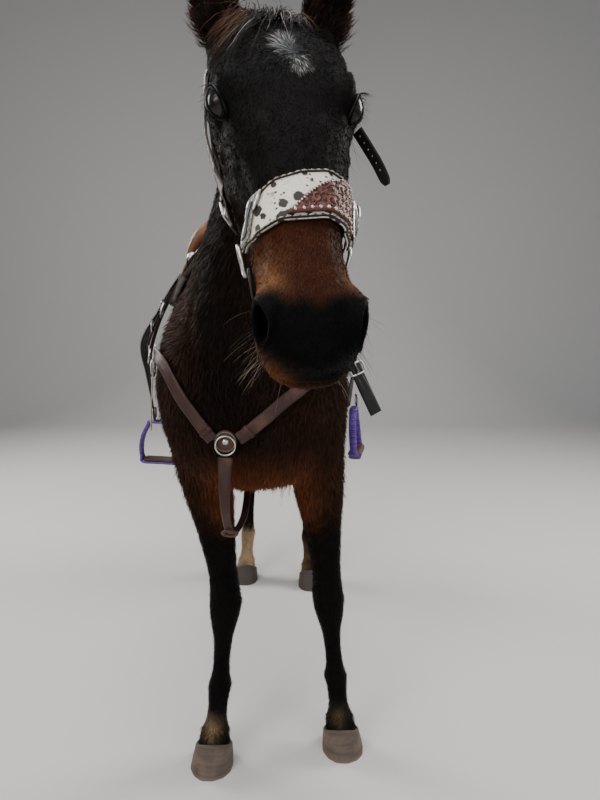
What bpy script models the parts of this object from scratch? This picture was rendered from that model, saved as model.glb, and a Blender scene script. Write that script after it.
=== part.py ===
"""A standing standardbred horse in western tack, life size, as a still model.

Metres, +Z up. The horse faces -Y and its left side is +X. Slices of the body, neck, head and legs
are lofted, fused into one skin, thinned, and then parted by thin cuts into the named nodes.
"""

import math
import random

import bmesh
import bpy
import numpy as np
from mathutils import Matrix, Vector
from mathutils.bvhtree import BVHTree

# Driving sizes of the horse
WITHERS = 1.515           # height at the withers
BROW = np.array([0.075, -0.857, 1.766])   # where the face line meets the level of the poll
FACE_TILT = math.radians(53.1)    # face line below the horizontal
HEAD_YAW = math.radians(9.6)      # the nose turns to the horse's left
EYE_RADIUS = 0.0240
HOOF_HEIGHT = 0.082
GAP = 0.0003                      # left between nodes that touch
BODY_VOXEL = 0.011
HEAD_VOXEL = 0.0055
BODY_TRIANGLES = 3400
HEAD_TRIANGLES = 1860
MANE_TRIANGLES = 1500              # of the neck with its mane
TAIL_TRIANGLES = 1500
SWAY, SWAY_AT, SWAY_REACH = 0.046, 0.15, 0.50   # bend of the trunk to the right, where, over what length
ORIGIN_SHIFT = Vector((0.038, -0.042, 0.0))  # brings the middle of the outline over the origin

COLOURS = {
    "coat": ((0.045, 0.026, 0.018), 0.6, 0.0),
    "points": ((0.012, 0.010, 0.011), 0.55, 0.0),     # black of the legs, mane and tail
    "horn": ((0.16, 0.12, 0.09), 0.5, 0.0),
    "eye": ((0.012, 0.008, 0.006), 0.05, 0.0),
    "hide": ((0.50, 0.48, 0.45), 0.7, 0.0),           # speckled cowhide
    "tooled": ((0.20, 0.055, 0.02), 0.45, 0.0),
    "bridle": ((0.035, 0.018, 0.010), 0.5, 0.0),
    "black_leather": ((0.014, 0.012, 0.012), 0.5, 0.0),
    "saddle_leather": ((0.16, 0.065, 0.028), 0.45, 0.0),
    "collar_leather": ((0.12, 0.05, 0.025), 0.5, 0.0),
    "silver": ((0.55, 0.54, 0.52), 0.3, 1.0),
    "purple": ((0.11, 0.035, 0.30), 0.4, 0.0),
    "wrap": ((0.06, 0.028, 0.018), 0.5, 0.0),
    "felt": ((0.10, 0.09, 0.085), 0.9, 0.0),
    "cord": ((0.42, 0.38, 0.32), 0.8, 0.0),
}


def reset():
    """Empties the scene."""
    for obj in list(bpy.data.objects):
        bpy.data.objects.remove(obj)


def material(name):
    """A Principled material from the table, made once."""
    found = bpy.data.materials.get(name)
    if found:
        return found
    colour, roughness, metallic = COLOURS[name]
    made = bpy.data.materials.new(name)
    made.use_nodes = True
    shader = made.node_tree.nodes["Principled BSDF"]
    shader.inputs["Base Color"].default_value = (*colour, 1)
    shader.inputs["Roughness"].default_value = roughness
    shader.inputs["Metallic"].default_value = metallic
    return made


def add_object(name, mesh):
    """Links a mesh into the scene as an object of that name."""
    mesh.name = name
    obj = bpy.data.objects.new(name, mesh)
    bpy.context.scene.collection.objects.link(obj)
    return obj


def from_bmesh(name, bm):
    """An object from a bmesh, which is freed."""
    bmesh.ops.recalc_face_normals(bm, faces=bm.faces)
    mesh = bpy.data.meshes.new(name)
    bm.to_mesh(mesh)
    bm.free()
    return add_object(name, mesh)


def between(rows, count):
    """Rows in between the given ones, on a Catmull-Rom curve through them."""
    rows = np.array(rows, float)
    at = np.linspace(0, len(rows) - 1, count)
    low = np.clip(at.astype(int), 0, len(rows) - 2)
    share = (at - low)[:, None]
    before, start, end, after = (rows[np.clip(low + k, 0, len(rows) - 1)] for k in (-1, 0, 1, 2))
    return 0.5 * (
        2 * start
        + (end - before) * share
        + (2 * before - 5 * start + 4 * end - after) * share**2
        + (3 * start - before - 3 * end + after) * share**3
    )


def section(top, bottom, across, half, widest, round_top, round_bottom, sides):
    """A ring between two points, half wide at the height share widest; rounder below 2, boxier above."""
    angle = np.linspace(0, 2 * math.pi, sides, endpoint=False)
    up, side = np.cos(angle), np.sin(angle)
    reach = np.where(up > 0, 1 - widest, widest)
    power = 2 / np.where(up > 0, round_top, round_bottom)
    height = widest + np.sign(up) * np.abs(up) ** power * reach
    width = np.sign(side) * np.abs(side) ** power * half
    return bottom + height[:, None] * (top - bottom) + width[:, None] * across


def loft(name, rings, round_trip=False, folded=False):
    """A closed skin over rings of equal count.

    Each end is closed by a fan, or across the ring's two halves where it is folded. A round trip has
    no ends: its last ring is joined to its first.
    """
    bm = bmesh.new()
    rows = [[bm.verts.new(p) for p in ring] for ring in rings]
    count = len(rows[0])
    following = rows[1:] + rows[:1] if round_trip else rows[1:]
    for first, second in zip(rows, following):
        for i in range(count):
            j = (i + 1) % count
            bm.faces.new((first[i], first[j], second[j], second[i]))
    if not round_trip:
        for ring, row in ((rings[0], rows[0]), (rings[-1], rows[-1])):
            if folded:
                for i in range(count // 2 - 1):
                    bm.faces.new((row[i], row[i + 1], row[-2 - i], row[-1 - i]))
                continue
            tip = bm.verts.new(np.mean(ring, axis=0))
            for i in range(count):
                bm.faces.new((row[i], row[(i + 1) % count], tip))
    bmesh.ops.triangulate(bm, faces=bm.faces)
    return from_bmesh(name, bm)


def ellipsoid(name, centre, axes, radii, detail=3):
    """A stretched ball; axes are its three directions."""
    bm = bmesh.new()
    bmesh.ops.create_icosphere(bm, subdivisions=detail, radius=1)
    rows = [[axes[j][i] * radii[j] for j in range(3)] + [centre[i]] for i in range(3)]
    frame = Matrix(rows + [[0, 0, 0, 1]])
    bmesh.ops.transform(bm, matrix=frame, verts=bm.verts)
    return from_bmesh(name, bm)


def hull(name, points):
    """The convex body around points."""
    bm = bmesh.new()
    for p in points:
        bm.verts.new(p)
    made = bmesh.ops.convex_hull(bm, input=bm.verts)
    loose = [v for v in made["geom_interior"] + made["geom_unused"] if isinstance(v, bmesh.types.BMVert)]
    bmesh.ops.delete(bm, geom=loose, context="VERTS")
    return from_bmesh(name, bm)


def evaluated_mesh(obj):
    """The object's mesh with its modifiers applied."""
    graph = bpy.context.evaluated_depsgraph_get()
    return bpy.data.meshes.new_from_object(obj.evaluated_get(graph))


def apply_modifiers(obj):
    """Puts the evaluated mesh in place of the modifiers."""
    mesh = evaluated_mesh(obj)
    obj.modifiers.clear()
    obj.data = mesh
    mesh.name = obj.name
    return obj


def discard(*objects):
    for obj in objects:
        bpy.data.objects.remove(obj)


def duplicate(obj, name):
    """A copy with its own mesh."""
    made = bpy.data.objects.new(name, obj.data.copy())
    bpy.context.scene.collection.objects.link(made)
    return made


def boolean(obj, other, operation, solver="MANIFOLD"):
    """Applies one Boolean; other stays."""
    modifier = obj.modifiers.new(operation, "BOOLEAN")
    modifier.operation = operation
    modifier.object = other
    modifier.solver = solver
    return apply_modifiers(obj)


def join(name, objects):
    """One object that holds all the meshes as loose parts."""
    bm = bmesh.new()
    for obj in objects:
        bm.from_mesh(obj.data)
    discard(*objects)
    mesh = bpy.data.meshes.new(name)
    bm.to_mesh(mesh)
    bm.free()
    return add_object(name, mesh)


def fuse(obj, pieces, solver="MANIFOLD"):
    """One Boolean union of obj with a collection of closed pieces, which are then removed."""
    group = bpy.data.collections.new(obj.name + "_pieces")
    for piece in pieces:
        group.objects.link(piece)
    modifier = obj.modifiers.new("fuse", "BOOLEAN")
    modifier.operation = "UNION"
    modifier.operand_type = "COLLECTION"
    modifier.collection = group
    modifier.solver = solver
    apply_modifiers(obj)
    discard(*pieces)
    bpy.data.collections.remove(group)
    return obj


def keep_largest(obj):
    """Drops sealed hollows and loose scraps, so that one closed surface stays."""
    bm = bmesh.new()
    bm.from_mesh(obj.data)
    left = set(bm.faces)
    shells = []
    while left:
        stack = [left.pop()]
        shell = []
        while stack:
            face = stack.pop()
            shell.append(face)
            for edge in face.edges:
                for other in edge.link_faces:
                    if other in left:
                        left.remove(other)
                        stack.append(other)
        shells.append(shell)
    shells.sort(key=lambda shell: sum(f.calc_area() for f in shell))
    scraps = [f for shell in shells[:-1] for f in shell]
    bmesh.ops.delete(bm, geom=scraps, context="FACES")
    bmesh.ops.delete(bm, geom=[v for v in bm.verts if not v.link_faces], context="VERTS")
    bm.to_mesh(obj.data)
    bm.free()
    return obj


def inflate(obj, distance, name="cutter"):
    """A copy whose surface stands off by distance."""
    made = duplicate(obj, name)
    bm = bmesh.new()
    bm.from_mesh(made.data)
    bm.normal_update()
    moves = []
    for v in bm.verts:
        flat = min((v.normal.dot(f.normal) for f in v.link_faces), default=1)
        moves.append(v.normal * (distance / max(flat, 0.5)))
    for v, move in zip(bm.verts, moves):
        v.co += move
    bm.to_mesh(made.data)
    bm.free()
    return made


def clear_of(obj, *neighbours, distance=GAP):
    """Cuts obj back from its neighbours, so that it meets them with the gap."""
    for neighbour in neighbours:
        cutter = inflate(neighbour, distance)
        boolean(obj, cutter, "DIFFERENCE")
        discard(cutter)
    return keep_largest(obj)


def thin(obj, triangles):
    """Brings a skin down to about so many triangles."""
    now = sum(len(f.vertices) - 2 for f in obj.data.polygons)
    if now > triangles:
        modifier = obj.modifiers.new("thin", "DECIMATE")
        modifier.ratio = triangles / now
        modifier.use_collapse_triangulate = True
        apply_modifiers(obj)
    return keep_largest(obj)


def smooth_skin(obj, voxel, smoothing, rounds, triangles):
    """Fuses loose parts to one skin, relaxes it where smoothing(co) says, and thins it."""
    remesh = obj.modifiers.new("remesh", "REMESH")
    remesh.mode = "VOXEL"
    remesh.voxel_size = voxel
    apply_modifiers(obj)
    keep_largest(obj)
    group = obj.vertex_groups.new(name="relaxed")
    for v in obj.data.vertices:
        group.add([v.index], smoothing(v.co), "REPLACE")
    relax = obj.modifiers.new("relax", "SMOOTH")
    relax.factor = 0.5
    relax.iterations = rounds
    relax.vertex_group = group.name
    apply_modifiers(obj)
    obj.vertex_groups.clear()
    return thin(obj, triangles)


# Slices of the trunk: y, top, bottom, half width, height share of the widest place, roundness
TRUNK = [
    (-0.475, 1.165, 1.010, 0.070, 0.50, 2.0, 2.0),
    (-0.445, 1.240, 0.935, 0.162, 0.50, 2.2, 2.2),
    (-0.380, 1.340, 0.868, 0.212, 0.50, 2.1, 2.5),
    (-0.280, 1.425, 0.838, 0.238, 0.48, 1.80, 2.5),
    (-0.180, 1.488, 0.826, 0.248, 0.46, 1.58, 2.4),
    (-0.080, WITHERS, 0.818, 0.256, 0.44, 1.48, 2.3),
    (0.050, 1.507, 0.808, 0.270, 0.44, 1.56, 2.2),
    (0.200, 1.478, 0.798, 0.286, 0.45, 1.82, 2.1),
    (0.380, 1.464, 0.800, 0.300, 0.47, 2.05, 2.1),
    (0.550, 1.470, 0.818, 0.296, 0.50, 2.1, 2.0),
    (0.700, 1.494, 0.862, 0.276, 0.54, 2.1, 2.0),
    (0.820, 1.520, 0.925, 0.262, 0.56, 2.2, 2.0),
    (0.940, 1.528, 0.990, 0.256, 0.56, 2.1, 2.1),
    (1.040, 1.510, 1.050, 0.236, 0.55, 2.0, 2.1),
    (1.120, 1.470, 1.120, 0.196, 0.52, 2.0, 2.0),
    (1.170, 1.405, 1.190, 0.130, 0.50, 2.0, 2.0),
    (1.188, 1.350, 1.250, 0.060, 0.50, 2.0, 2.0),
]

# Slices of the neck: crest y and z, underline y and z, middle x, half width, widest share, roundness
NECK = [
    (0.000, 1.456, -0.300, 0.960, 0.000, 0.165, 0.45, 1.7, 2.2),
    (-0.150, 1.500, -0.430, 1.070, 0.000, 0.165, 0.42, 1.6, 2.2),
    (-0.280, 1.528, -0.490, 1.180, 0.006, 0.148, 0.42, 1.65, 2.2),
    (-0.400, 1.580, -0.550, 1.265, 0.020, 0.128, 0.42, 1.7, 2.2),
    (-0.520, 1.632, -0.612, 1.345, 0.040, 0.112, 0.44, 1.7, 2.1),
    (-0.630, 1.688, -0.668, 1.420, 0.062, 0.100, 0.46, 1.8, 2.1),
    (-0.730, 1.724, -0.712, 1.472, 0.080, 0.094, 0.48, 2.0, 2.1),
    (-0.800, 1.725, -0.755, 1.510, 0.088, 0.080, 0.50, 2.0, 2.1),
]

# Slices of the head: along the face line, top, bottom, half width, widest share, roundness
HEAD = [
    (-0.022, 0.090, 0.215, 0.058, 0.55, 2.0, 2.1),
    (0.002, 0.050, 0.245, 0.074, 0.58, 2.1, 2.1),
    (0.050, 0.014, 0.262, 0.091, 0.60, 2.4, 2.2),
    (0.120, -0.008, 0.268, 0.099, 0.64, 2.7, 2.2),
    (0.190, -0.010, 0.258, 0.100, 0.72, 2.9, 2.2),
    (0.250, -0.004, 0.236, 0.088, 0.70, 2.8, 2.2),
    (0.310, 0.001, 0.205, 0.077, 0.64, 2.6, 2.3),
    (0.370, 0.006, 0.174, 0.066, 0.58, 2.4, 2.4),
    (0.430, 0.010, 0.150, 0.057, 0.52, 2.3, 2.4),
    (0.476, 0.012, 0.138, 0.055, 0.50, 2.3, 2.4),
    (0.522, 0.016, 0.134, 0.060, 0.54, 2.4, 2.4),
    (0.556, 0.026, 0.130, 0.058, 0.56, 2.4, 2.3),
    (0.584, 0.044, 0.118, 0.044, 0.55, 2.3, 2.2),
    (0.598, 0.062, 0.100, 0.022, 0.50, 2.0, 2.0),
]

# Slices of a foreleg: height, front and back of the cannon's line, half width
FORELEG = [
    (1.280, -0.170, 0.080, 0.060),
    (1.180, -0.205, 0.115, 0.082),
    (1.070, -0.215, 0.128, 0.088),
    (0.970, -0.185, 0.122, 0.086),
    (0.890, -0.145, 0.105, 0.078),
    (0.810, -0.112, 0.082, 0.068),
    (0.720, -0.086, 0.060, 0.057),
    (0.630, -0.068, 0.048, 0.048),
    (0.550, -0.056, 0.042, 0.043),
    (0.500, -0.057, 0.046, 0.047),
    (0.455, -0.058, 0.052, 0.048),
    (0.410, -0.050, 0.046, 0.041),
    (0.365, -0.038, 0.040, 0.032),
    (0.300, -0.031, 0.037, 0.028),
    (0.240, -0.032, 0.039, 0.030),
    (0.200, -0.042, 0.043, 0.036),
    (0.160, -0.054, 0.030, 0.032),
    (0.120, -0.078, 0.012, 0.032),
    (0.085, -0.100, -0.004, 0.043),
    (0.060, -0.110, -0.001, 0.049),
    (0.030, -0.120, 0.001, 0.055),
    (0.000, -0.131, 0.002, 0.059),
]

# Slices of a hind leg: height, front and back of the cannon's line, half width
HINDLEG = [
    (1.430, -0.140, 0.120, 0.080),
    (1.330, -0.220, 0.190, 0.118),
    (1.190, -0.275, 0.205, 0.126),
    (1.060, -0.285, 0.190, 0.118),
    (0.960, -0.235, 0.155, 0.102),
    (0.860, -0.165, 0.112, 0.081),
    (0.770, -0.112, 0.078, 0.062),
    (0.690, -0.070, 0.070, 0.048),
    (0.620, -0.055, 0.082, 0.044),
    (0.560, -0.056, 0.068, 0.049),
    (0.500, -0.046, 0.044, 0.042),
    (0.440, -0.036, 0.036, 0.033),
    (0.340, -0.034, 0.034, 0.028),
    (0.250, -0.036, 0.038, 0.030),
    (0.200, -0.050, 0.044, 0.036),
    (0.160, -0.062, 0.030, 0.032),
    (0.120, -0.086, 0.010, 0.031),
    (0.085, -0.104, -0.006, 0.041),
    (0.060, -0.113, -0.003, 0.047),
    (0.030, -0.122, -0.001, 0.052),
    (0.000, -0.131, 0.000, 0.055),
]

# Each leg: its slices, then x and y of the cannon's line at the top, the knee or hock, and the hoof
LEGS = {
    "foreleg_right": (FORELEG, (-0.134, -0.195), (-0.102, -0.195), (-0.144, -0.195)),
    "foreleg_left": (FORELEG, (0.172, -0.195), (0.190, -0.170), (0.238, -0.130)),
    "hindleg_right": (HINDLEG, (-0.135, 0.990), (-0.130, 0.985), (-0.150, 0.960)),
    "hindleg_left": (HINDLEG, (0.135, 0.990), (0.140, 0.955), (0.160, 0.900)),
}
LEG_TOP, LEG_JOINT = 1.0, 0.48    # heights that those places stand for


def unit(v):
    v = np.array(v, float)
    return v / np.linalg.norm(v)


def head_axes():
    """The head's directions: along the face to the nose, from face to jaw, and to the horse's left."""
    forward = np.array([math.sin(HEAD_YAW), -math.cos(HEAD_YAW), 0.0])
    up = np.array([0.0, 0.0, 1.0])
    along = forward * math.cos(FACE_TILT) - up * math.sin(FACE_TILT)
    down = -forward * math.sin(FACE_TILT) - up * math.cos(FACE_TILT)
    left = np.array([math.cos(HEAD_YAW), math.sin(HEAD_YAW), 0.0])
    return along, down, left


ALONG, DOWN, LEFT = head_axes()


def head_point(along, down, left=0.0):
    """A place in the head's own directions."""
    return BROW + ALONG * along + DOWN * down + LEFT * left


def trunk_rings(count, sides):
    rings = []
    for y, top, bottom, half, widest, round_top, round_bottom in between(TRUNK, count):
        ends = np.array([0, y, top]), np.array([0, y, bottom])
        rings.append(section(*ends, np.array([1.0, 0, 0]), half, widest, round_top, round_bottom, sides))
    return rings


def neck_rings(count, sides, rows=NECK):
    rings = []
    for y1, z1, y2, z2, x, half, widest, round_top, round_bottom in between(rows, count):
        ends = np.array([x, y1, z1]), np.array([x, y2, z2])
        rings.append(section(*ends, np.array([1.0, 0, 0]), half, widest, round_top, round_bottom, sides))
    return rings


def head_rings(count, sides):
    rings = []
    for along, top, bottom, half, widest, round_top, round_bottom in between(HEAD, count):
        ends = head_point(along, top), head_point(along, bottom)
        rings.append(section(*ends, LEFT, half, widest, round_top, round_bottom, sides))
    return rings


def leg_line(places, height):
    """x and y of a leg's line at a height, bent at the knee or hock."""
    top, joint, hoof = (np.array(p) for p in places)
    if height > LEG_JOINT:
        share = min(1.0, (height - LEG_JOINT) / (LEG_TOP - LEG_JOINT))
        return joint + (top - joint) * share
    return hoof + (joint - hoof) * (height / LEG_JOINT)


def leg_rings(slices, places, count, sides):
    rings = []
    for height, front, back, half in between(slices, count):
        x, y = leg_line(places, height)
        ends = np.array([x, y + front, height]), np.array([x, y + back, height])
        rings.append(section(*ends, np.array([1.0, 0, 0]), half, 0.5, 2.2, 2.2, sides))
    return rings


def muscles():
    """Muscle masses that the slices leave out: x, y, z, three radii, tilt about X and lean about Y."""
    masses = {
        "shoulder": (0.118, -0.235, 1.255, 0.072, 0.120, 0.230, -24, -14),
        "upper_arm": (0.155, -0.170, 1.040, 0.062, 0.130, 0.110, 20, 0),
        "breast": (0.075, -0.392, 1.040, 0.085, 0.085, 0.120, 0, 0),
        "croup": (0.090, 0.900, 1.380, 0.120, 0.200, 0.105, -8, 0),
        "haunch": (0.140, 1.040, 1.220, 0.095, 0.130, 0.220, 14, 0),
        "stifle": (0.165, 0.825, 1.050, 0.078, 0.085, 0.130, -20, 0),
        "elbow": (0.158, -0.105, 0.930, 0.042, 0.045, 0.060, 0, 0),
        "flank": (0.150, 0.680, 1.150, 0.118, 0.160, 0.170, 0, 0),
    }
    made = []
    for name, (x, y, z, rx, ry, rz, tilt, lean) in masses.items():
        for side in (-1, 1):
            turn = Matrix.Rotation(math.radians(tilt), 3, "X")
            turn = turn @ Matrix.Rotation(math.radians(side * lean), 3, "Y")
            axes = [turn @ Vector(v) for v in ((1, 0, 0), (0, 1, 0), (0, 0, 1))]
            made.append(ellipsoid(name, (side * x, y, z), axes, (rx, ry, rz)))
    return made


def body_skin():
    """Trunk, neck and legs as one thinned skin."""
    parts = [loft("trunk", trunk_rings(40, 32)), loft("neck", neck_rings(24, 28))]
    for name, (slices, *places) in LEGS.items():
        parts.append(loft(name, leg_rings(slices, places, 64, 20)))
    parts += muscles()
    skin = join("body", parts)

    def smoothing(co):
        return min(1.0, max(0.12, (co.z - 0.55) / 0.45))

    return smooth_skin(skin, BODY_VOXEL, smoothing, 14, BODY_TRIANGLES)


def head_ball(name, along, down, left, radii, tilt=0.0, out=0.0, detail=3):
    """A ball in the head's directions, turned by tilt in the face's plane and by out towards the side."""
    turn = Matrix.Rotation(math.radians(tilt), 3, Vector(LEFT))
    turn = turn @ Matrix.Rotation(math.radians(out), 3, Vector(DOWN))
    axes = [turn @ Vector(v) for v in (ALONG, DOWN, LEFT)]
    return ellipsoid(name, head_point(along, down, left), axes, radii, detail)


EYE_ALONG, EYE_DOWN, EYE_OUT = 0.212, 0.032, 0.0785


def eye_frame(side):
    """An eye's middle, and its ways to the nose corner, to the lower lid and out."""
    out = unit(LEFT * side * 0.75 + ALONG * 0.58 - DOWN * 0.32)
    fore = ALONG * 0.78 + DOWN * 0.28 - LEFT * side * 0.56
    fore = unit(fore - out * (fore @ out))
    low = np.cross(out, fore)
    low = low * np.sign(low @ DOWN)
    return head_point(EYE_ALONG, EYE_DOWN, side * EYE_OUT), fore, low, out


def head_skin():
    """The head with its brow, cheeks, nostrils, lids and mouth, as one thinned skin."""
    parts = [loft("skull", head_rings(44, 36)), loft("throat", neck_rings(10, 28, NECK[4:]))]
    for side in (-1, 1):
        parts += [
            head_ball("brow", 0.203, 0.019, side * 0.080, (0.038, 0.024, 0.023), 10),
            head_ball("orbit", 0.206, 0.038, side * 0.076, (0.048, 0.040, 0.027)),
            head_ball("temple", 0.118, 0.052, side * 0.074, (0.058, 0.036, 0.026), 8),
            head_ball("cheek", 0.150, 0.165, side * 0.056, (0.095, 0.088, 0.036)),
            head_ball("crest", 0.300, 0.082, side * 0.066, (0.085, 0.010, 0.012), -6),
            head_ball("nostril", 0.530, 0.050, side * 0.046, (0.036, 0.030, 0.018), 12),
            head_ball("ear_root", 0.034, 0.070, side * 0.068, (0.044, 0.042, 0.032)),
            head_ball("jaw", 0.400, 0.142, side * 0.026, (0.120, 0.020, 0.016), -16),
        ]
    parts += [
        head_ball("upper_lip", 0.574, 0.062, 0.0, (0.026, 0.030, 0.040)),
        head_ball("chin", 0.545, 0.126, 0.0, (0.032, 0.020, 0.034), 10),
    ]
    skin = join("head", parts)
    smooth_skin(skin, HEAD_VOXEL, lambda co: 1.0, 5, HEAD_TRIANGLES)
    for side in (-1, 1):
        nostril = head_ball("cut", 0.549, 0.044, side * 0.056, (0.023, 0.012, 0.024), 28, side * 30, 2)
        boolean(skin, nostril, "DIFFERENCE")
        discard(nostril)
    return skin


def mouth_cutter():
    """A thin plate along the closed lips, from the front to the corner of the mouth."""
    corner, front = 0.494, 0.630
    points = []
    for along, down in ((corner, 0.098), (0.542, 0.100), (0.580, 0.094), (front, 0.080)):
        for left in (-0.09, 0.09):
            for half in (-0.0012, 0.0012):
                points.append((along, down + half, left))
    bm = bmesh.new()
    verts = [bm.verts.new(head_point(*p)) for p in points]
    for k in range(3):
        a = verts[4 * k:4 * k + 4]
        b = verts[4 * k + 4:4 * k + 8]
        for i, j in ((0, 1), (1, 3), (3, 2), (2, 0)):
            bm.faces.new((a[i], a[j], b[j], b[i]))
    bm.faces.new([verts[i] for i in (0, 1, 3, 2)])
    bm.faces.new([verts[-4:][i] for i in (0, 1, 3, 2)])
    return from_bmesh("mouth", bm)


def tube(name, path, radii, sides, flat=1.0, facing=None, round_trip=False):
    """A closed tube along points; flat squashes it across facing, a direction for each point."""
    path = np.array(path, float)
    if round_trip:
        runs = np.roll(path, -1, axis=0) - np.roll(path, 1, axis=0)
    else:
        runs = np.gradient(path, axis=0)
    radii = np.broadcast_to(radii, len(path))
    rings = []
    for i, (p, run, r) in enumerate(zip(path, runs, radii)):
        run = unit(run)
        out = np.array(facing[i] if facing is not None else (0, 0, 1), float)
        if abs(out @ run) > 0.95:
            out = np.array((1.0, 0, 0))
        out = unit(out - run * (out @ run))
        side = np.cross(run, out)
        turn = np.linspace(0, 2 * math.pi, sides, endpoint=False) + math.pi / sides * (sides != 4)
        rings.append(p + np.outer(np.cos(turn) * r * flat, out) + np.outer(np.sin(turn) * r, side))
    return loft(name, rings, round_trip)


def ribbon(name, path, across, widths, thickness):
    """A flat strap along points: across is its width's direction at each point."""
    path = np.array(path, float)
    across = np.broadcast_to(np.array(across, float), path.shape)
    widths = np.broadcast_to(widths, len(path))
    rings = []
    for p, run, side, width in zip(path, np.gradient(path, axis=0), across, widths):
        side = unit(side - unit(run) * (side @ unit(run)))
        out = unit(np.cross(unit(run), side))
        corners = ((-1, -1), (1, -1), (1, 1), (-1, 1))
        rings.append([p + side * (a * width / 2) + out * (b * thickness / 2) for a, b in corners])
    return loft(name, rings)


def ring_of(name, centre, normal, radius, wire, count=12, sides=4, stretch=(1.0, 1.0)):
    """A wire ring about a centre."""
    normal = unit(normal)
    up = unit(np.array((0, 0, 1.0)) - normal * normal[2]) if abs(normal[2]) < 0.95 else np.array((1.0, 0, 0))
    side = np.cross(up, normal)
    turns = np.linspace(0, 2 * math.pi, count, endpoint=False)
    path = [
        centre + side * (math.cos(t) * radius * stretch[0]) + up * (math.sin(t) * radius * stretch[1])
        for t in turns
    ]
    return tube(name, path, wire, sides, facing=[normal] * count, round_trip=True)


class Skin:
    """A surface that straps, pads and locks are laid on."""

    def __init__(self, *objects):
        bm = bmesh.new()
        for obj in objects:
            bm.from_mesh(obj.data)
        bmesh.ops.triangulate(bm, faces=bm.faces)
        self.tree = BVHTree.FromBMesh(bm)
        bm.free()

    def near(self, point):
        """The closest place and its outward direction."""
        place, normal, *_ = self.tree.find_nearest(Vector(point))
        return np.array(place), np.array(normal)

    def along_ray(self, start, way):
        """The first place met from start, or None."""
        place, normal, *_ = self.tree.ray_cast(Vector(start), Vector(way))
        return None if place is None else (np.array(place), np.array(normal))


def shell(name, places, normals, lift, thickness, round_trip=False):
    """A sheet over a grid of places, lifted off by lift; thickness is a number or one for each place."""
    places = np.array(places, float)
    normals = np.array(normals, float)
    thickness = np.broadcast_to(thickness, places.shape[:2])[..., None]
    inner = places + normals * lift
    outer = inner + normals * thickness
    rings = [np.concatenate([low, high[::-1]]) for low, high in zip(inner, outer)]
    return loft(name, rings, round_trip, folded=True)


def strap_on(name, skin, path, widths, thickness, lift=0.002, columns=3, count=None, round_trip=False):
    """A strap whose middle runs near the path, laid on the skin."""
    path = between(path, count) if count else np.array(path, float)
    widths = np.broadcast_to(widths, len(path))
    middle = np.array([skin.near(p)[0] for p in path])
    if round_trip:
        runs = np.roll(middle, -1, axis=0) - np.roll(middle, 1, axis=0)
    else:
        runs = np.gradient(middle, axis=0)
    places, normals = [], []
    for p, run, width in zip(middle, runs, widths):
        _, out = skin.near(p)
        side = unit(np.cross(out, unit(run)))
        row = [skin.near(p + side * (c * width / 2)) for c in np.linspace(-1, 1, columns)]
        places.append([place for place, _ in row])
        normals.append([normal for _, normal in row])
    normals = smoothed(np.array(normals))
    return shell(name, places, normals, lift, thickness, round_trip)


def smoothed(normals, rounds=2):
    """Directions evened out over a grid."""
    for _ in range(rounds):
        padded = np.pad(normals, ((1, 1), (1, 1), (0, 0)), mode="edge")
        total = padded[:-2, 1:-1] + padded[2:, 1:-1] + padded[1:-1, :-2] + padded[1:-1, 2:] + 2 * normals
        normals = total / np.linalg.norm(total, axis=2, keepdims=True)
    return normals


def saddle_grid(skin, ys, spans, columns, centre=1.30):
    """Places on the trunk for each y, from one side over the back to the other, to an angle each."""
    places, normals = [], []
    for y, span in zip(ys, spans):
        low, high = span if hasattr(span, "__len__") else (-span, span)
        row_places, row_normals = [], []
        for angle in np.radians(np.linspace(low, high, columns)):
            way = np.array([math.sin(angle), 0, math.cos(angle)])
            start = np.array([0, y, centre]) + way * 0.8
            place, normal = skin.along_ray(start, -way)
            row_places.append(place)
            row_normals.append(unit(normal * (1, 0.15, 1)))
        places.append(row_places)
        normals.append(row_normals)
    return np.array(places), smoothed(np.array(normals), 3)


def lock(path, width, thickness, facing, sides=4):
    """A flat tapered lock of hair along points, with a blunt root and a sharp tip."""
    count = len(path)
    t = np.linspace(0, 1, count)
    shape = np.where(t < 0.3, 0.72 + 0.28 * (t / 0.3), 1 - (np.maximum(t - 0.3, 0) / 0.7) ** 1.6 * 0.93)
    return tube("lock", path, shape * width / 2, sides, thickness / width, facing)


def ear(side):
    """An ear: an oval tube at the root, then a cup that opens forwards and outwards, to a curved tip."""
    root = head_point(0.016, 0.066, side * 0.073)
    up = unit(np.array([side * 0.25, 0.10, 1.0]))
    front = np.array([side * math.sin(math.radians(38)), -math.cos(math.radians(38)), 0.0])
    front = unit(front - up * (front @ up))
    across = np.cross(up, front)
    rows = [
        (-0.022, 0.020, 0.019, 0.00),
        (0.008, 0.025, 0.022, 0.00),
        (0.026, 0.032, 0.025, 0.45),
        (0.050, 0.038, 0.024, 0.88),
        (0.078, 0.038, 0.021, 0.92),
        (0.106, 0.031, 0.017, 0.90),
        (0.130, 0.019, 0.012, 0.80),
        (0.147, 0.009, 0.007, 0.50),
        (0.154, 0.003, 0.003, 0.00),
    ]
    rings = []
    for height, half, deep, cup in rows:
        bend = front * (0.14 * max(0.0, height - 0.10)) - across * side * (0.10 * max(0.0, height - 0.08))
        turn = np.linspace(0, 2 * math.pi, 12, endpoint=False)
        sideways = np.sin(turn) * half
        fore = np.cos(turn)
        thick = 0.0045
        hollow = -fore * max(deep - thick, 0.0)
        reach = np.where(fore > 0, fore * deep * (1 - cup) + hollow * cup, fore * deep)
        middle = root + up * height + bend
        rings.append(middle + np.outer(sideways, across) + np.outer(reach, front))
    return loft("ear", rings)


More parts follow.
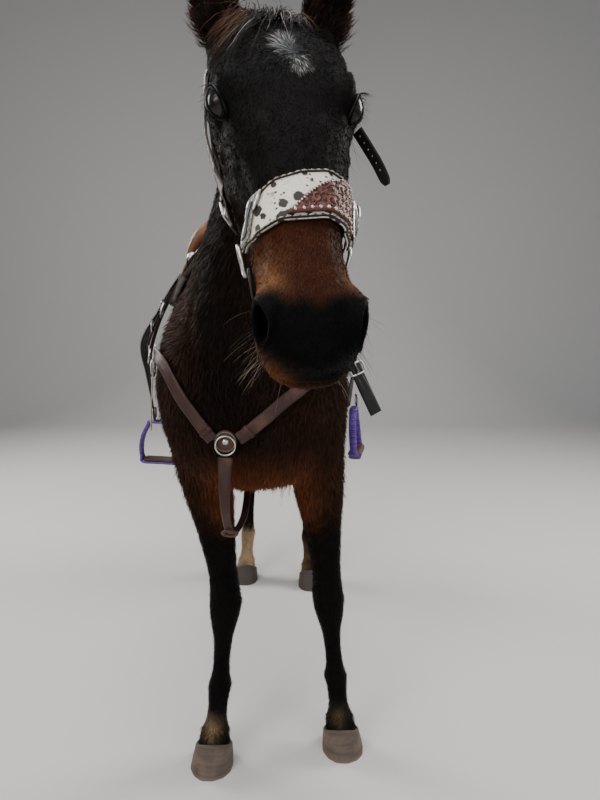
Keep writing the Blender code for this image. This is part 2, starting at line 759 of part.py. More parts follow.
def lids(side):
    """Upper and lower lid as bent tubes round the eye's opening."""
    made = []
    centre, fore, low, ahead = eye_frame(side)
    for sign, open_by in ((-1, 0.0150), (1, 0.0125)):
        path, facing = [], []
        for share in np.linspace(-1, 1, 9):
            along = share * 0.0245
            down = sign * open_by * (1 - share**2) ** 0.8 + share * 0.004
            out = math.sqrt(max((EYE_RADIUS + 0.0010) ** 2 - along**2 - down**2, 0.2 * EYE_RADIUS**2))
            path.append(centre + fore * along + low * down + ahead * out)
            facing.append(ahead)
        made.append(tube("lid", path, 0.0048, 6, facing=facing))
    return made


def region_below(side, corners, gap):
    """Everything under four (x, y, z) corners on one side, grown by gap."""
    points = []
    for x, y, z in corners:
        x = x - gap if x < 0.1 else x
        points += [(side * x, y, z + gap), (side * x, y, -0.2)]
    return hull("region", points)


def leg_corners(kind):
    """Corners of the sloping cut that parts a leg from the trunk."""
    if kind == "foreleg":
        low, x_rise, y_rise, fore, aft = 0.765, 0.50, 0.0, -0.70, 0.04
    else:
        low, x_rise, y_rise, fore, aft = 0.842, 0.33, 0.45, 0.60, 1.45
    inner, outer = 0.018, 0.480
    return [
        (x, y, low + x_rise * (x - inner) + y_rise * (y - 0.70 if y_rise else 0))
        for x in (inner, outer) for y in (fore, aft)
    ]


NECK_CUT = ((-0.115, 1.62), (-0.520, 1.010))      # base of the neck, crest end then chest end
HEAD_CUT = ((-0.752, 1.800), (-0.700, 1.400))     # throat, crest end then gullet end


def neck_region(gap):
    """The wedge between the cuts at the base of the neck and the throat, grown by gap."""
    corners = []
    for (y1, z1), (y2, z2), way in ((*NECK_CUT, 1), (*HEAD_CUT, -1)):
        slope = np.array([y2 - y1, z2 - z1])
        slope /= np.linalg.norm(slope)
        out = np.array([-slope[1], slope[0]]) * way
        for (y, z), end in (((y1, z1), -0.25), ((y2, z2), 0.10)):
            corners.append(np.array([y, z]) + slope * end + out * gap)
    return hull("neck_region", [(x, y, z) for y, z in corners for x in (-0.5, 0.6)])


def hoof_region(name, gap):
    """The block below the sloping line of the coronet."""
    _, *places = LEGS[name]
    x, y = leg_line(places, 0.05)
    points = []
    for dx in (-0.12, 0.12):
        for dy, z in ((-0.22, HOOF_HEIGHT + 0.036), (0.10, 0.030)):
            points += [(x + dx, y + dy, z + gap), (x + dx, y + dy, -0.1)]
    return hull("hoof_region", points)


def flatten_sole(obj):
    """Puts the lowest points of a hoof on the floor."""
    for v in obj.data.vertices:
        if v.co.z < 0.006:
            v.co.z = 0.0
    return obj


def part_body(body):
    """The body's nodes, by thin cuts."""
    made = {}
    regions = {"neck": neck_region(0), "neck_out": neck_region(GAP)}
    for name in LEGS:
        side = 1 if name.endswith("left") else -1
        corners = leg_corners(name.split("_")[0])
        regions[name] = region_below(side, corners, 0)
        regions[name + "_out"] = region_below(side, corners, GAP)
    for name in LEGS:
        leg = boolean(duplicate(body, name), regions[name], "INTERSECT")
        hoof_name = "hoof_" + name.replace("leg", "")
        above, below = hoof_region(name, GAP), hoof_region(name, 0)
        hoof = boolean(duplicate(leg, hoof_name), below, "INTERSECT")
        made[hoof_name] = (keep_largest(flatten_sole(hoof)), "horn")
        made[name] = (keep_largest(boolean(leg, above, "DIFFERENCE")), "points")
        discard(above, below)
    made["neck"] = (keep_largest(boolean(duplicate(body, "neck"), regions["neck"], "INTERSECT")), "coat")
    torso = duplicate(body, "torso")
    for name, region in regions.items():
        if name.endswith("_out"):
            boolean(torso, region, "DIFFERENCE")
    made["torso"] = (keep_largest(torso), "coat")
    discard(*regions.values())
    return made


def crest_point(share):
    """A place on the neck's crest, from the withers (0) to behind the ears (1)."""
    y1, z1, _, _, x, *_ = between(NECK[:-1], 61)[int(round(10 + share * 50))]
    return np.array([x, y1, z1])


def mane_locks(skin):
    """Locks rooted along the crest that fall on the left side."""
    made = []
    count = 22
    for i in range(count):
        share = (i + 0.5 + random.uniform(-0.2, 0.2)) / count
        crest = crest_point(share)
        length = random.uniform(0.20, 0.30) * (0.75 + 0.25 * math.sin(math.pi * share))
        lift = 0.004 + 0.006 * (i % 2)
        drift = random.uniform(-0.03, 0.05)
        path = [crest + (-0.004, 0, -0.014)]
        facing = [np.array((0.6, 0, 0.8))]
        x_last = crest[0]
        for t in np.linspace(0.06, 1, 5):
            y, z = crest[1] + drift * t**1.5, crest[2] + 0.006 - length * t
            met = skin.along_ray((0.8, y, z), (-1, 0, 0))
            x = x_last if met is None else max(met[0][0], x_last - 0.01)
            x_last = x
            path.append(np.array([x + lift + 0.006 * t, y, z]))
            facing.append(np.array((1.0, 0, 0.25)))
        made.append(lock(path, random.uniform(0.044, 0.056), 0.013, facing))
    return made


DOCK = [(0, 1.110, 1.430), (0, 1.170, 1.405), (0, 1.208, 1.330), (0, 1.214, 1.220), (0, 1.208, 1.100)]


def tail_solid():
    """The dock and the locks that hang from it."""
    rows = between(DOCK, 9)
    dock = tube("tail", rows, np.linspace(0.034, 0.014, 9), 8, facing=[(0, 1, 0.3)] * 9)
    core = [(0.0, 1.206, 1.30), (0.0, 1.212, 1.15), (0.0, 1.206, 0.95), (0.0, 1.196, 0.70),
            (0.0, 1.184, 0.42)]
    pieces = [lock(core, 0.110, 0.075, [(0, 1, 0)] * 5, 8)]
    count = 28
    for i in range(count):
        share = 0.06 + 0.94 * (i / (count - 1)) ** 0.9
        base = between(DOCK, 101)[int(share * 100)]
        angle = i * 2.399963 + random.uniform(-0.3, 0.3)
        out = np.array([math.sin(angle), 0.55 + 0.45 * math.cos(angle), 0.0])
        tip = random.uniform(0.24, 0.50) + 0.30 * (1 - share) * random.random()
        spread = random.uniform(0.030, 0.075)
        path = []
        for t in np.linspace(0, 1, 6):
            swell = 0.012 + math.sin(math.pi * min(1.0, 0.10 + t * 0.72)) * spread
            sway = 0.010 * math.sin(5 * t + i)
            z = base[2] - 0.005 - (base[2] - tip) * t
            path.append((base[0] + out[0] * swell + sway, base[1] + out[1] * swell * 0.55 - 0.02 * t, z))
        facing = [np.array([out[0], out[1] + 0.1, 0.1])] * len(path)
        pieces.append(lock(path, random.uniform(0.044, 0.062), 0.020, facing))
    return thin(keep_largest(fuse(dock, pieces)), TAIL_TRIANGLES)


def forelock_locks(skin):
    """Thin locks that fall between the ears on to the forehead; one reaches the right brow."""
    made = []
    plans = [
        (0.010, -0.022, 0.125, -0.070, 0.020),
        (0.014, -0.010, 0.165, -0.094, 0.016),
        (0.016, 0.002, 0.105, -0.030, 0.022),
        (0.018, 0.012, 0.120, 0.004, 0.022),
        (0.014, 0.022, 0.095, 0.040, 0.022),
        (0.006, 0.030, 0.075, 0.056, 0.018),
    ]
    for n, (start, left, length, swing, width) in enumerate(plans):
        path = [head_point(start - 0.012, 0.080, left)]
        for t in np.linspace(0.08, 1, 5):
            met = skin.along_ray(head_point(start + length * t, -0.30, left + (swing - left) * t**1.3), DOWN)
            place = met[0] if met else head_point(start + length * t, 0, left)
            path.append(place - DOWN * (0.004 + 0.003 * (n % 2) + 0.003 * math.sin(math.pi * t)))
        made.append(lock(path, width, 0.008, [-DOWN] * len(path)))
    return made


def finish_head(head):
    """Adds lids and forelock, and cuts the mouth, the eyes' openings and the ears' and eyes' seats."""
    made = {}
    skin = Skin(head)
    for side in (-1, 1):
        centre, fore, low, ahead = eye_frame(side)
        axes = [Vector(way) for way in (fore, low, ahead)]
        opening = ellipsoid("opening", centre + ahead * 0.026, axes, (0.0215, 0.0130, 0.018), 2)
        boolean(head, opening, "DIFFERENCE")
        discard(opening)
    mouth = mouth_cutter()
    boolean(head, mouth, "DIFFERENCE")
    discard(mouth)
    keep_largest(fuse(head, lids(-1) + lids(1) + forelock_locks(skin)))
    for side, word in ((-1, "right"), (1, "left")):
        ball = head_ball("eye_" + word, EYE_ALONG, EYE_DOWN, side * EYE_OUT, (EYE_RADIUS,) * 3, 0, 0, 2)
        flap = ear(side)
        socket = inflate(ball, GAP)
        boolean(head, socket, "DIFFERENCE")
        discard(socket)
        made["eye_" + word] = (ball, "eye")
        made["ear_" + word] = (flap, "coat")
    region = neck_region(GAP)
    boolean(head, region, "DIFFERENCE")
    discard(region)
    made["head"] = (keep_largest(head), "coat")
    for word in ("right", "left"):
        clear_of(made["ear_" + word][0], head)
    return made


# The noseband: degrees round the nose, its middle along the face, half its width
NOSEBAND = (
    (-104, -75, -46, -22, 0, 38, 62, 104),
    (0.396, 0.402, 0.408, 0.403, 0.398, 0.391, 0.386, 0.386),
    (0.019, 0.021, 0.024, 0.030, 0.034, 0.034, 0.032, 0.022),
)


def noseband(skin):
    """The wide arched noseband and its tooled overlay, with a slanted curved start on the nose."""
    made = {}
    for name, rows, wide, lift, thick, finish in (
        ("noseband", 17, 1.0, 0.0032, 0.0045, "hide"),
        ("noseband_overlay", 11, 0.78, 0.0092, 0.0035, "tooled"),
    ):
        places, normals = [], []
        for share in np.linspace(0, 1, rows):
            row_places, row_normals = [], []
            for step in np.linspace(-wide, wide, 4):
                start = -104 if name == "noseband" else 6 - 38 * step + 9.5 * step**2
                degrees = start + ((104 if name == "noseband" else 90) - start) * share
                middle, half = (np.interp(degrees, NOSEBAND[0], row) for row in NOSEBAND[1:])
                turn = math.radians(degrees)
                way = DOWN * -math.cos(turn) + LEFT * math.sin(turn)
                place, normal = skin.along_ray(head_point(middle + half * step, 0.070) + way * 0.25, -way)
                row_places.append(place)
                row_normals.append(normal)
            places.append(row_places)
            normals.append(row_normals)
        made[name] = (shell(name, places, smoothed(np.array(normals)), lift, thick), finish)
    return made


def head_strap(name, skin, path, width, thickness=0.004, lift=0.002, count=14):
    """A strap along (along, down, left) places of the head."""
    return strap_on(name, skin, [head_point(*p) for p in path], width, thickness, lift, 3, count)


def bridle(skin):
    """Noseband, cheek straps, crown strap, chin strap, rings and the loose end of the halter strap."""
    made = noseband(skin)
    for side, word in ((-1, "right"), (1, "left")):
        cheek = [(0.384, 0.100, side * 0.10), (0.330, 0.108, side * 0.11), (0.240, 0.116, side * 0.12),
                 (0.150, 0.116, side * 0.12), (0.075, 0.112, side * 0.12), (0.030, 0.122, side * 0.11)]
        made["cheek_strap_" + word] = (head_strap("cheek", skin, cheek, 0.019), "bridle")
        place, normal = skin.near(head_point(0.412, 0.108, side * 0.08))
        ring = ring_of("ring", place + normal * 0.010, normal, 0.019, 0.0026)
        made["noseband_ring_" + word] = (ring, "silver")
    crown = [(0.012, 0.124, -0.105), (-0.012, 0.112, -0.085), (-0.024, 0.098, -0.050), (-0.028, 0.088, 0.0),
             (-0.024, 0.098, 0.050), (-0.012, 0.112, 0.085), (0.012, 0.124, 0.105)]
    made["crown_strap"] = (head_strap("crown", skin, crown, 0.021, count=18), "bridle")
    chin = [(0.438, 0.090, -0.07), (0.462, 0.106, -0.07), (0.474, 0.132, -0.06), (0.478, 0.152, -0.03),
            (0.479, 0.155, 0.0), (0.478, 0.152, 0.03), (0.474, 0.132, 0.06), (0.462, 0.106, 0.07),
            (0.438, 0.090, 0.07)]
    made["chin_strap"] = (head_strap("chin", skin, chin, 0.016, lift=0.003, count=13), "black_leather")
    path = [(0.196, -0.850, 1.574), (0.211, -0.855, 1.550), (0.227, -0.858, 1.524), (0.242, -0.856, 1.496)]
    made["strap_end"] = (ribbon("end", between(path, 7), (0.75, -0.60, 0.30), 0.018, 0.004), "black_leather")
    return made


def saddle(skin):
    """Pad, skirts, seat, fork, horn and cantle."""
    made = {}
    ys = np.linspace(-0.170, 0.560, 9)
    places, normals = saddle_grid(skin, ys, [88, 93, 96, 98, 98, 97, 96, 93, 86], 19)
    made["saddle_pad"] = (shell("pad", places, normals, 0.0060, 0.015), "felt")
    for side, word in ((-1, "right"), (1, "left")):
        spans = [(side * 4.0, side * a) for a in (58, 72, 77, 79, 79, 77, 72, 60)]
        ys = np.array([-0.135, -0.115, -0.02, 0.10, 0.22, 0.34, 0.440, 0.470])
        places, normals = saddle_grid(skin, ys, spans, 10)
        made["skirt_" + word] = (shell("skirt", places, normals, 0.0262, 0.007), "saddle_leather")
    ys = np.linspace(0.0078, 0.335, 8)
    spans = [44, 50, 54, 56, 56, 55, 52, 48]
    places, normals = saddle_grid(skin, ys, spans, 13)
    rise = np.array([0.046, 0.036, 0.031, 0.030, 0.032, 0.040, 0.056, 0.078])[:, None]
    across = np.cos(np.linspace(-1, 1, 13) * math.pi / 2)[None, :] ** 0.8
    made["seat"] = (shell("seat", places, normals, 0.0372, 0.007 + rise * across), "saddle_leather")
    ys = np.array([-0.100, -0.085, -0.050, -0.015, 0.006])
    places, normals = saddle_grid(skin, ys, [48] * 5, 15)
    turn = np.linspace(-1, 1, 15)
    swell = 0.044 - 0.012 * np.abs(turn) ** 2 - 0.014 * np.abs(turn) ** 6
    swell = swell[None, :] * np.array([0.72, 0.95, 1.0, 0.90, 0.72])[:, None]
    made["fork"] = (shell("fork", places, normals, 0.0365, swell), "saddle_leather")
    top = skin.along_ray((0, -0.050, 2.2), (0, 0, -1))[0]
    horn = []
    for up, fore, r in ((0.0815, 0.0, 0.031), (0.100, 0.004, 0.020), (0.135, 0.012, 0.016), (0.152, 0.018, 0.019),
                        (0.158, 0.020, 0.036), (0.166, 0.023, 0.039), (0.172, 0.026, 0.034)):
        turns = np.linspace(0, 2 * math.pi, 12, endpoint=False)
        tilt = 0.25 * (up > 0.14)
        ring = [top + (math.cos(a) * r, math.sin(a) * r - fore, up + tilt * math.sin(a) * r) for a in turns]
        horn.append(np.array(ring))
    made["horn"] = (loft("horn", horn), "saddle_leather")
    rings = []
    for s in np.linspace(-1, 1, 15):
        x = 0.172 * math.sin(s * math.pi / 2)
        y = 0.300 + 0.085 * math.cos(s * math.pi / 2)
        low = skin.along_ray((x, y, 2.2), (0, 0, -1))[0][2] + 0.051
        high = low + 0.022 + 0.105 * math.cos(s * math.pi / 2) ** 0.7
        lean = 0.42 * (high - low)
        rings.append([
            np.array(p) for p in (
                (x, y - 0.008, low), (x, y + 0.014, low), (x * 1.03, y + 0.016 + lean, high),
                (x * 1.03, y + 0.002 + lean, high + 0.010), (x * 1.02, y - 0.010 + lean, high),
            )
        ])
    made["cantle"] = (loft("cantle", rings), "saddle_leather")
    return made


def stirrup_path(centre, turn, tall, wide):
    """The stirrup's outline: a flat tread, curved sides and a narrow top, in its own plane."""
    shape = [(-0.44, 0.0), (0.0, 0.0), (0.44, 0.0), (0.50, 0.10), (0.49, 0.34), (0.40, 0.64), (0.22, 0.94),
             (0.17, 1.0), (-0.17, 1.0), (-0.22, 0.94), (-0.40, 0.64), (-0.49, 0.34), (-0.50, 0.10)]
    run = np.array([math.sin(turn), math.cos(turn), 0.0])
    return [centre + run * (u * wide) + np.array((0, 0, v * tall)) for u, v in shape]


def stirrups(skin):
    """Fenders, stirrups and their wrapped treads; the right stirrup hangs turned across, the left along."""
    made = {}
    for side, word, drop, tall, degrees in ((-1, "right", 0.0, 0.130, -78), (1, "left", 0.030, 0.142, 13)):
        turn, out = math.radians(degrees), 0.297 if side < 0 else 0.324
        path, across = [], []
        for z, x, twist in ((1.400, 0, 0.10), (1.350, 0, 0.10), (1.300, 0, 0.10), (1.200, 0.326, 0.10),
                            (1.100, 0.319, 0.15), (1.000 + drop, 0.310, 0.26),
                            (0.820 + drop + tall, 0.306, 0.30)):
            if x == 0:
                x = abs(skin.along_ray((side * 0.9, 0.060, z), (-side, 0, 0))[0][0]) + 0.0540
            path.append((side * x, 0.060, z))
            across.append((side * twist, 1.0, 0.0))
        widths = [0.150, 0.156, 0.160, 0.165, 0.150, 0.085, 0.052]
        widths = between([[w] for w in widths], 13)[:, 0]
        made["fender_" + word] = (
            ribbon("fender", between(path, 13), between(across, 13), widths, 0.006), "black_leather")
        centre = np.array([side * out, 0.060, 0.812 + drop])
        loop = stirrup_path(centre, turn, tall, 0.135)
        across = np.array([math.cos(turn), -math.sin(turn), 0])
        rings = []
        for i, p in enumerate(loop):
            run = unit(loop[(i + 1) % len(loop)] - loop[i - 1])
            inner = unit(np.cross(across, run))
            half = 0.0190 if i < 3 else 0.0115
            rings.append([p + across * (a * half) + inner * (b * 0.0055)
                          for a, b in ((-1, -1), (1, -1), (1, 1), (-1, 1))])
        made["stirrup_" + word] = (loft("stirrup", rings, True), "purple")
        run = np.array([math.sin(turn), math.cos(turn), 0.0])
        pad = [centre + run * u + np.array((0, 0, 0.0100)) for u in (-0.055, 0.0, 0.055)]
        made["tread_" + word] = (ribbon("tread", pad, across, 0.040, 0.008), "wrap")
    return made


def girth(skin):
    """Cinch, latigos, rings and the straps that hang from the saddle."""
    made = {}
    ys, count = 0.015, 23
    places, normals = [], []
    turns = np.linspace(68, 292, count)
    for degrees in turns:
        angle = math.radians(degrees)
        low = 1 - abs(degrees - 180) / 112
        half = 0.030 + 0.035 * min(1.0, low * 1.8)
        row_places, row_normals = [], []
        for dy in np.linspace(-1, 1, 3):
            way = np.array([math.sin(angle), 0, math.cos(angle)])
            start = np.array([0, ys + dy * half, 1.10]) + way * 0.7
            place, normal = skin.along_ray(start, -way)
            row_places.append(place)
            row_normals.append(normal)
        places.append(row_places)
        normals.append(row_normals)
    made["cinch"] = (shell("cinch", places, smoothed(np.array(normals), 3), 0.0060, 0.008), "felt")
    for side, word in ((-1, "right"), (1, "left")):
        path = [(side * 0.255, 0.015, 1.370), (side * 0.285, 0.015, 1.300), (side * 0.296, 0.015, 1.240),
                (side * 0.300, 0.015, 1.180), (side * 0.298, 0.015, 1.150)]
        latigo = []
        for x, y, z in between(path, 7):
            met = skin.along_ray((side * 0.9, y, z), (-side, 0, 0))[0]
            latigo.append((met[0] + side * 0.0405, y, z))
        made["latigo_" + word] = (ribbon("latigo", latigo, (0, 1, 0), 0.040, 0.005), "collar_leather")
        x, y, z = latigo[-1]
        made["cinch_ring_" + word] = (
            ring_of("ring", np.array([x - side * 0.008, y, z - 0.028]), (side, 0, 0), 0.028, 0.0040),
            "silver")
    return made


# The way of each breast strap from the chest ring to the saddle
BREAST_STRAPS = {
    "right": ((-0.078, -0.48, 1.012), (-0.111, -0.47, 1.054), (-0.146, -0.46, 1.097), (-0.172, -0.435, 1.140),
              (-0.196, -0.390, 1.176), (-0.230, -0.320, 1.192), (-0.262, -0.250, 1.188), (-0.290, -0.195, 1.176)),
    "left": ((-0.020, -0.48, 1.012), (0.035, -0.48, 1.057), (0.082, -0.48, 1.098), (0.130, -0.455, 1.132),
             (0.178, -0.400, 1.158), (0.220, -0.325, 1.174), (0.258, -0.255, 1.180), (0.290, -0.195, 1.176)),
}


def breast_collar(skin):
    """Two straps from the saddle to a ring on the chest, and one that runs back between the forelegs."""
    made = {}
    centre, normal = skin.near((-0.049, -0.560, 0.990))
    normal = unit(normal * (1, 1, 0.3))
    made["chest_ring"] = (
        ring_of("ring", centre + normal * 0.0155 - np.array((0, 0, 0.008)), normal, 0.0215, 0.0032, 16), "silver")
    disc = [centre + normal * up + np.zeros(3) for up in (0.003, 0.009)]
    made["chest_pad"] = (tube("pad", disc, 0.026, 14), "collar_leather")
    for side, word in ((-1, "right"), (1, "left")):
        made["breast_strap_" + word] = (
            strap_on("strap", skin, BREAST_STRAPS[word], 0.030, 0.005, 0.006, 3, 18), "collar_leather")
        place, out = skin.near((side * 0.30, -0.150, 1.176))
        made["saddle_ring_" + word] = (ring_of("ring", place + out * 0.027, out, 0.018, 0.0028), "silver")
        hanger = []
        for y, z in between([(-0.105, 1.345), (-0.120, 1.290), (-0.135, 1.235), (-0.145, 1.200)], 7):
            place, out = skin.along_ray((side * 0.9, y, z), (-side, 0, 0))
            hanger.append(place + (side * 0.0385, 0, 0))
        made["ring_strap_" + word] = (ribbon("strap", hanger, (0, 1, 0.2), 0.028, 0.005), "black_leather")
    path = [
        centre + (0.0, -0.017, -0.036), (-0.053, -0.498, 0.900), (-0.053, -0.470, 0.810), (-0.046, -0.400, 0.758),
        (-0.030, -0.280, 0.750), (-0.024, -0.160, 0.768), (-0.022, -0.078, 0.788),
    ]
    widths = between([[w] for w in (0.034, 0.025, 0.019, 0.018, 0.018, 0.018, 0.018)], 19)[:, 0]
    made["down_strap"] = (ribbon("down", between(path, 19), (1, 0, 0), widths, 0.005), "collar_leather")
    return made


def trimmings(skin):
    """The pale saddle string on the right and the black strap that hangs on the left."""
    made = {}
    path = between([(-0.272, -0.075, 1.150), (-0.282, -0.080, 1.060), (-0.290, -0.075, 0.945)], 6)
    made["saddle_string"] = (ribbon("string", path, (0, 1, 0), 0.008, 0.003), "cord")
    path = between([(0.284, -0.195, 1.152), (0.312, -0.198, 1.090), (0.345, -0.200, 1.020)], 6)
    made["hanging_strap"] = (ribbon("strap", path, (0.95, 0.30, 0), 0.036, 0.004), "black_leather")
    return made


def sway(obj):
    """Bends the trunk and all it wears a little to the right of a straight line between the feet."""
    mesh = obj.data
    co = np.empty(len(mesh.vertices) * 3, np.float32)
    mesh.vertices.foreach_get("co", co)
    co = co.reshape(-1, 3).astype(float)
    rise = np.clip((co[:, 2] - 0.50) / 0.50, 0, 1)
    rise = rise * rise * (3 - 2 * rise)
    co[:, 0] -= SWAY * np.exp(-((co[:, 1] - SWAY_AT) / SWAY_REACH) ** 2) * rise
    mesh.vertices.foreach_set("co", co.astype(np.float32).ravel())
    mesh.update()


def settle(nodes):
    """Gives every node its name and finish, and cuts later ones back from the earlier that they meet."""
    done = []
    for name, (obj, finish) in nodes.items():
        obj.name = name
        obj.data.name = name
        for other in done:
            if near_each_other(obj, other) and meshes_meet(obj, other):
                clear_of(obj, other)
                print("cut back", name, "from", other.name)
        obj.data.materials.clear()
        obj.data.materials.append(material(finish))
        done.append(obj)
    return done


def corners_of(obj):
    co = np.empty(len(obj.data.vertices) * 3, np.float32)
    obj.data.vertices.foreach_get("co", co)
    co = co.reshape(-1, 3)
    return co.min(axis=0), co.max(axis=0)


def near_each_other(a, b):
    """Whether two boxes meet."""
    (low_a, high_a), (low_b, high_b) = corners_of(a), corners_of(b)
    return bool(np.all(low_a < high_b + GAP) and np.all(low_b < high_a + GAP))


def meshes_meet(a, b):
    """Whether two surfaces cross."""
    trees = []
    for obj in (a, b):
        bm = bmesh.new()
        bm.from_mesh(obj.data)
        trees.append(BVHTree.FromBMesh(bm, epsilon=GAP / 2))
        bm.free()
    return bool(trees[0].overlap(trees[1]))


def main():
    random.seed(7)
    reset()
    body = body_skin()
    head = head_skin()
    body_side, head_side = Skin(body), Skin(head, body)
    worn = {}
    groups = (saddle, girth, stirrups, breast_collar, trimmings)
    for group in (make(body_side) for make in groups):
        worn.update(group)
    locks = mane_locks(body_side)
    for obj in [body, *locks, *(obj for obj, _ in worn.values())]:
        sway(obj)
    nodes = part_body(body)
    neck, _ = nodes["neck"]
    thin(keep_largest(fuse(neck, locks)), MANE_TRIANGLES)
    region = neck_region(0)
    boolean(neck, region, "INTERSECT")
    discard(region)
    keep_largest(neck)
    nodes.update(finish_head(head))
    nodes["tail"] = (tail_solid(), "points")
    nodes.update(bridle(head_side))
    nodes.update(worn)
    discard(body)
    for obj in settle(nodes):
        obj.data.transform(Matrix.Translation(ORIGIN_SHIFT))


if __name__ == "__main__":
    main()
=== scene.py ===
"""Looks of a dark bay standardbred in western tack: skin, coat, mane, tail, hooves and leather.

Metres, +Z up. The horse faces -Y and its left side is +X. Every piece is worked out as arrays of
places, bent with the trunk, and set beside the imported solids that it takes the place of.
"""

from __future__ import annotations

import logging
import math
from dataclasses import dataclass, field
from enum import Enum

import bmesh
import bpy
import numpy as np
from mathutils import Matrix, Vector
from mathutils.bvhtree import BVHTree

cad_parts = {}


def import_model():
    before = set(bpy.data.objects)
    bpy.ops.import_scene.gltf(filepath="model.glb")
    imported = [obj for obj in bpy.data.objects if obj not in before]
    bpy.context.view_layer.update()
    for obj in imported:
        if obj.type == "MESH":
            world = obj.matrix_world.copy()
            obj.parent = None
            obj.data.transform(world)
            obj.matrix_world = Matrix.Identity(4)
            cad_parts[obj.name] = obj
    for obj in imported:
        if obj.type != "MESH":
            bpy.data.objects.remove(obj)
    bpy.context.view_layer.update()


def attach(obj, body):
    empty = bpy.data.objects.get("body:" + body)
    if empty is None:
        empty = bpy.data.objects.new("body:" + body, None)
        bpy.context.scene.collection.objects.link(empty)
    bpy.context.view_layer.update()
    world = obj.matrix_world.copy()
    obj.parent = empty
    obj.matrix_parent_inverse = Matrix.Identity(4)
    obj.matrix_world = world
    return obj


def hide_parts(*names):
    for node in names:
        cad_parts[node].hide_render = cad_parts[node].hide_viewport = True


logging.basicConfig(level=logging.INFO, format="%(message)s")
log = logging.getLogger("horse")

WITHERS = 1.515
BROW = np.array([0.075, -0.857, 1.766])
FACE_TILT = math.radians(53.1)
HEAD_YAW = math.radians(9.6)
EYE_PLACE = (0.212, 0.032, 0.0785)
EYE_RADIUS = 0.0240
SWAY, SWAY_AT, SWAY_REACH = 0.046, 0.15, 0.50
SHIFT = np.array([0.038, -0.042, 0.0])
SKIN_VOXEL = 0.0108
FINE_VOXEL = 0.0045
COAT_TUFTS = 342_000
TUFTS_IN_A_PIECE = 62_000
EAR_TUFTS = 9_000
MANE_LOCKS, TAIL_LOCKS = 110, 130
GOLDEN_ANGLE = 2.399963
STRAP_COLUMNS = 9
MIDDLE = STRAP_COLUMNS // 2
BRIDLE_THICK, COLLAR_THICK = 0.0040, 0.0050
BRIDLE_LIFT = 0.0022
SEED = 7

UP = np.array([0.0, 0.0, 1.0])


def unit(v):
    """Vectors of length one, along the last axis."""
    v = np.asarray(v, float)
    return v / np.maximum(np.linalg.norm(v, axis=-1, keepdims=True), 1e-12)


def smoothstep(low, high, value):
    """0 below low, 1 above high, smooth between."""
    t = np.clip((np.asarray(value, float) - low) / (high - low), 0, 1)
    return t * t * (3 - 2 * t)


def between(rows, count):
    """Rows in between the given ones, on a Catmull-Rom curve through them."""
    rows = np.asarray(rows, float)
    at = np.linspace(0, len(rows) - 1, count)
    low = np.clip(at.astype(int), 0, len(rows) - 2)
    share = (at - low)[:, None]
    before, start, end, after = (rows[np.clip(low + k, 0, len(rows) - 1)] for k in (-1, 0, 1, 2))
    return 0.5 * (
        2 * start
        + (end - before) * share
        + (2 * before - 5 * start + 4 * end - after) * share**2
        + (3 * start - before - 3 * end + after) * share**3
    )


def wobble(points, scale, seed):
    """A smooth random vector field with features about scale long, made of a few sines."""
    draw = np.random.default_rng(seed)
    total = np.zeros((len(points), 3))
    for _ in range(6):
        wave = unit(draw.normal(size=3)) * draw.uniform(0.6, 1.5) * 2 * math.pi / scale
        phase = draw.uniform(0, 2 * math.pi, 3)
        total += np.sin((points @ wave)[:, None] + phase)
    return total / 6


def head_axes():
    """The head's directions: along the face to the nose, from face to jaw, and to the horse's left."""
    forward = np.array([math.sin(HEAD_YAW), -math.cos(HEAD_YAW), 0.0])
    along = forward * math.cos(FACE_TILT) - UP * math.sin(FACE_TILT)
    down = -forward * math.sin(FACE_TILT) - UP * math.cos(FACE_TILT)
    left = np.array([math.cos(HEAD_YAW), math.sin(HEAD_YAW), 0.0])
    return along, down, left


ALONG, DOWN, LEFT = head_axes()
HEAD_FRAME = np.stack([ALONG, DOWN, LEFT])


def head_point(along, down, left=0.0):
    """A place given in the head's own directions."""
    return BROW + ALONG * along + DOWN * down + LEFT * left


def in_head(points):
    """Places in the head's own directions: along, down, left."""
    return (points - BROW) @ HEAD_FRAME.T


def settle_points(points):
    """Bends places with the trunk, then moves them to the row's frame."""
    points = np.array(points, float)
    rise = smoothstep(0.5, 1.0, points[:, 2])
    points[:, 0] -= SWAY * np.exp(-(((points[:, 1] - SWAY_AT) / SWAY_REACH) ** 2)) * rise
    return points + SHIFT


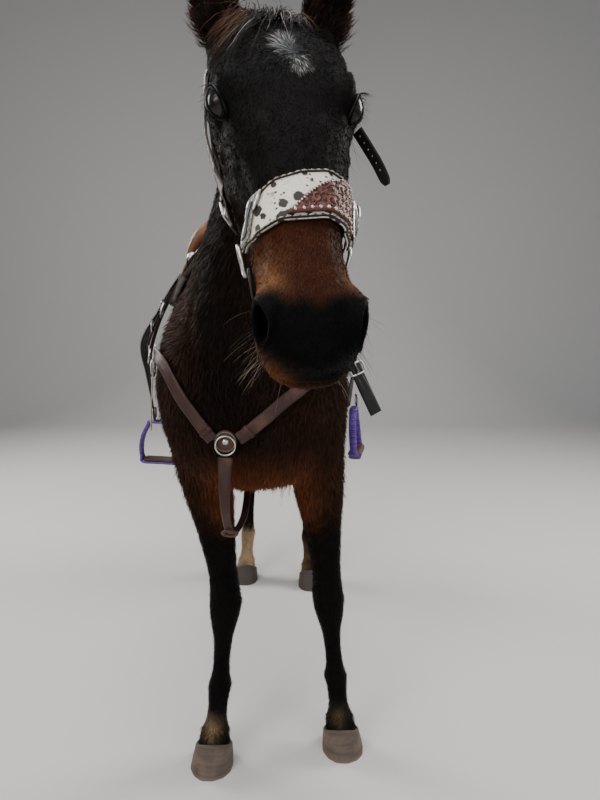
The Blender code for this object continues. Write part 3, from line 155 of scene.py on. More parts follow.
@dataclass
class Solid:
    """A mesh in arrays: places, four-sided and three-sided faces, and values for each place."""

    verts: np.ndarray
    quads: np.ndarray = field(default_factory=lambda: np.zeros((0, 4), np.int32))
    tris: np.ndarray = field(default_factory=lambda: np.zeros((0, 3), np.int32))
    values: dict = field(default_factory=dict)
    uv: np.ndarray | None = None

    def __add__(self, other):
        return joined([self, other])

    def filled(self, key):
        """Values of that name, or zeros where this mesh has none."""
        return self.values.get(key, np.zeros((len(self.verts), 4)))

    def with_value(self, key, value):
        """Adds a value of four numbers for each place."""
        value = np.asarray(value, float)
        self.values[key] = np.broadcast_to(value, (len(self.verts), 4)).copy()
        return self

    def mesh(self, name):
        """A smooth Blender mesh of it, with the values as colour attributes."""
        mesh = bpy.data.meshes.new(name)
        mesh.vertices.add(len(self.verts))
        mesh.vertices.foreach_set("co", settle_points(self.verts).astype(np.float32).ravel())
        corners = np.concatenate([self.quads.ravel(), self.tris.ravel()]).astype(np.int32)
        sizes = np.concatenate([np.full(len(self.quads), 4), np.full(len(self.tris), 3)])
        mesh.loops.add(len(corners))
        mesh.loops.foreach_set("vertex_index", corners)
        mesh.polygons.add(len(sizes))
        mesh.polygons.foreach_set("loop_start", np.concatenate([[0], np.cumsum(sizes)[:-1]]).astype(np.int32))
        mesh.polygons.foreach_set("use_smooth", np.full(len(sizes), True))
        for key, value in self.values.items():
            layer = mesh.attributes.new(key, "FLOAT_COLOR", "POINT")
            layer.data.foreach_set("color", value.astype(np.float32).ravel())
        if self.uv is not None:
            layer = mesh.uv_layers.new(name="OFBake")
            layer.data.foreach_set("uv", self.uv[corners].astype(np.float32).ravel())
        mesh.update(calc_edges=True)
        return mesh

    def triangles(self):
        """How many triangles it has once each face of four is cut in two."""
        return 2 * len(self.quads) + len(self.tris)


def joined(solids):
    """Many meshes as one."""
    offsets = np.cumsum([0] + [len(s.verts) for s in solids[:-1]])
    keys = set().union(*(s.values for s in solids))
    return Solid(
        np.concatenate([s.verts for s in solids]),
        np.concatenate([s.quads + n for s, n in zip(solids, offsets)]),
        np.concatenate([s.tris + n for s, n in zip(solids, offsets)]),
        {key: np.concatenate([s.filled(key) for s in solids]) for key in keys},
    )


def grid_faces(rows, columns, wrap_rows=False, wrap_columns=False):
    """Four-sided faces over a grid of places, row by row."""
    i = np.arange(rows if wrap_rows else rows - 1)
    j = np.arange(columns if wrap_columns else columns - 1)
    i, j = np.meshgrid(i, j, indexing="ij")
    up, right = (i + 1) % rows, (j + 1) % columns
    return np.stack(
        [i * columns + j, i * columns + right, up * columns + right, up * columns + j], -1,
    ).reshape(-1, 4)


def lofted(rings, round_trip=False, folded=False):
    """A closed skin over rings of equal count, with fans, or folded ends, or joined end to end."""
    rings = np.asarray(rings, float)
    rows, count = rings.shape[:2]
    quads = grid_faces(rows, count, round_trip, True)
    verts = rings.reshape(-1, 3)
    if round_trip:
        return Solid(verts, quads)
    ring = np.arange(count)
    last = (rows - 1) * count
    if folded:
        k = np.arange(count // 2 - 1)
        low = np.stack([k + 1, k, count - 1 - k, count - 2 - k], -1)
        high = np.stack([k, k + 1, count - 2 - k, count - 1 - k], -1) + last
        return Solid(verts, np.concatenate([quads, low, high]))
    following = np.roll(ring, -1)
    tips = np.stack([rings[0].mean(axis=0), rings[-1].mean(axis=0)])
    low = np.stack([following, ring, np.full(count, len(verts))], -1)
    high = np.stack([ring + last, following + last, np.full(count, len(verts) + 1)], -1)
    return Solid(np.concatenate([verts, tips]), quads, np.concatenate([low, high]))


def section(top, bottom, across, half, widest, round_top, round_bottom, sides):
    """A ring between two points, half wide at the height share widest; rounder below 2, boxier above."""
    angle = np.linspace(0, 2 * math.pi, sides, endpoint=False)
    up, side = np.cos(angle), np.sin(angle)
    reach = np.where(up > 0, 1 - widest, widest)
    power = 2 / np.where(up > 0, round_top, round_bottom)
    height = widest + np.sign(up) * np.abs(up) ** power * reach
    width = np.sign(side) * np.abs(side) ** power * half
    return bottom + height[:, None] * (top - bottom) + width[:, None] * across


def tube(path, radii, sides=8, facing=UP, round_trip=False):
    """A closed tube along points; facing is where its first side looks."""
    path = np.asarray(path, float)
    runs = np.roll(path, -1, 0) - np.roll(path, 1, 0) if round_trip else np.gradient(path, axis=0)
    runs = unit(runs)
    out = np.broadcast_to(np.asarray(facing, float), path.shape)
    out = np.where(np.abs((out * runs).sum(1, keepdims=True)) > 0.95, np.array([1.0, 0.1, 0]), out)
    out = unit(out - runs * (out * runs).sum(1, keepdims=True))
    side = np.cross(runs, out)
    turn = np.linspace(0, 2 * math.pi, sides, endpoint=False)
    radii = np.broadcast_to(radii, len(path))[:, None, None]
    rings = (
        path[:, None, :]
        + out[:, None, :] * np.cos(turn)[None, :, None] * radii
        + side[:, None, :] * np.sin(turn)[None, :, None] * radii
    )
    return lofted(rings, round_trip)


def ball(centre, axes, radii, rows=9, columns=14):
    """A stretched ball; axes are its three directions, the first from pole to pole."""
    axes = np.asarray(axes, float) * np.asarray(radii, float)[:, None]
    rise = np.linspace(0, math.pi, rows + 2)[1:-1]
    turn = np.linspace(0, 2 * math.pi, columns, endpoint=False)
    rings = (
        np.cos(rise)[:, None, None] * axes[0]
        + (np.sin(rise)[:, None] * np.cos(turn))[..., None] * axes[1]
        + (np.sin(rise)[:, None] * np.sin(turn))[..., None] * axes[2]
    )
    made = lofted(centre + rings)
    made.verts[-2] = centre + axes[0]
    made.verts[-1] = centre - axes[0]
    return made


# Slices of the trunk: y, top, bottom, half width, height share of the widest place, roundness
TRUNK = [
    (-0.475, 1.165, 1.010, 0.070, 0.50, 2.0, 2.0),
    (-0.445, 1.240, 0.935, 0.162, 0.50, 2.2, 2.2),
    (-0.380, 1.340, 0.868, 0.212, 0.50, 2.1, 2.5),
    (-0.280, 1.425, 0.838, 0.238, 0.48, 1.80, 2.5),
    (-0.180, 1.488, 0.826, 0.248, 0.46, 1.58, 2.4),
    (-0.080, WITHERS, 0.818, 0.256, 0.44, 1.48, 2.3),
    (0.050, 1.507, 0.808, 0.270, 0.44, 1.56, 2.2),
    (0.200, 1.478, 0.798, 0.286, 0.45, 1.82, 2.1),
    (0.380, 1.464, 0.800, 0.300, 0.47, 2.05, 2.1),
    (0.550, 1.470, 0.818, 0.296, 0.50, 2.1, 2.0),
    (0.700, 1.494, 0.862, 0.276, 0.54, 2.1, 2.0),
    (0.820, 1.520, 0.925, 0.262, 0.56, 2.2, 2.0),
    (0.940, 1.528, 0.990, 0.256, 0.56, 2.1, 2.1),
    (1.040, 1.510, 1.050, 0.236, 0.55, 2.0, 2.1),
    (1.120, 1.470, 1.120, 0.196, 0.52, 2.0, 2.0),
    (1.170, 1.405, 1.190, 0.130, 0.50, 2.0, 2.0),
    (1.188, 1.350, 1.250, 0.060, 0.50, 2.0, 2.0),
]

# Slices of the neck: crest y and z, underline y and z, middle x, half width, widest share, roundness
NECK = [
    (0.000, 1.456, -0.300, 0.960, 0.000, 0.165, 0.45, 1.7, 2.2),
    (-0.150, 1.500, -0.430, 1.070, 0.000, 0.165, 0.42, 1.6, 2.2),
    (-0.280, 1.528, -0.490, 1.180, 0.006, 0.148, 0.42, 1.65, 2.2),
    (-0.400, 1.580, -0.550, 1.265, 0.020, 0.128, 0.42, 1.7, 2.2),
    (-0.520, 1.632, -0.612, 1.345, 0.040, 0.112, 0.44, 1.7, 2.1),
    (-0.630, 1.688, -0.668, 1.420, 0.062, 0.100, 0.46, 1.8, 2.1),
    (-0.730, 1.724, -0.712, 1.472, 0.080, 0.094, 0.48, 2.0, 2.1),
    (-0.800, 1.725, -0.755, 1.510, 0.088, 0.080, 0.50, 2.0, 2.1),
]

# Slices of the head: along the face line, top, bottom, half width, widest share, roundness
HEAD = [
    (-0.022, 0.090, 0.215, 0.058, 0.55, 2.0, 2.1),
    (0.002, 0.050, 0.245, 0.074, 0.58, 2.1, 2.1),
    (0.050, 0.014, 0.262, 0.091, 0.60, 2.4, 2.2),
    (0.120, -0.008, 0.268, 0.099, 0.64, 2.7, 2.2),
    (0.190, -0.010, 0.258, 0.100, 0.72, 2.9, 2.2),
    (0.250, -0.004, 0.236, 0.088, 0.70, 2.8, 2.2),
    (0.310, 0.001, 0.205, 0.077, 0.64, 2.6, 2.3),
    (0.370, 0.006, 0.174, 0.066, 0.58, 2.4, 2.4),
    (0.430, 0.010, 0.150, 0.057, 0.52, 2.3, 2.4),
    (0.476, 0.012, 0.138, 0.055, 0.50, 2.3, 2.4),
    (0.522, 0.016, 0.134, 0.060, 0.54, 2.4, 2.4),
    (0.556, 0.026, 0.130, 0.058, 0.56, 2.4, 2.3),
    (0.584, 0.044, 0.118, 0.044, 0.55, 2.3, 2.2),
    (0.598, 0.062, 0.100, 0.022, 0.50, 2.0, 2.0),
]

# Slices of a foreleg and a hind leg: height, front and back of the cannon's line, half width
FORELEG = [
    (1.280, -0.170, 0.080, 0.060),
    (1.180, -0.205, 0.115, 0.082),
    (1.070, -0.215, 0.128, 0.088),
    (0.970, -0.185, 0.122, 0.086),
    (0.890, -0.145, 0.105, 0.078),
    (0.810, -0.112, 0.082, 0.068),
    (0.720, -0.086, 0.060, 0.057),
    (0.630, -0.068, 0.048, 0.048),
    (0.550, -0.056, 0.042, 0.043),
    (0.500, -0.057, 0.046, 0.047),
    (0.455, -0.058, 0.052, 0.048),
    (0.410, -0.050, 0.046, 0.041),
    (0.365, -0.038, 0.040, 0.032),
    (0.300, -0.031, 0.037, 0.028),
    (0.240, -0.032, 0.039, 0.030),
    (0.200, -0.042, 0.043, 0.036),
    (0.160, -0.054, 0.030, 0.032),
    (0.120, -0.078, 0.012, 0.032),
    (0.085, -0.100, -0.004, 0.043),
    (0.060, -0.110, -0.001, 0.049),
    (0.030, -0.120, 0.001, 0.055),
    (0.000, -0.131, 0.002, 0.059),
]
HINDLEG = [
    (1.430, -0.140, 0.120, 0.080),
    (1.330, -0.220, 0.190, 0.118),
    (1.190, -0.275, 0.205, 0.126),
    (1.060, -0.285, 0.190, 0.118),
    (0.960, -0.235, 0.155, 0.102),
    (0.860, -0.165, 0.112, 0.081),
    (0.770, -0.112, 0.078, 0.062),
    (0.690, -0.070, 0.070, 0.048),
    (0.620, -0.055, 0.082, 0.044),
    (0.560, -0.056, 0.068, 0.049),
    (0.500, -0.046, 0.044, 0.042),
    (0.440, -0.036, 0.036, 0.033),
    (0.340, -0.034, 0.034, 0.028),
    (0.250, -0.036, 0.038, 0.030),
    (0.200, -0.050, 0.044, 0.036),
    (0.160, -0.062, 0.030, 0.032),
    (0.120, -0.086, 0.010, 0.031),
    (0.085, -0.104, -0.006, 0.041),
    (0.060, -0.113, -0.003, 0.047),
    (0.030, -0.122, -0.001, 0.052),
    (0.000, -0.131, 0.000, 0.055),
]

# Each leg: its slices, then x and y of the cannon's line at the top, the knee or hock, and the hoof
LEGS = {
    "foreleg_right": (FORELEG, (-0.134, -0.195), (-0.102, -0.195), (-0.144, -0.195)),
    "foreleg_left": (FORELEG, (0.172, -0.195), (0.190, -0.170), (0.238, -0.130)),
    "hindleg_right": (HINDLEG, (-0.135, 0.990), (-0.130, 0.985), (-0.150, 0.960)),
    "hindleg_left": (HINDLEG, (0.135, 0.990), (0.140, 0.955), (0.160, 0.900)),
}
LEG_TOP, LEG_JOINT = 1.0, 0.48

# Muscle masses: x, y, z, three radii, tilt about X and lean about Y, in metres and degrees
MUSCLES = [
    (0.118, -0.235, 1.255, 0.072, 0.120, 0.230, -24, -14),
    (0.155, -0.170, 1.040, 0.062, 0.130, 0.110, 20, 0),
    (0.075, -0.392, 1.040, 0.085, 0.085, 0.120, 0, 0),
    (0.090, 0.900, 1.380, 0.120, 0.200, 0.105, -8, 0),
    (0.140, 1.040, 1.220, 0.095, 0.130, 0.220, 14, 0),
    (0.165, 0.825, 1.050, 0.078, 0.085, 0.130, -20, 0),
    (0.158, -0.105, 0.930, 0.042, 0.045, 0.060, 0, 0),
    (0.150, 0.680, 1.150, 0.118, 0.160, 0.170, 0, 0),
]

# Masses of the head: along, down, left, three radii and the tilt in the face's plane
HEAD_MASSES = [
    (0.203, 0.019, 0.080, 0.038, 0.024, 0.023, 10),
    (0.206, 0.038, 0.076, 0.048, 0.040, 0.027, 0),
    (0.118, 0.052, 0.074, 0.058, 0.036, 0.026, 8),
    (0.150, 0.165, 0.056, 0.095, 0.088, 0.036, 0),
    (0.300, 0.082, 0.066, 0.085, 0.010, 0.012, -6),
    (0.530, 0.050, 0.046, 0.036, 0.030, 0.018, 12),
    (0.034, 0.070, 0.068, 0.044, 0.042, 0.032, 0),
    (0.400, 0.142, 0.026, 0.120, 0.020, 0.016, -16),
    (0.574, 0.062, 0.000, 0.026, 0.030, 0.040, 0),
    (0.545, 0.126, 0.000, 0.032, 0.020, 0.034, 10),
]


def leg_line(places, height):
    """x and y of a leg's line at a height, bent at the knee or hock."""
    top, joint, hoof = (np.array(p) for p in places)
    if height > LEG_JOINT:
        share = min(1.0, (height - LEG_JOINT) / (LEG_TOP - LEG_JOINT))
        return joint + (top - joint) * share
    return hoof + (joint - hoof) * (height / LEG_JOINT)


def leg_middles(places, z):
    """x and y of a leg's line at each of many heights."""
    heights = (0.0, LEG_JOINT, LEG_TOP)
    line = np.array([leg_line(places, h) for h in heights])
    return np.interp(z, heights, line[:, 0]), np.interp(z, heights, line[:, 1])


def leg_solid(slices, places):
    """A leg's loft down to the sole."""
    rings = []
    for height, front, back, half in between(slices, 72):
        x, y = leg_line(places, height)
        ends = np.array([x, y + front, height]), np.array([x, y + back, height])
        rings.append(section(*ends, np.array([1.0, 0, 0]), half, 0.5, 2.2, 2.2, 24))
    return lofted(rings)


def body_parts():
    """The lofts and masses that the skin is fused from."""
    x_axis = np.array([1.0, 0, 0])
    rings = [
        section(np.array([0, y, top]), np.array([0, y, low]), x_axis, half, widest, r1, r2, 44)
        for y, top, low, half, widest, r1, r2 in between(TRUNK, 60)
    ]
    parts = [lofted(rings)]
    rings = [
        section(np.array([x, y1, z1]), np.array([x, y2, z2]), x_axis, half, widest, r1, r2, 40)
        for y1, z1, y2, z2, x, half, widest, r1, r2 in between(NECK, 44)
    ]
    parts.append(lofted(rings))
    rings = [
        section(head_point(a, top), head_point(a, low), LEFT, half, widest, r1, r2, 44)
        for a, top, low, half, widest, r1, r2 in between(HEAD, 60)
    ]
    parts.append(lofted(rings))
    parts += [leg_solid(slices, places) for slices, *places in LEGS.values()]
    for x, y, z, rx, ry, rz, tilt, lean in MUSCLES:
        for side in (-1, 1):
            sway = Matrix.Rotation(math.radians(side * lean), 3, "Y")
            turn = Matrix.Rotation(math.radians(tilt), 3, "X") @ sway
            parts.append(ball((side * x, y, z), np.array(turn.transposed()), (rx, ry, rz), 17, 26))
    for a, d, left, ra, rd, rl, tilt in HEAD_MASSES:
        for side in (-1, 1):
            turn = Matrix.Rotation(math.radians(tilt), 3, Vector(LEFT))
            axes = [np.array(turn @ Vector(v)) for v in (ALONG, DOWN, LEFT)]
            parts.append(ball(head_point(a, d, side * left), axes, (ra, rd, rl), 17, 26))
    return parts


class Surface:
    """A surface, of places and lists of corners, that straps, locks and hairs are laid on."""

    def __init__(self, verts, faces):
        self.tree = BVHTree.FromPolygons(verts.tolist(), faces)

    def near(self, point):
        """The closest place and its outward direction."""
        place, normal, *_ = self.tree.find_nearest(Vector(point))
        return np.array(place), np.array(normal)

    def along_ray(self, start, way):
        """The first place met from start and its outward direction, or None."""
        place, normal, *_ = self.tree.ray_cast(Vector(start), Vector(way))
        return None if place is None else (np.array(place), np.array(normal))


def raw_object(name, solid):
    """An object whose mesh keeps the array's own places."""
    mesh = bpy.data.meshes.new(name)
    faces = [tuple(f) for f in solid.quads.tolist()] + [tuple(f) for f in solid.tris.tolist()]
    mesh.from_pydata(solid.verts.tolist(), [], faces)
    obj = bpy.data.objects.new(name, mesh)
    bpy.context.scene.collection.objects.link(obj)
    return obj


def remeshed(parts, voxel):
    """Loose closed parts fused to one skin of four-sided faces: its places and faces."""
    obj = raw_object("fused", joined(parts))
    modifier = obj.modifiers.new("remesh", "REMESH")
    modifier.mode = "VOXEL"
    modifier.voxel_size = voxel
    graph = bpy.context.evaluated_depsgraph_get()
    mesh = bpy.data.meshes.new_from_object(obj.evaluated_get(graph))
    bpy.data.objects.remove(obj)
    verts = np.empty(len(mesh.vertices) * 3, np.float32)
    mesh.vertices.foreach_get("co", verts)
    corners = np.empty(len(mesh.loops), np.int32)
    mesh.loops.foreach_get("vertex_index", corners)
    verts, quads = verts.reshape(-1, 3).astype(float), corners.reshape(-1, 4)
    bpy.data.meshes.remove(mesh)
    return verts, quads


def edges_of(quads, tris=None):
    """Every edge once, as pairs of places."""
    pairs = [quads[:, [k, (k + 1) % 4]] for k in range(4)]
    if tris is not None and len(tris):
        pairs += [tris[:, [k, (k + 1) % 3]] for k in range(3)]
    pairs = np.sort(np.concatenate(pairs), axis=1).astype(np.int64)
    keys = np.unique(pairs[:, 0] * (pairs.max() + 1) + pairs[:, 1])
    return np.stack([keys // (pairs.max() + 1), keys % (pairs.max() + 1)], -1)


def relaxed(verts, edges, weight, rounds):
    """Moves places half way towards the mean of their neighbours, or less where weight says so."""
    count = len(verts)
    a, b = edges.T
    degree = np.maximum(np.bincount(a, minlength=count) + np.bincount(b, minlength=count), 1)
    weight = (np.broadcast_to(weight, count) * 0.5)[:, None]
    for _ in range(rounds):
        total = [
            np.bincount(a, verts[b, k], count) + np.bincount(b, verts[a, k], count)
            for k in range(verts.shape[1])
        ]
        mean = np.stack(total, -1) / degree[:, None]
        verts = verts + (mean - verts) * weight
    return verts


def place_normals(verts, quads, tris=None):
    """The outward direction at each place."""
    total = np.zeros_like(verts)
    a, b, c, d = (verts[corner] for corner in quads.T)
    across = np.cross(c - a, d - b)
    for k in range(4):
        for axis in range(3):
            total[:, axis] += np.bincount(quads[:, k], across[:, axis], len(verts))
    if tris is not None and len(tris):
        across = np.cross(verts[tris[:, 1]] - verts[tris[:, 0]], verts[tris[:, 2]] - verts[tris[:, 0]])
        for k in range(3):
            for axis in range(3):
                total[:, axis] += np.bincount(tris[:, k], across[:, axis], len(verts))
    return unit(total)


def refined(verts, quads, tris, where):
    """Splits every face in four whose edges all lie where the test on middles says; returns the new mesh."""
    bm = bmesh.new()
    mesh = bpy.data.meshes.new("refine")
    mesh.from_pydata(
        verts.tolist(), [], [tuple(f) for f in quads.tolist()] + [tuple(f) for f in tris.tolist()],
    )
    bm.from_mesh(mesh)
    bpy.data.meshes.remove(mesh)
    middles = np.array([f.calc_center_median()[:] for f in bm.faces])
    chosen = np.flatnonzero(where(middles))
    bm.faces.ensure_lookup_table()
    edges = {e for i in chosen for e in bm.faces[i].edges}
    bmesh.ops.subdivide_edges(bm, edges=list(edges), cuts=1, use_grid_fill=True)
    bmesh.ops.triangulate(bm, faces=[f for f in bm.faces if len(f.verts) > 4])
    bm.verts.index_update()
    places = np.array([v.co[:] for v in bm.verts])
    quads = np.array([[v.index for v in f.verts] for f in bm.faces if len(f.verts) == 4], np.int32)
    tris = np.array([[v.index for v in f.verts] for f in bm.faces if len(f.verts) == 3], np.int32)
    bm.free()
    return places, quads.reshape(-1, 4), tris.reshape(-1, 3)


@dataclass(frozen=True)
class Relief:
    """A ridge, vein or groove under the skin.

    Attributes:
        line: places it runs through, in the head's directions (along, down, left) or in metres.
        width: how far from the line it fades out.
        height: how high it stands; below zero for a groove.
        head: whether the line is in the head's directions.
    """

    line: tuple
    width: float
    height: float
    head: bool = False

    def spread(self, side):
        """Points close together on the line, mirrored for the right side."""
        line = np.array(self.line, float)
        if self.head:
            line[:, 2] *= side
            line = head_point_many(line)
        else:
            line[:, 0] *= side
        length = np.linalg.norm(np.diff(line, axis=0), axis=1).sum()
        return between(line, max(3, int(length / (0.35 * self.width)) + 2))


def head_point_many(places):
    """Places in the row from rows of along, down and left."""
    return BROW + np.asarray(places, float) @ HEAD_FRAME


# Bone, muscle and vein lines of the head: along, down, left
HEAD_RELIEF = (
    Relief(
        ((0.262, 0.078, 0.084), (0.300, 0.084, 0.080), (0.345, 0.084, 0.072), (0.385, 0.080, 0.064)), 0.014,
        0.0050, True,
    ),
    Relief(((0.262, 0.098, 0.092), (0.310, 0.104, 0.080), (0.370, 0.100, 0.068)), 0.016, -0.0032, True),
    Relief(((0.220, 0.070, 0.096), (0.256, 0.072, 0.088)), 0.018, 0.0032, True),
    Relief(((0.118, 0.044, 0.086), (0.150, 0.040, 0.090)), 0.024, 0.0030, True),
    Relief(((0.166, 0.014, 0.091), (0.192, 0.004, 0.086), (0.216, 0.006, 0.079)), 0.018, 0.0012, True),
    Relief(((0.110, 0.082, 0.094), (0.150, 0.086, 0.098), (0.178, 0.082, 0.100)), 0.014, 0.0040, True),
    Relief(((0.240, 0.066, 0.088), (0.262, 0.060, 0.080)), 0.014, -0.0026, True),
    Relief(
        ((0.270, -0.002, 0.044), (0.340, 0.004, 0.034), (0.420, 0.012, 0.026), (0.480, 0.018, 0.022)),
        0.015, 0.0026, True,
    ),
    Relief(((0.320, 0.040, 0.078), (0.390, 0.046, 0.062), (0.450, 0.050, 0.054)), 0.024, -0.0040, True),
    Relief(
        (
            (0.285, 0.090, 0.085), (0.315, 0.066, 0.078), (0.352, 0.050, 0.070), (0.395, 0.040, 0.060),
            (0.430, 0.036, 0.056),
        ),
        0.0055, 0.0022, True,
    ),
    Relief(((0.352, 0.050, 0.070), (0.350, 0.030, 0.070), (0.340, 0.016, 0.062)), 0.0045, 0.0016, True),
    Relief(
        ((0.285, 0.090, 0.085), (0.290, 0.130, 0.082), (0.280, 0.180, 0.070), (0.262, 0.215, 0.050)),
        0.0060, 0.0022, True,
    ),
    Relief(
        ((0.250, 0.100, 0.096), (0.255, 0.150, 0.090), (0.235, 0.200, 0.080), (0.190, 0.240, 0.062)), 0.016,
        0.0034, True,
    ),
    Relief(((0.090, 0.130, 0.092), (0.070, 0.180, 0.088), (0.080, 0.225, 0.072)), 0.018, 0.0030, True),
    Relief(((0.500, 0.112, 0.050), (0.530, 0.120, 0.040)), 0.014, -0.0022, True),
    Relief(((0.470, 0.088, 0.058), (0.500, 0.090, 0.058)), 0.012, -0.0020, True),
    Relief(((0.500, 0.018, 0.024), (0.540, 0.022, 0.022)), 0.014, 0.0022, True),
    Relief(((0.236, 0.014, 0.050), (0.262, 0.010, 0.042)), 0.022, -0.0022, True),
)

# Lines of the neck, trunk and legs, in metres, as on the left side
BODY_RELIEF = (
    Relief(
        ((0.100, -0.650, 1.500), (0.130, -0.540, 1.400), (0.150, -0.430, 1.270), (0.120, -0.450, 1.150)),
        0.032, -0.0110,
    ),
    Relief(((0.020, -0.470, 1.130), (0.024, -0.500, 1.040), (0.020, -0.470, 0.930)), 0.026, -0.0100),
    Relief(((0.160, -0.380, 1.160), (0.170, -0.330, 1.060), (0.150, -0.300, 0.980)), 0.024, -0.0070),
    Relief(((0.090, -0.080, 1.460), (0.170, -0.190, 1.330), (0.205, -0.300, 1.200)), 0.030, 0.0060),
    Relief(((0.210, -0.080, 1.300), (0.240, -0.060, 1.180), (0.225, -0.090, 1.060)), 0.040, -0.0060),
    Relief(((0.200, -0.370, 1.150), (0.220, -0.340, 1.110)), 0.050, 0.0080),
    Relief(((0.190, -0.100, 1.020), (0.190, -0.070, 0.940)), 0.030, 0.0060),
    Relief(((0.170, -0.270, 0.960), (0.185, -0.200, 0.860)), 0.030, 0.0050),
    Relief(((0.290, 0.640, 1.260), (0.300, 0.690, 1.130), (0.250, 0.740, 1.020)), 0.050, -0.0080),
    Relief(((0.230, 0.940, 1.380), (0.240, 1.020, 1.250), (0.200, 1.060, 1.100)), 0.030, -0.0070),
    Relief(((0.180, 0.740, 1.470), (0.210, 0.760, 1.440)), 0.045, 0.0080),
    Relief(((0.200, 0.800, 1.000), (0.190, 0.800, 0.930)), 0.040, 0.0060),
)


def rib_relief():
    """Faint ribs behind the shoulder."""
    return tuple(
        Relief(((0.26, y, 1.32), (0.30, y + 0.03, 1.15), (0.28, y + 0.02, 0.98)), 0.020, 0.0022)
        for y in np.arange(0.10, 0.62, 0.055)
    )


# Bones and tendons of the legs: places as height, forward and outward of the leg's line, width,
# height, and on which sides of the leg they are
ONE, BOTH = (1,), (1, -1)
FORE_RELIEF = (
    ([(0.535, -0.050, 0.016), (0.490, -0.058, 0.014)], 0.016, 0.0040, BOTH),
    ([(0.455, -0.056, 0.012), (0.440, -0.056, -0.012)], 0.014, 0.0030, ONE),
    ([(0.500, 0.050, 0.0), (0.470, 0.056, 0.0)], 0.018, 0.0060, ONE),
    ([(0.472, 0.0, 0.050), (0.465, 0.0, 0.046)], 0.022, 0.0030, ONE),
    ([(0.400, 0.040, 0.010), (0.300, 0.034, 0.010), (0.225, 0.040, 0.012)], 0.012, 0.0026, ONE),
    ([(0.390, 0.014, 0.034), (0.300, 0.012, 0.028), (0.230, 0.012, 0.030)], 0.010, -0.0040, BOTH),
    ([(0.206, 0.006, 0.038), (0.198, 0.008, 0.038)], 0.018, 0.0040, BOTH),
    ([(0.200, 0.044, 0.0), (0.182, 0.046, 0.0)], 0.020, 0.0070, ONE),
    ([(0.172, -0.050, 0.0), (0.164, -0.054, 0.0)], 0.022, -0.0030, ONE),
    ([(0.098, -0.088, 0.0), (0.098, -0.060, 0.036), (0.080, -0.010, 0.042)], 0.012, 0.0040, BOTH),
    ([(0.780, -0.090, 0.050), (0.700, -0.070, 0.042), (0.600, -0.050, 0.034)], 0.020, 0.0040, ONE),
    ([(0.760, 0.030, 0.050), (0.660, 0.020, 0.046), (0.580, 0.010, 0.040)], 0.012, -0.0030, ONE),
)
HIND_RELIEF = (
    ([(0.650, 0.082, 0.0), (0.600, 0.086, 0.0)], 0.020, 0.0060, ONE),
    ([(0.590, 0.050, 0.020), (0.530, 0.048, 0.018), (0.460, 0.036, 0.012)], 0.014, 0.0030, ONE),
    ([(0.560, -0.020, 0.046), (0.540, -0.010, 0.046)], 0.024, 0.0044, BOTH),
    ([(0.760, 0.060, 0.030), (0.690, 0.060, 0.026), (0.640, 0.070, 0.014)], 0.014, 0.0050, ONE),
    ([(0.740, 0.030, 0.040), (0.680, 0.036, 0.036), (0.630, 0.044, 0.030)], 0.016, -0.0060, BOTH),
    ([(0.430, 0.012, 0.032), (0.340, 0.012, 0.028), (0.240, 0.014, 0.030)], 0.010, -0.0040, BOTH),
    ([(0.206, 0.004, 0.038), (0.198, 0.006, 0.038)], 0.018, 0.0040, BOTH),
    ([(0.200, 0.046, 0.0), (0.184, 0.048, 0.0)], 0.020, 0.0070, ONE),
    ([(0.172, -0.056, 0.0), (0.164, -0.060, 0.0)], 0.022, -0.0030, ONE),
    ([(0.098, -0.090, 0.0), (0.098, -0.060, 0.034), (0.080, -0.014, 0.040)], 0.012, 0.0040, BOTH),
)


def leg_relief():
    """The lines of each leg's relief in metres, with their widths and heights."""
    found = []
    for name, (_, *places) in LEGS.items():
        for line, width, height, sides in FORE_RELIEF if name.startswith("fore") else HIND_RELIEF:
            for side in sides:
                spots = []
                for z, forward, out in line:
                    x, y = leg_line(places, z)
                    spots.append((x + side * out, y + forward, z))
                found.append((between(spots, 6 if len(spots) < 3 else 18), width, height))
    return found


def raised(verts, normals):
    """How far every relief lifts each place."""
    lift = np.zeros(len(verts))
    lines = [(r.spread(side), r.width, r.height) for r in HEAD_RELIEF for side in (-1, 1)]
    lines += [(r.spread(side), r.width, r.height) for r in BODY_RELIEF + rib_relief() for side in (-1, 1)]
    for line, width, height in lines + leg_relief():
        low, high = line.min(0) - 1.6 * width - 0.012, line.max(0) + 1.6 * width + 0.012
        near = np.flatnonzero(((verts > low) & (verts < high)).all(1))
        if not len(near):
            continue
        gaps = verts[near][:, None, :] - line[None, :, :]
        along_normal = np.einsum("ijk,ik->ij", gaps, normals[near])
        square = (gaps**2).sum(-1) - 0.8 * along_normal**2
        best = np.sqrt(np.maximum(square.min(1), 0))
        lift[near] += height * (1 - smoothstep(0, width, best))
    return lift


def largest_part(verts, quads):
    """Keeps the one connected skin that has the most places."""
    a, b = edges_of(quads).T
    label = np.arange(len(verts))
    while True:
        low = np.minimum(label[a], label[b])
        before = label.copy()
        np.minimum.at(label, label[a], low)
        np.minimum.at(label, label[b], low)
        label = label[label]
        if (label == before).all():
            break
    keep = label == np.bincount(label).argmax()
    index = np.cumsum(keep) - 1
    return verts[keep], index[quads[keep[quads[:, 0]]]].astype(np.int32)


def near_head(points):
    """1 on the head, 0 on neck and body, smooth between."""
    along, down, _ = in_head(points).T
    return smoothstep(-0.03, 0.04, along) * (1 - smoothstep(0.27, 0.33, down))


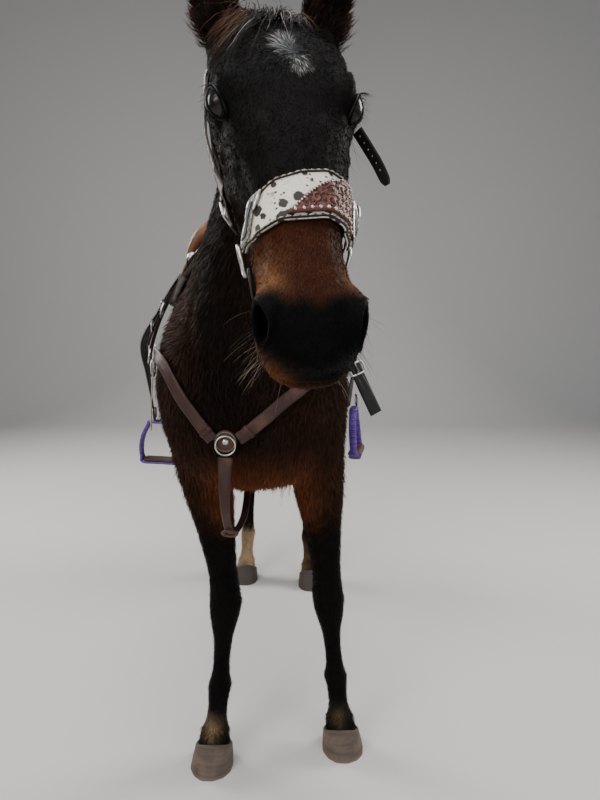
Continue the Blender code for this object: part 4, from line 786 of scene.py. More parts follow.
class Eye:
    """Where one eye sits, which way it looks and how its lids open."""

    HALF_LONG = 0.0225
    ABOVE, BELOW = 0.0145, 0.0112

    def __init__(self, side):
        self.side = side
        self.centre = head_point(EYE_PLACE[0], EYE_PLACE[1], side * EYE_PLACE[2])
        self.gaze = unit(LEFT * side * 0.75 + ALONG * 0.58 - DOWN * 0.32)
        fore = ALONG * 0.78 + DOWN * 0.28 - LEFT * side * 0.56
        self.fore = unit(fore - self.gaze * (fore @ self.gaze))
        self.low = np.cross(self.gaze, self.fore) * side
        if self.low @ DOWN < 0:
            self.low = -self.low

    def local(self, points):
        """Places as fore, low and out from the ball's middle."""
        return (points - self.centre) @ np.stack([self.fore, self.low, self.gaze]).T

    def opening(self, points):
        """0 in the middle of the opening, 1 at the lids' edge, more outside."""
        fore, low, _ = self.local(points).T
        low = low - 0.10 * fore
        half = np.where(low < 0, self.ABOVE, self.BELOW)
        return np.sqrt((fore / self.HALF_LONG) ** 2 + (low / half) ** 2)

    def rim(self, radius, count, start=0.0, end=2 * math.pi, scale=1.0):
        """Points on the lids' edge at a distance from the ball's middle, from the nose corner round."""
        turn = np.linspace(start, end, count)
        fore = np.cos(turn) * self.HALF_LONG * scale
        low = np.sin(turn)
        low = low * np.where(low < 0, self.ABOVE, self.BELOW) * scale + 0.10 * fore
        out = np.sqrt(np.maximum(radius**2 - fore**2 - low**2, (0.35 * radius) ** 2))
        return self.centre + fore[:, None] * self.fore + low[:, None] * self.low + out[:, None] * self.gaze


EYES = (Eye(-1), Eye(1))
NOSTRIL = (0.549, 0.046, 0.056)
MOUTH = np.array(
    [(0.486, 0.097), (0.505, 0.099), (0.542, 0.101), (0.575, 0.096), (0.590, 0.089), (0.640, 0.074)]
)


def mouth_gap(points):
    """How far each place of the muzzle is below the line of the lips."""
    along, down, _ = in_head(points).T
    return down - np.interp(along, MOUTH[:, 0], MOUTH[:, 1])


def nostril_frame(side):
    """Middle and directions of a nostril's hollow: long way, short way, outward."""
    out = unit(LEFT * side * 0.80 + ALONG * 0.52 - DOWN * 0.28)
    long_way = ALONG * 0.80 - DOWN * -0.62
    long_way = unit(long_way - out * (long_way @ out))
    middle = head_point(NOSTRIL[0], NOSTRIL[1], side * NOSTRIL[2])
    return middle, long_way, np.cross(out, long_way) * side, out


def nostril_reach(points, side):
    """0 in the middle of a comma-shaped nostril, 1 at its edge."""
    middle, long_way, short_way, out = nostril_frame(side)
    u, v, w = ((points - middle) @ np.stack([long_way, short_way, out]).T).T
    v = v - 9.0 * u**2 + 0.002
    half = 0.0115 - 0.18 * u
    reach = np.sqrt((u / 0.0225) ** 2 + (v / np.maximum(half, 0.005)) ** 2)
    return np.where(w < -0.040, 9.0, reach)


def coat_depth(points):
    """How deep the coat is at each place."""
    along, _, _ = in_head(points).T
    head = near_head(points)
    leg = 1 - smoothstep(0.62, 0.95, points[:, 2])
    fore = 1 - smoothstep(-0.10, 0.25, points[:, 1])
    depth = 0.0085 + 0.0025 * fore
    depth = depth * (1 - leg) + 0.0042 * leg
    depth = depth * (1 - head) + 0.0026 * head
    for eye in EYES:
        depth *= 0.12 + 0.88 * smoothstep(1.1, 2.6, eye.opening(points))
    depth *= 1 - 0.75 * head * smoothstep(0.50, 0.56, along)
    return np.where(points[:, 2] < 0.05, 0.004, depth)


class Flesh:
    """The horse's one skin. `outer` is the coat's surface, on which the tack lies; `verts` lie under it."""

    def __init__(self):
        parts = body_parts()
        verts, quads = largest_part(*remeshed(parts, SKIN_VOXEL))
        edges = edges_of(quads)
        body = 1 - near_head(verts)
        verts = relaxed(verts, edges, body * np.clip((verts[:, 2] - 0.55) / 0.45, 0.12, 1), 19)
        verts = relaxed(verts, edges, near_head(verts), 2)
        tris = np.zeros((0, 3), np.int32)
        verts, quads, tris = refined(verts, quads, tris, lambda p: near_head(p) > 0.5)
        verts = self.on_fine_head(verts, parts)
        verts, quads, tris = refined(verts, quads, tris, self.delicate)
        verts, quads, tris = refined(verts, quads, tris, self.rims)
        verts = self.on_fine_head(verts, None)
        edges = edges_of(quads, tris)
        verts = relaxed(verts, edges, near_head(verts) * 0.7, 2)
        normals = place_normals(verts, quads, tris)
        verts = verts + normals * raised(verts, normals)[:, None]
        verts = relaxed(verts, edges, 0.5, 1)
        verts = self.shape_face(verts, quads, tris)
        self.quads, self.tris, self.outer = quads, tris, verts
        self.normals = place_normals(verts, quads, tris)
        self.verts = verts - self.normals * coat_depth(verts)[:, None]
        self.verts[:, 2] = np.maximum(self.verts[:, 2], 0.012)
        self.surface = Surface(self.outer, [*quads.tolist(), *tris.tolist()])
        log.info("skin: %d triangles", 2 * len(quads) + len(tris))

    def on_fine_head(self, verts, parts):
        """Moves the head's places on to a finer skin of the head."""
        if parts is not None:
            fine, quads = remeshed([parts[1], parts[2], *parts[7 + 2 * len(MUSCLES):]], FINE_VOXEL)
            fine = relaxed(fine, edges_of(quads), 1.0, 7)
            self.fine = Surface(fine, quads.tolist())
        weight = near_head(verts)
        chosen = np.flatnonzero(weight > 0.02)
        verts = verts.copy()
        snapped = np.array([self.fine.tree.find_nearest(p)[0][:] for p in verts[chosen].tolist()])
        verts[chosen] += (snapped - verts[chosen]) * smoothstep(0.3, 0.95, weight[chosen])[:, None]
        return verts

    @staticmethod
    def delicate(points):
        """Where the face needs small faces: eyes, nostrils and lips."""
        along, down, _ = in_head(points).T
        near = (along > 0.475) & (near_head(points) > 0.5)
        for eye in EYES:
            near |= np.linalg.norm(points - eye.centre, axis=1) < 0.052
        return near & (down < 0.30)

    @staticmethod
    def rims(points):
        """The edges of the lids, the nostrils and the lips."""
        near = (np.abs(mouth_gap(points)) < 0.006) & (in_head(points)[:, 0] > 0.486)
        for eye in EYES:
            out = eye.local(points)[:, 2]
            near |= (eye.opening(points) < 1.65) & (out > 0)
        for side in (-1, 1):
            near |= nostril_reach(points, side) < 1.5
        return near

    @staticmethod
    def shape_face(verts, quads, tris):
        """Wraps the lids round the eyes, hollows the nostrils and parts the lips."""
        verts = verts.copy()
        for eye in EYES:
            away = verts - eye.centre
            length = np.linalg.norm(away, axis=1)
            near = np.flatnonzero((length < 0.075) & (away @ eye.gaze > -0.004))
            reach = eye.opening(verts[near])
            lid = EYE_RADIUS + 0.0026 + 0.0012 * np.exp(-(((reach - 1.16) / 0.12) ** 2))
            lid -= 0.0022 * np.exp(-(((reach - 1.46) / 0.10) ** 2))
            lid -= 0.0011 * np.exp(-(((reach - 1.80) / 0.09) ** 2))
            lid = EYE_RADIUS - 0.0060 + (lid - EYE_RADIUS + 0.0060) * smoothstep(0.86, 1.03, reach)
            blend = 1 - smoothstep(1.45, 2.45, reach)
            target = eye.centre + away[near] / length[near, None] * lid[:, None]
            verts[near] += (target - verts[near]) * blend[:, None]
        normals = place_normals(verts, quads, tris)
        for side in (-1, 1):
            middle, _, _, out = nostril_frame(side)
            reach = nostril_reach(verts, side)
            near = (in_head(verts)[:, 2] * side > 0.010) & (reach < 3) & (normals @ out > 0.0)
            near &= np.linalg.norm(verts - middle, axis=1) < 0.055
            depth = 0.026 * (1 - smoothstep(0.35, 1.02, reach))
            inward = unit(-out * 0.72 - ALONG * 0.60 + DOWN * 0.20)
            wing = 0.0042 * np.exp(-(((reach - 1.22) / 0.22) ** 2))
            verts += np.where(near, depth, 0)[:, None] * inward + np.where(near, wing, 0)[:, None] * normals
        gap = mouth_gap(verts)
        along = in_head(verts)[:, 0]
        front = (near_head(verts) > 0.9) * smoothstep(0.484, 0.500, along)
        groove = (
            -0.0062 * np.exp(-((gap / 0.0024) ** 2))
            + 0.0024 * np.exp(-(((np.abs(gap) - 0.0075) / 0.0050) ** 2))
        )
        return verts + normals * (groove * front)[:, None]


def mix(a, b, share):
    """A colour between two, by a share for each place."""
    share = np.asarray(share, float)[..., None]
    return np.asarray(a, float) * (1 - share) + np.asarray(b, float) * share


class Bay(Enum):
    """The coat's colours, from black points to the star, with some painted shade and painted sunlight among
    them.
    """

    # Near-black face front: partly its own colour, partly painted shade.
    FACE_DARK_AND_SHADE = (0.0046, 0.0037, 0.0036)
    CHEEK = (0.0125, 0.0074, 0.0054)
    NECK = (0.024, 0.0118, 0.0074)
    TRUNK = (0.021, 0.0105, 0.0068)
    TOPLINE = (0.0140, 0.0088, 0.0066)
    BELLY = (0.046, 0.0210, 0.0110)
    FOREARM = (0.090, 0.0290, 0.0125)
    POINTS = (0.0044, 0.0038, 0.0037)
    BRIDGE = (0.046, 0.0155, 0.0078)
    TAN = (0.210, 0.0950, 0.0400)
    NOSE = (0.0024, 0.0023, 0.0026)
    STAR = (0.220, 0.2400, 0.2550)
    # Painted sunlight low on the right hind leg.
    HIND_SUNLIGHT = (0.470, 0.3500, 0.2200)
    # Painted shade on the chest's front.
    PAINTED_CHEST_SHADE = (0.0090, 0.0060, 0.0050)
    # Near-black throat: partly its own colour, partly painted shade under the head.
    THROAT_DARK_AND_SHADE = (0.0052, 0.0042, 0.0040)
    # Painted sunlight on the inner side of the left hind leg.
    HIND_INNER_SUNLIGHT = (0.17, 0.105, 0.058)
    CORONET = (0.200, 0.1450, 0.0900)
    LIPS = (0.058, 0.0220, 0.0115)
    LIP_SPOT = (0.150, 0.0600, 0.0250)
    NOSTRIL = (0.022, 0.010, 0.009)


def star_share(points, grain=0.0):
    """How white the star is: two lobes with frayed edges on the forehead."""
    along, down, left = in_head(points).T
    ragged = wobble(points, 0.012, 5)[:, 0] * 0.30 + wobble(points, 0.030, 6)[:, 0] * 0.25
    upper = np.sqrt(((along - 0.141) / 0.030) ** 2 + ((left - 0.000) / 0.0150) ** 2)
    lower = np.sqrt(((along - 0.180) / 0.024) ** 2 + ((left - 0.016) / 0.0145) ** 2)
    reach = np.minimum(upper, lower) + ragged + grain
    return (1 - smoothstep(0.55, 1.15, reach)) * (down < 0.04)


def markings(points, grain=0.0):
    """The coat's colour and gloss at each place, the same for skin and hairs; the colour holds some painted
    shade and painted sunlight.
    """
    head = near_head(points)
    cloud = wobble(points, 0.16, 1)[:, 0]
    fine = wobble(points, 0.035, 2)[:, 0]
    tone = body_tone(points, cloud, fine)
    tone = mix(tone, face_tone(points, fine), head)
    between_hairs = 0.35 if np.isscalar(grain) else 0.25 + 0.75 * (grain > -0.10)
    tone = mix(tone, Bay.STAR.value, star_share(points, grain) * head * between_hairs)
    tone = tone * (1 + 0.22 * cloud + 0.16 * fine)[:, None]
    gloss = head * smoothstep(0.54, 0.58, in_head(points)[:, 0])
    return np.concatenate([np.clip(tone, 0.002, 1), gloss[:, None]], axis=1)


def body_tone(points, cloud, fine):
    """The colour of trunk, neck and legs: dark points, pale belly, painted shade on the chest and in part on
    the throat, and painted sunlight low on both hind legs.
    """
    x, y, z = points.T
    neck = 1 - smoothstep(-0.42, -0.20, y)
    tone = mix(Bay.TRUNK.value, Bay.NECK.value, neck)
    tone = mix(tone, Bay.TOPLINE.value, smoothstep(1.36, 1.52, z) * (1 - neck) * 0.9)
    belly = (1 - smoothstep(0.86, 1.06, z + 0.04 * cloud)) * smoothstep(-0.1, 0.2, y) * 0.6
    tone = mix(tone, Bay.BELLY.value, belly)
    # Painted shade: the chest's front darkened where it is turned from the light.
    chest = np.exp(-(((x + 0.02) / 0.16) ** 2)) * (1 - smoothstep(-0.42, -0.25, y))
    chest *= smoothstep(0.90, 1.02, z + 0.02 * fine) * (1 - smoothstep(1.15, 1.45, z))
    tone = mix(tone, Bay.PAINTED_CHEST_SHADE.value, 0.85 * chest)
    # The throat's front darkened: partly its own near-black coat, partly painted shade under the head.
    throat_dark_and_shade = np.exp(-(((x + 0.050) / 0.075) ** 4)) * (1 - smoothstep(-0.50, -0.38, y))
    throat_dark_and_shade *= smoothstep(1.0, 1.1, z)
    tone = mix(tone, Bay.THROAT_DARK_AND_SHADE.value, 0.9 * throat_dark_and_shade)
    legs = 1 - smoothstep(0.66, 0.92, z + 0.05 * cloud + 0.02 * fine)
    fore = (y < 0.3) * smoothstep(0.66, 0.80, z) * (1 - smoothstep(0.86, 1.00, z + 0.03 * cloud))
    inner = np.zeros(len(points))
    for name, (_, *places) in LEGS.items():
        cx, cy = leg_middles(places, z)
        side = 1 if name.endswith("left") else -1
        near = (np.abs(y - cy) < 0.30) & (x * side > 0)
        inner = np.where(near, smoothstep(-0.02, 0.05, (cx - x) * side + 0.01 * fine), inner)
    tone = mix(tone, Bay.POINTS.value, legs)
    tone = mix(tone, Bay.FOREARM.value, fore * (0.08 + 0.92 * inner))
    hind = (y > 0.6) * (z < 0.9)
    # Painted sunlight: cream low on the right hind leg, most on its inner side.
    hind_sunlight = (1 - smoothstep(0.20, 0.255, z + 0.02 * fine)) * hind * (x < 0)
    tone = mix(tone, Bay.HIND_SUNLIGHT.value, hind_sunlight * (0.55 + 0.45 * inner))
    # Painted sunlight: tan on the inner side of the left hind's lower leg.
    tone = mix(tone, Bay.HIND_INNER_SUNLIGHT.value, hind * (x > 0) * inner * (1 - smoothstep(0.14, 0.24, z)))
    # The pale coronet hair at the front of each forefoot is its own; the smaller share on the left foreleg
    # paints shade there.
    for name, share in (("foreleg_right", 0.95), ("foreleg_left", 0.35)):
        cx, cy = leg_line(LEGS[name][1:], 0.10)
        reach = ((x - cx + 0.004) / 0.020) ** 2 + ((z - 0.118 + 0.01 * fine) / 0.020) ** 2
        tone = mix(tone, Bay.CORONET.value, share * np.exp(-reach) * (y < cy))
    return tone


def face_tone(points, fine):
    """The colour of the face: black mask, partly its own colour and partly painted shade, brown bridge, tan
    spots, dark nose and lips.
    """
    along, down, left = in_head(points).T
    # The near-black front of the face is partly its own colour and partly painted shade.
    face = mix(Bay.FACE_DARK_AND_SHADE.value, Bay.CHEEK.value, smoothstep(0.03, 0.12, down + 0.02 * fine))
    bridge = smoothstep(0.36, 0.44, along) * (1 - smoothstep(0.515, 0.560, along + 0.02 * fine))
    face = mix(face, Bay.BRIDGE.value, bridge * (1 - 0.35 * smoothstep(0.08, 0.14, down)))
    for a, d, l, ra, rl, share in (
        (0.505, 0.030, -0.044, 0.034, 0.017, 0.85), (0.470, 0.040, -0.056, 0.050, 0.016, 0.55),
        (0.585, 0.100, -0.048, 0.030, 0.012, 0.55), (0.500, 0.030, 0.048, 0.030, 0.014, 0.50),
        (0.560, 0.118, -0.046, 0.034, 0.014, 0.40),
    ):
        reach = ((along - a) / ra) ** 2 + ((left - l) / rl) ** 2 + ((down - d) / 0.050) ** 2
        face = mix(face, Bay.TAN.value, share * np.exp(-reach * 1.2 + 0.4 * fine))
    lips = smoothstep(0.500, 0.530, along) * smoothstep(0.070, 0.090, down + 0.006 * fine)
    start = 0.536 - 0.018 * smoothstep(0.015, 0.040, np.abs(left))
    nose = smoothstep(start - 0.014, start + 0.012, along + 0.010 * fine) * (1 - lips)
    face = mix(face, Bay.LIPS.value, lips * 0.85)
    face = mix(face, Bay.NOSE.value, nose)
    lip = ((along - 0.588) / 0.030) ** 2 + ((left + 0.042) / 0.022) ** 2 + ((down - 0.084) / 0.016) ** 2
    face = mix(face, Bay.LIP_SPOT.value, 0.8 * np.exp(-lip))
    for eye in EYES:
        edge = (1 - smoothstep(1.2, 2.1, eye.opening(points))) * (eye.local(points)[:, 2] > 0)
        face = mix(face, Bay.NOSE.value, 0.85 * edge)
    for side in (-1, 1):
        inside = (1 - smoothstep(0.5, 1.0, nostril_reach(points, side))) * (left * side > 0.01)
        face = mix(face, Bay.NOSTRIL.value, inside)
    return face


def flow_of(points, normals):
    """Which way the hair lies at each place, along the skin."""
    x, y, z = points.T
    along, down, left = in_head(points).T
    head = near_head(points)
    side = np.sign(x)[:, None]
    trunk = np.array([0.0, 1.0, -0.45]) + side * np.array([0.25, 0, 0])
    neck = np.array([0.0, 0.62, -0.78]) + side * np.array([0.10, 0, 0])
    haunch = np.array([0.0, 0.45, -0.85]) + side * np.array([0.05, 0, 0])
    chest = np.array([0.0, 0.10, -1.0]) + np.sign(x + 0.02)[:, None] * np.array([-0.25, 0, 0])
    leg = np.array([0.0, 0.18, -1.0])
    way = trunk + (neck - trunk) * (1 - smoothstep(-0.35, -0.05, y))[:, None]
    way += (haunch - way) * smoothstep(0.75, 1.0, y)[:, None]
    way += (chest - way) * ((1 - smoothstep(-0.42, -0.30, y)) * (z < 1.22))[:, None]
    way += (leg - way) * (1 - smoothstep(0.80, 1.02, z))[:, None]
    whorl = np.stack([along - 0.157, np.zeros_like(left), left - 0.011], -1)
    spread = unit(whorl) * np.exp(-((np.linalg.norm(whorl, axis=1) / 0.052) ** 2))[:, None]
    face = np.array([1.0, 0.34, 0]) + np.stack([0 * left, 0 * left, 2.6 * left], -1)
    face += np.where((along < 0.12)[:, None] & (down > 0.03)[:, None], np.array([-0.9, 0.6, 0.0]), 0)
    face = unit(face) + 3.4 * spread
    way += (face @ HEAD_FRAME - way) * head[:, None]
    way += 0.30 * wobble(points, 0.10, 11) + 0.22 * wobble(points, 0.025, 12)
    way -= normals * (way * normals).sum(1, keepdims=True)
    return unit(way)


def unwrap(points):
    """Each place on a flat unwrap of the skin: rolled off round the legs, the head, and neck with trunk."""
    x, y, z = points.T
    along, down, left = in_head(points).T
    turn = np.arctan2(x, z - (1.18 + 0.25 * smoothstep(0.2, 0.9, -y))) / (2 * math.pi) + 0.5
    uv = np.stack([0.01 + 0.98 * turn, 0.52 + 0.47 * (y + 0.95) / 2.2], -1)
    face = near_head(points) > 0.5
    turn = np.arctan2(left, 0.10 - down) / (2 * math.pi) + 0.5
    rolled = np.stack([0.01 + 0.46 * turn, 0.01 + 0.48 * (along + 0.05) / 0.66], -1)
    uv = np.where(face[:, None], rolled, uv)
    for k, (_, *places) in enumerate(LEGS.values()):
        cx, cy = leg_middles(places, z)
        mine = (z < 0.86) & (np.abs(x - cx) < 0.14) & (np.abs(y - cy) < 0.30)
        turn = np.arctan2(x - cx, cy - y) / (2 * math.pi) + 0.5
        rolled = np.stack([0.50 + 0.12 * k + 0.11 * turn, 0.01 + 0.48 * z / 0.86], -1)
        uv = np.where(mine[:, None], rolled, uv)
    return np.clip(uv, 0.003, 0.997)


@dataclass(frozen=True)
class Pelt:
    """Length, width and stand of the hairs at a set of places."""

    length: np.ndarray
    width: np.ndarray
    lift: np.ndarray

    @classmethod
    def at(cls, points):
        """Short and fine on the face and the legs, long and soft on neck, chest and belly."""
        _, y, z = points.T
        along, down, _ = in_head(points).T
        head = near_head(points)
        leg = 1 - smoothstep(0.58, 0.90, z)
        chest = (1 - smoothstep(-0.25, 0.05, y)) * (z < 1.45)
        belly = 1 - smoothstep(0.84, 0.98, z)
        length = 0.0175 + 0.0060 * chest + 0.0100 * belly * (1 - leg)
        length = length + (0.0095 - length) * leg
        fetlock = np.exp(-(((z - 0.185) / 0.035) ** 2)) * smoothstep(0.0, 0.05, cls.behind(points))
        length = length + 0.026 * fetlock
        coronet = np.exp(-(((z - 0.105) / 0.022) ** 2))
        length = length + 0.006 * coronet * (z < 0.2)
        short = 0.0066 - 0.0026 * smoothstep(0.47, 0.56, along) + 0.0085 * smoothstep(0.17, 0.27, down)
        short = short + 0.0050 * (1 - smoothstep(0.02, 0.12, along)) + 0.0070 * star_share(points)
        length = length + (short - length) * head
        for eye in EYES:
            length = length * (0.28 + 0.72 * smoothstep(1.0, 2.2, eye.opening(points)))
        width = 0.00050 + 0.046 * length
        lift = 0.26 + 0.10 * chest + 0.10 * belly - 0.08 * leg - 0.10 * head + 0.25 * fetlock
        return cls(length, width, lift)

    @staticmethod
    def behind(points):
        """How far a place lies behind its leg's line."""
        found = np.full(len(points), -1.0)
        for _, *places in LEGS.values():
            x, y = leg_line(places, 0.18)
            near = (np.abs(points[:, 0] - x) < 0.09) & (np.abs(points[:, 1] - y) < 0.12)
            found = np.where(near, points[:, 1] - y, found)
        return found


def blades(places, normals, flow, length, width, lift, tone, root_uv, draw):
    """Thin tufts that rise from the skin and bend back along it: a quad and a pointed tip each."""
    count = len(places)
    side = np.cross(flow, normals)
    stray = draw.normal(0, 1, (count, 3))
    flow = unit(flow + side * stray[:, :1] * 0.16)
    side = np.cross(flow, normals)
    roll = (stray[:, 1:2] * 0.55).clip(-1.1, 1.1)
    across = side * np.cos(roll) + normals * np.sin(roll)
    rise = np.tan((lift + 0.10 * stray[:, 2]).clip(0.08, 1.1))[:, None] * length[:, None]
    long = length[:, None]
    middle = places + flow * long * 0.52 + normals * rise * 0.62
    tip = places + flow * long + normals * rise * 0.80 + side * stray[:, 2:3] * long * 0.05
    base = places - normals * 0.0008
    half = width[:, None] / 2 * draw.uniform(0.7, 1.3, (count, 1))
    low, high = across * half, across * half * 0.8
    verts = np.stack([base - low, base + low, middle - high, middle + high, tip], 1).reshape(-1, 3)
    start = np.arange(count, dtype=np.int32)[:, None] * 5
    quads = start + np.array([[0, 1, 3, 2]], np.int32)
    tris = start + np.array([[2, 3, 4]], np.int32)
    fur = np.zeros((count, 5, 4))
    fur[:, :, 0] = (0.0, 0.0, 0.55, 0.55, 1.0)
    fur[:, :, 1] = draw.random((count, 1))
    made = Solid(verts, quads, tris, {"tone": np.repeat(tone, 5, 0), "fur": fur.reshape(-1, 4)})
    patch = np.array([[-1, -1], [1, -1], [-0.8, 0.1], [0.8, 0.1], [0, 1]]) * 0.0015
    made.uv = (root_uv[:, None, :] + patch[None]).reshape(-1, 2)
    return made


class Coat:
    """Tufts of hair over the skin: thin blades that lie along it, each bent twice."""

    def __init__(self, flesh, worn, draw):
        self.flesh, self.worn, self.draw = flesh, worn, draw

    def density(self, points):
        """Tufts in a square metre, relative."""
        head = near_head(points)
        fore = 1 - smoothstep(-0.10, 0.20, points[:, 1])
        leg = 1 - smoothstep(0.62, 0.90, points[:, 2])
        dense = 0.62 + 0.55 * fore
        dense = dense + (1.5 - dense) * leg
        dense = dense + (3.4 - dense) * head
        dense *= points[:, 2] > 0.045
        for eye in EYES:
            dense *= 0.02 + 0.98 * ((eye.opening(points) > 1.10) | (eye.local(points)[:, 2] < 0))
        for side in (-1, 1):
            dense *= nostril_reach(points, side) > 0.95
        return dense

    def roots(self, count):
        """Random places on the skin with their outward directions."""
        verts, quads = self.flesh.verts, self.flesh.quads
        faces = np.concatenate([quads[:, [0, 1, 2]], quads[:, [0, 2, 3]], self.flesh.tris])
        a, b, c = (verts[faces[:, k]] for k in range(3))
        area = np.linalg.norm(np.cross(b - a, c - a), axis=1) / 2
        share = area * self.density((a + b + c) / 3)
        chosen = faces[self.draw.choice(len(faces), count, p=share / share.sum())]
        u, v = self.draw.random((2, count, 1))
        u, v = np.where(u + v > 1, 1 - u, u), np.where(u + v > 1, 1 - v, v)
        weights = (1 - u - v, u, v)
        places = sum(w * verts[chosen[:, k]] for k, w in enumerate(weights))
        normals = unit(sum(w * self.flesh.normals[chosen[:, k]] for k, w in enumerate(weights)))
        return places, normals

    def free_length(self, places, normals, length):
        """Shortens tufts beside straps, and marks with 0 those that lie under them."""
        low, high = self.worn.box
        near = np.flatnonzero(((places > low - 0.03) & (places < high + 0.03)).all(1))
        free = length.copy()
        find, cast = self.worn.tree.find_nearest, self.worn.tree.ray_cast
        for i, place, normal in zip(near.tolist(), places[near].tolist(), normals[near].tolist()):
            if cast(place, normal, 0.060)[0] is not None:
                free[i] = 0
                continue
            gap = find(place, 0.03)[3]
            if gap is not None:
                free[i] = min(free[i], max(0.35 * free[i], gap * 1.05))
        return free

    def tufts(self, count):
        """All tufts as one array mesh of five places each, in order along the body."""
        places, normals = self.roots(count)
        pelt = Pelt.at(places)
        length = pelt.length * self.draw.uniform(0.65, 1.25, count)
        length = self.free_length(places, normals, length)
        keep = length > 0
        places, normals, length = places[keep], normals[keep], length[keep]
        width, lift = pelt.width[keep], pelt.lift[keep]
        order = np.argsort(places[:, 1] - 10.0 * (near_head(places) > 0.5) + 5.0 * (places[:, 2] < 0.8))
        places, normals, length, width, lift = (v[order] for v in (places, normals, length, width, lift))
        tone = markings(places, self.draw.normal(0, 0.22, len(places)))
        flow = flow_of(places, normals)
        return blades(places, normals, flow, length, width, lift, tone, unwrap(places), self.draw)

    @staticmethod
    def pieces(tufts, size):
        """The tufts in several meshes of about equal count, each below the limit."""
        count = len(tufts.quads)
        parts = max(1, math.ceil(count / size))
        made = []
        for rows in np.array_split(np.arange(count), parts):
            first, last = rows[0] * 5, rows[-1] * 5 + 5
            part = Solid(
                tufts.verts[first:last], tufts.quads[rows] - first, tufts.tris[rows] - first,
                {key: value[first:last] for key, value in tufts.values.items()},
            )
            part.uv = tufts.uv[first:last]
            made.append(part)
        return made


def strands(paths, widths, facing, tone, draw):
    """Long flat hairs, one for each path of points, tapered to the tip, each with its own shade."""
    count, steps = paths.shape[:2]
    runs = unit(np.gradient(paths, axis=1))
    across = unit(np.cross(runs, facing + 0.5 * draw.normal(0, 1, (count, 1, 3))))
    t = np.linspace(0, 1, steps)
    taper = (0.75 + 0.25 * np.minimum(1, t * 6)) * (1 - 0.85 * t**2.2)
    half = np.asarray(widths)[:, None, None] / 2 * taper[None, :, None]
    verts = np.stack([paths - across * half, paths + across * half], 2).reshape(-1, 3)
    start = np.arange(count)[:, None, None] * 2 * steps
    rows = np.arange(steps - 1)[None, :, None] * 2
    quads = (start + rows + np.array([0, 1, 3, 2])[None, None, :]).reshape(-1, 4).astype(np.int32)
    fur = np.zeros((count, steps, 2, 4))
    fur[..., 0] = t[None, :, None]
    fur[..., 1] = draw.random(count)[:, None, None]
    tone = np.broadcast_to(tone, (count, 4))
    made = Solid(verts, quads, values={"fur": fur.reshape(-1, 4), "tone": np.repeat(tone, 2 * steps, 0)})
    return made


def locks(guides, strands_each, spread, width, facing, tone, draw, gather=0.55):
    """Strands round each guide path: apart by spread at the root, gathered towards the tip, a little wavy."""
    guides = np.repeat(np.asarray(guides), strands_each, axis=0)
    count, steps = guides.shape[:2]
    t = np.linspace(0, 1, steps)[None, :, None]
    apart = draw.normal(0, 1, (count, 1, 3)) * np.asarray(spread)
    loose = apart * (1 - gather * t**0.8)
    phase, wave = draw.uniform(0, 6.28, (count, 1, 3)), draw.uniform(3, 8, (count, 1, 1))
    curl = np.sin(wave * t + phase) * 0.0045 * t
    length = draw.uniform(0.62, 1.0, (count, 1, 1))
    at = (t * length * (steps - 1)).repeat(3, 2)
    low = np.clip(at.astype(int), 0, steps - 2)
    share = at - low
    moved = np.take_along_axis(guides, low, 1) * (1 - share) + np.take_along_axis(guides, low + 1, 1) * share
    stray = (draw.random((count, 1, 1)) < 0.05) * draw.normal(0, 0.022, (count, 1, 3)) * t**1.5
    return strands(moved + loose + curl + stray, draw.uniform(0.6, 1.3, count) * width, facing, tone, draw)


def crest_point(share):
    """A place on the neck's crest, from the withers (0) to behind the ears (1)."""
    y, z, _, _, x, *_ = between(NECK[:-1], 61)[int(round(10 + share * 50))]
    return np.array([x, y, z])


DOCK = [(0, 1.110, 1.430), (0, 1.170, 1.405), (0, 1.208, 1.330), (0, 1.214, 1.220), (0, 1.208, 1.100)]


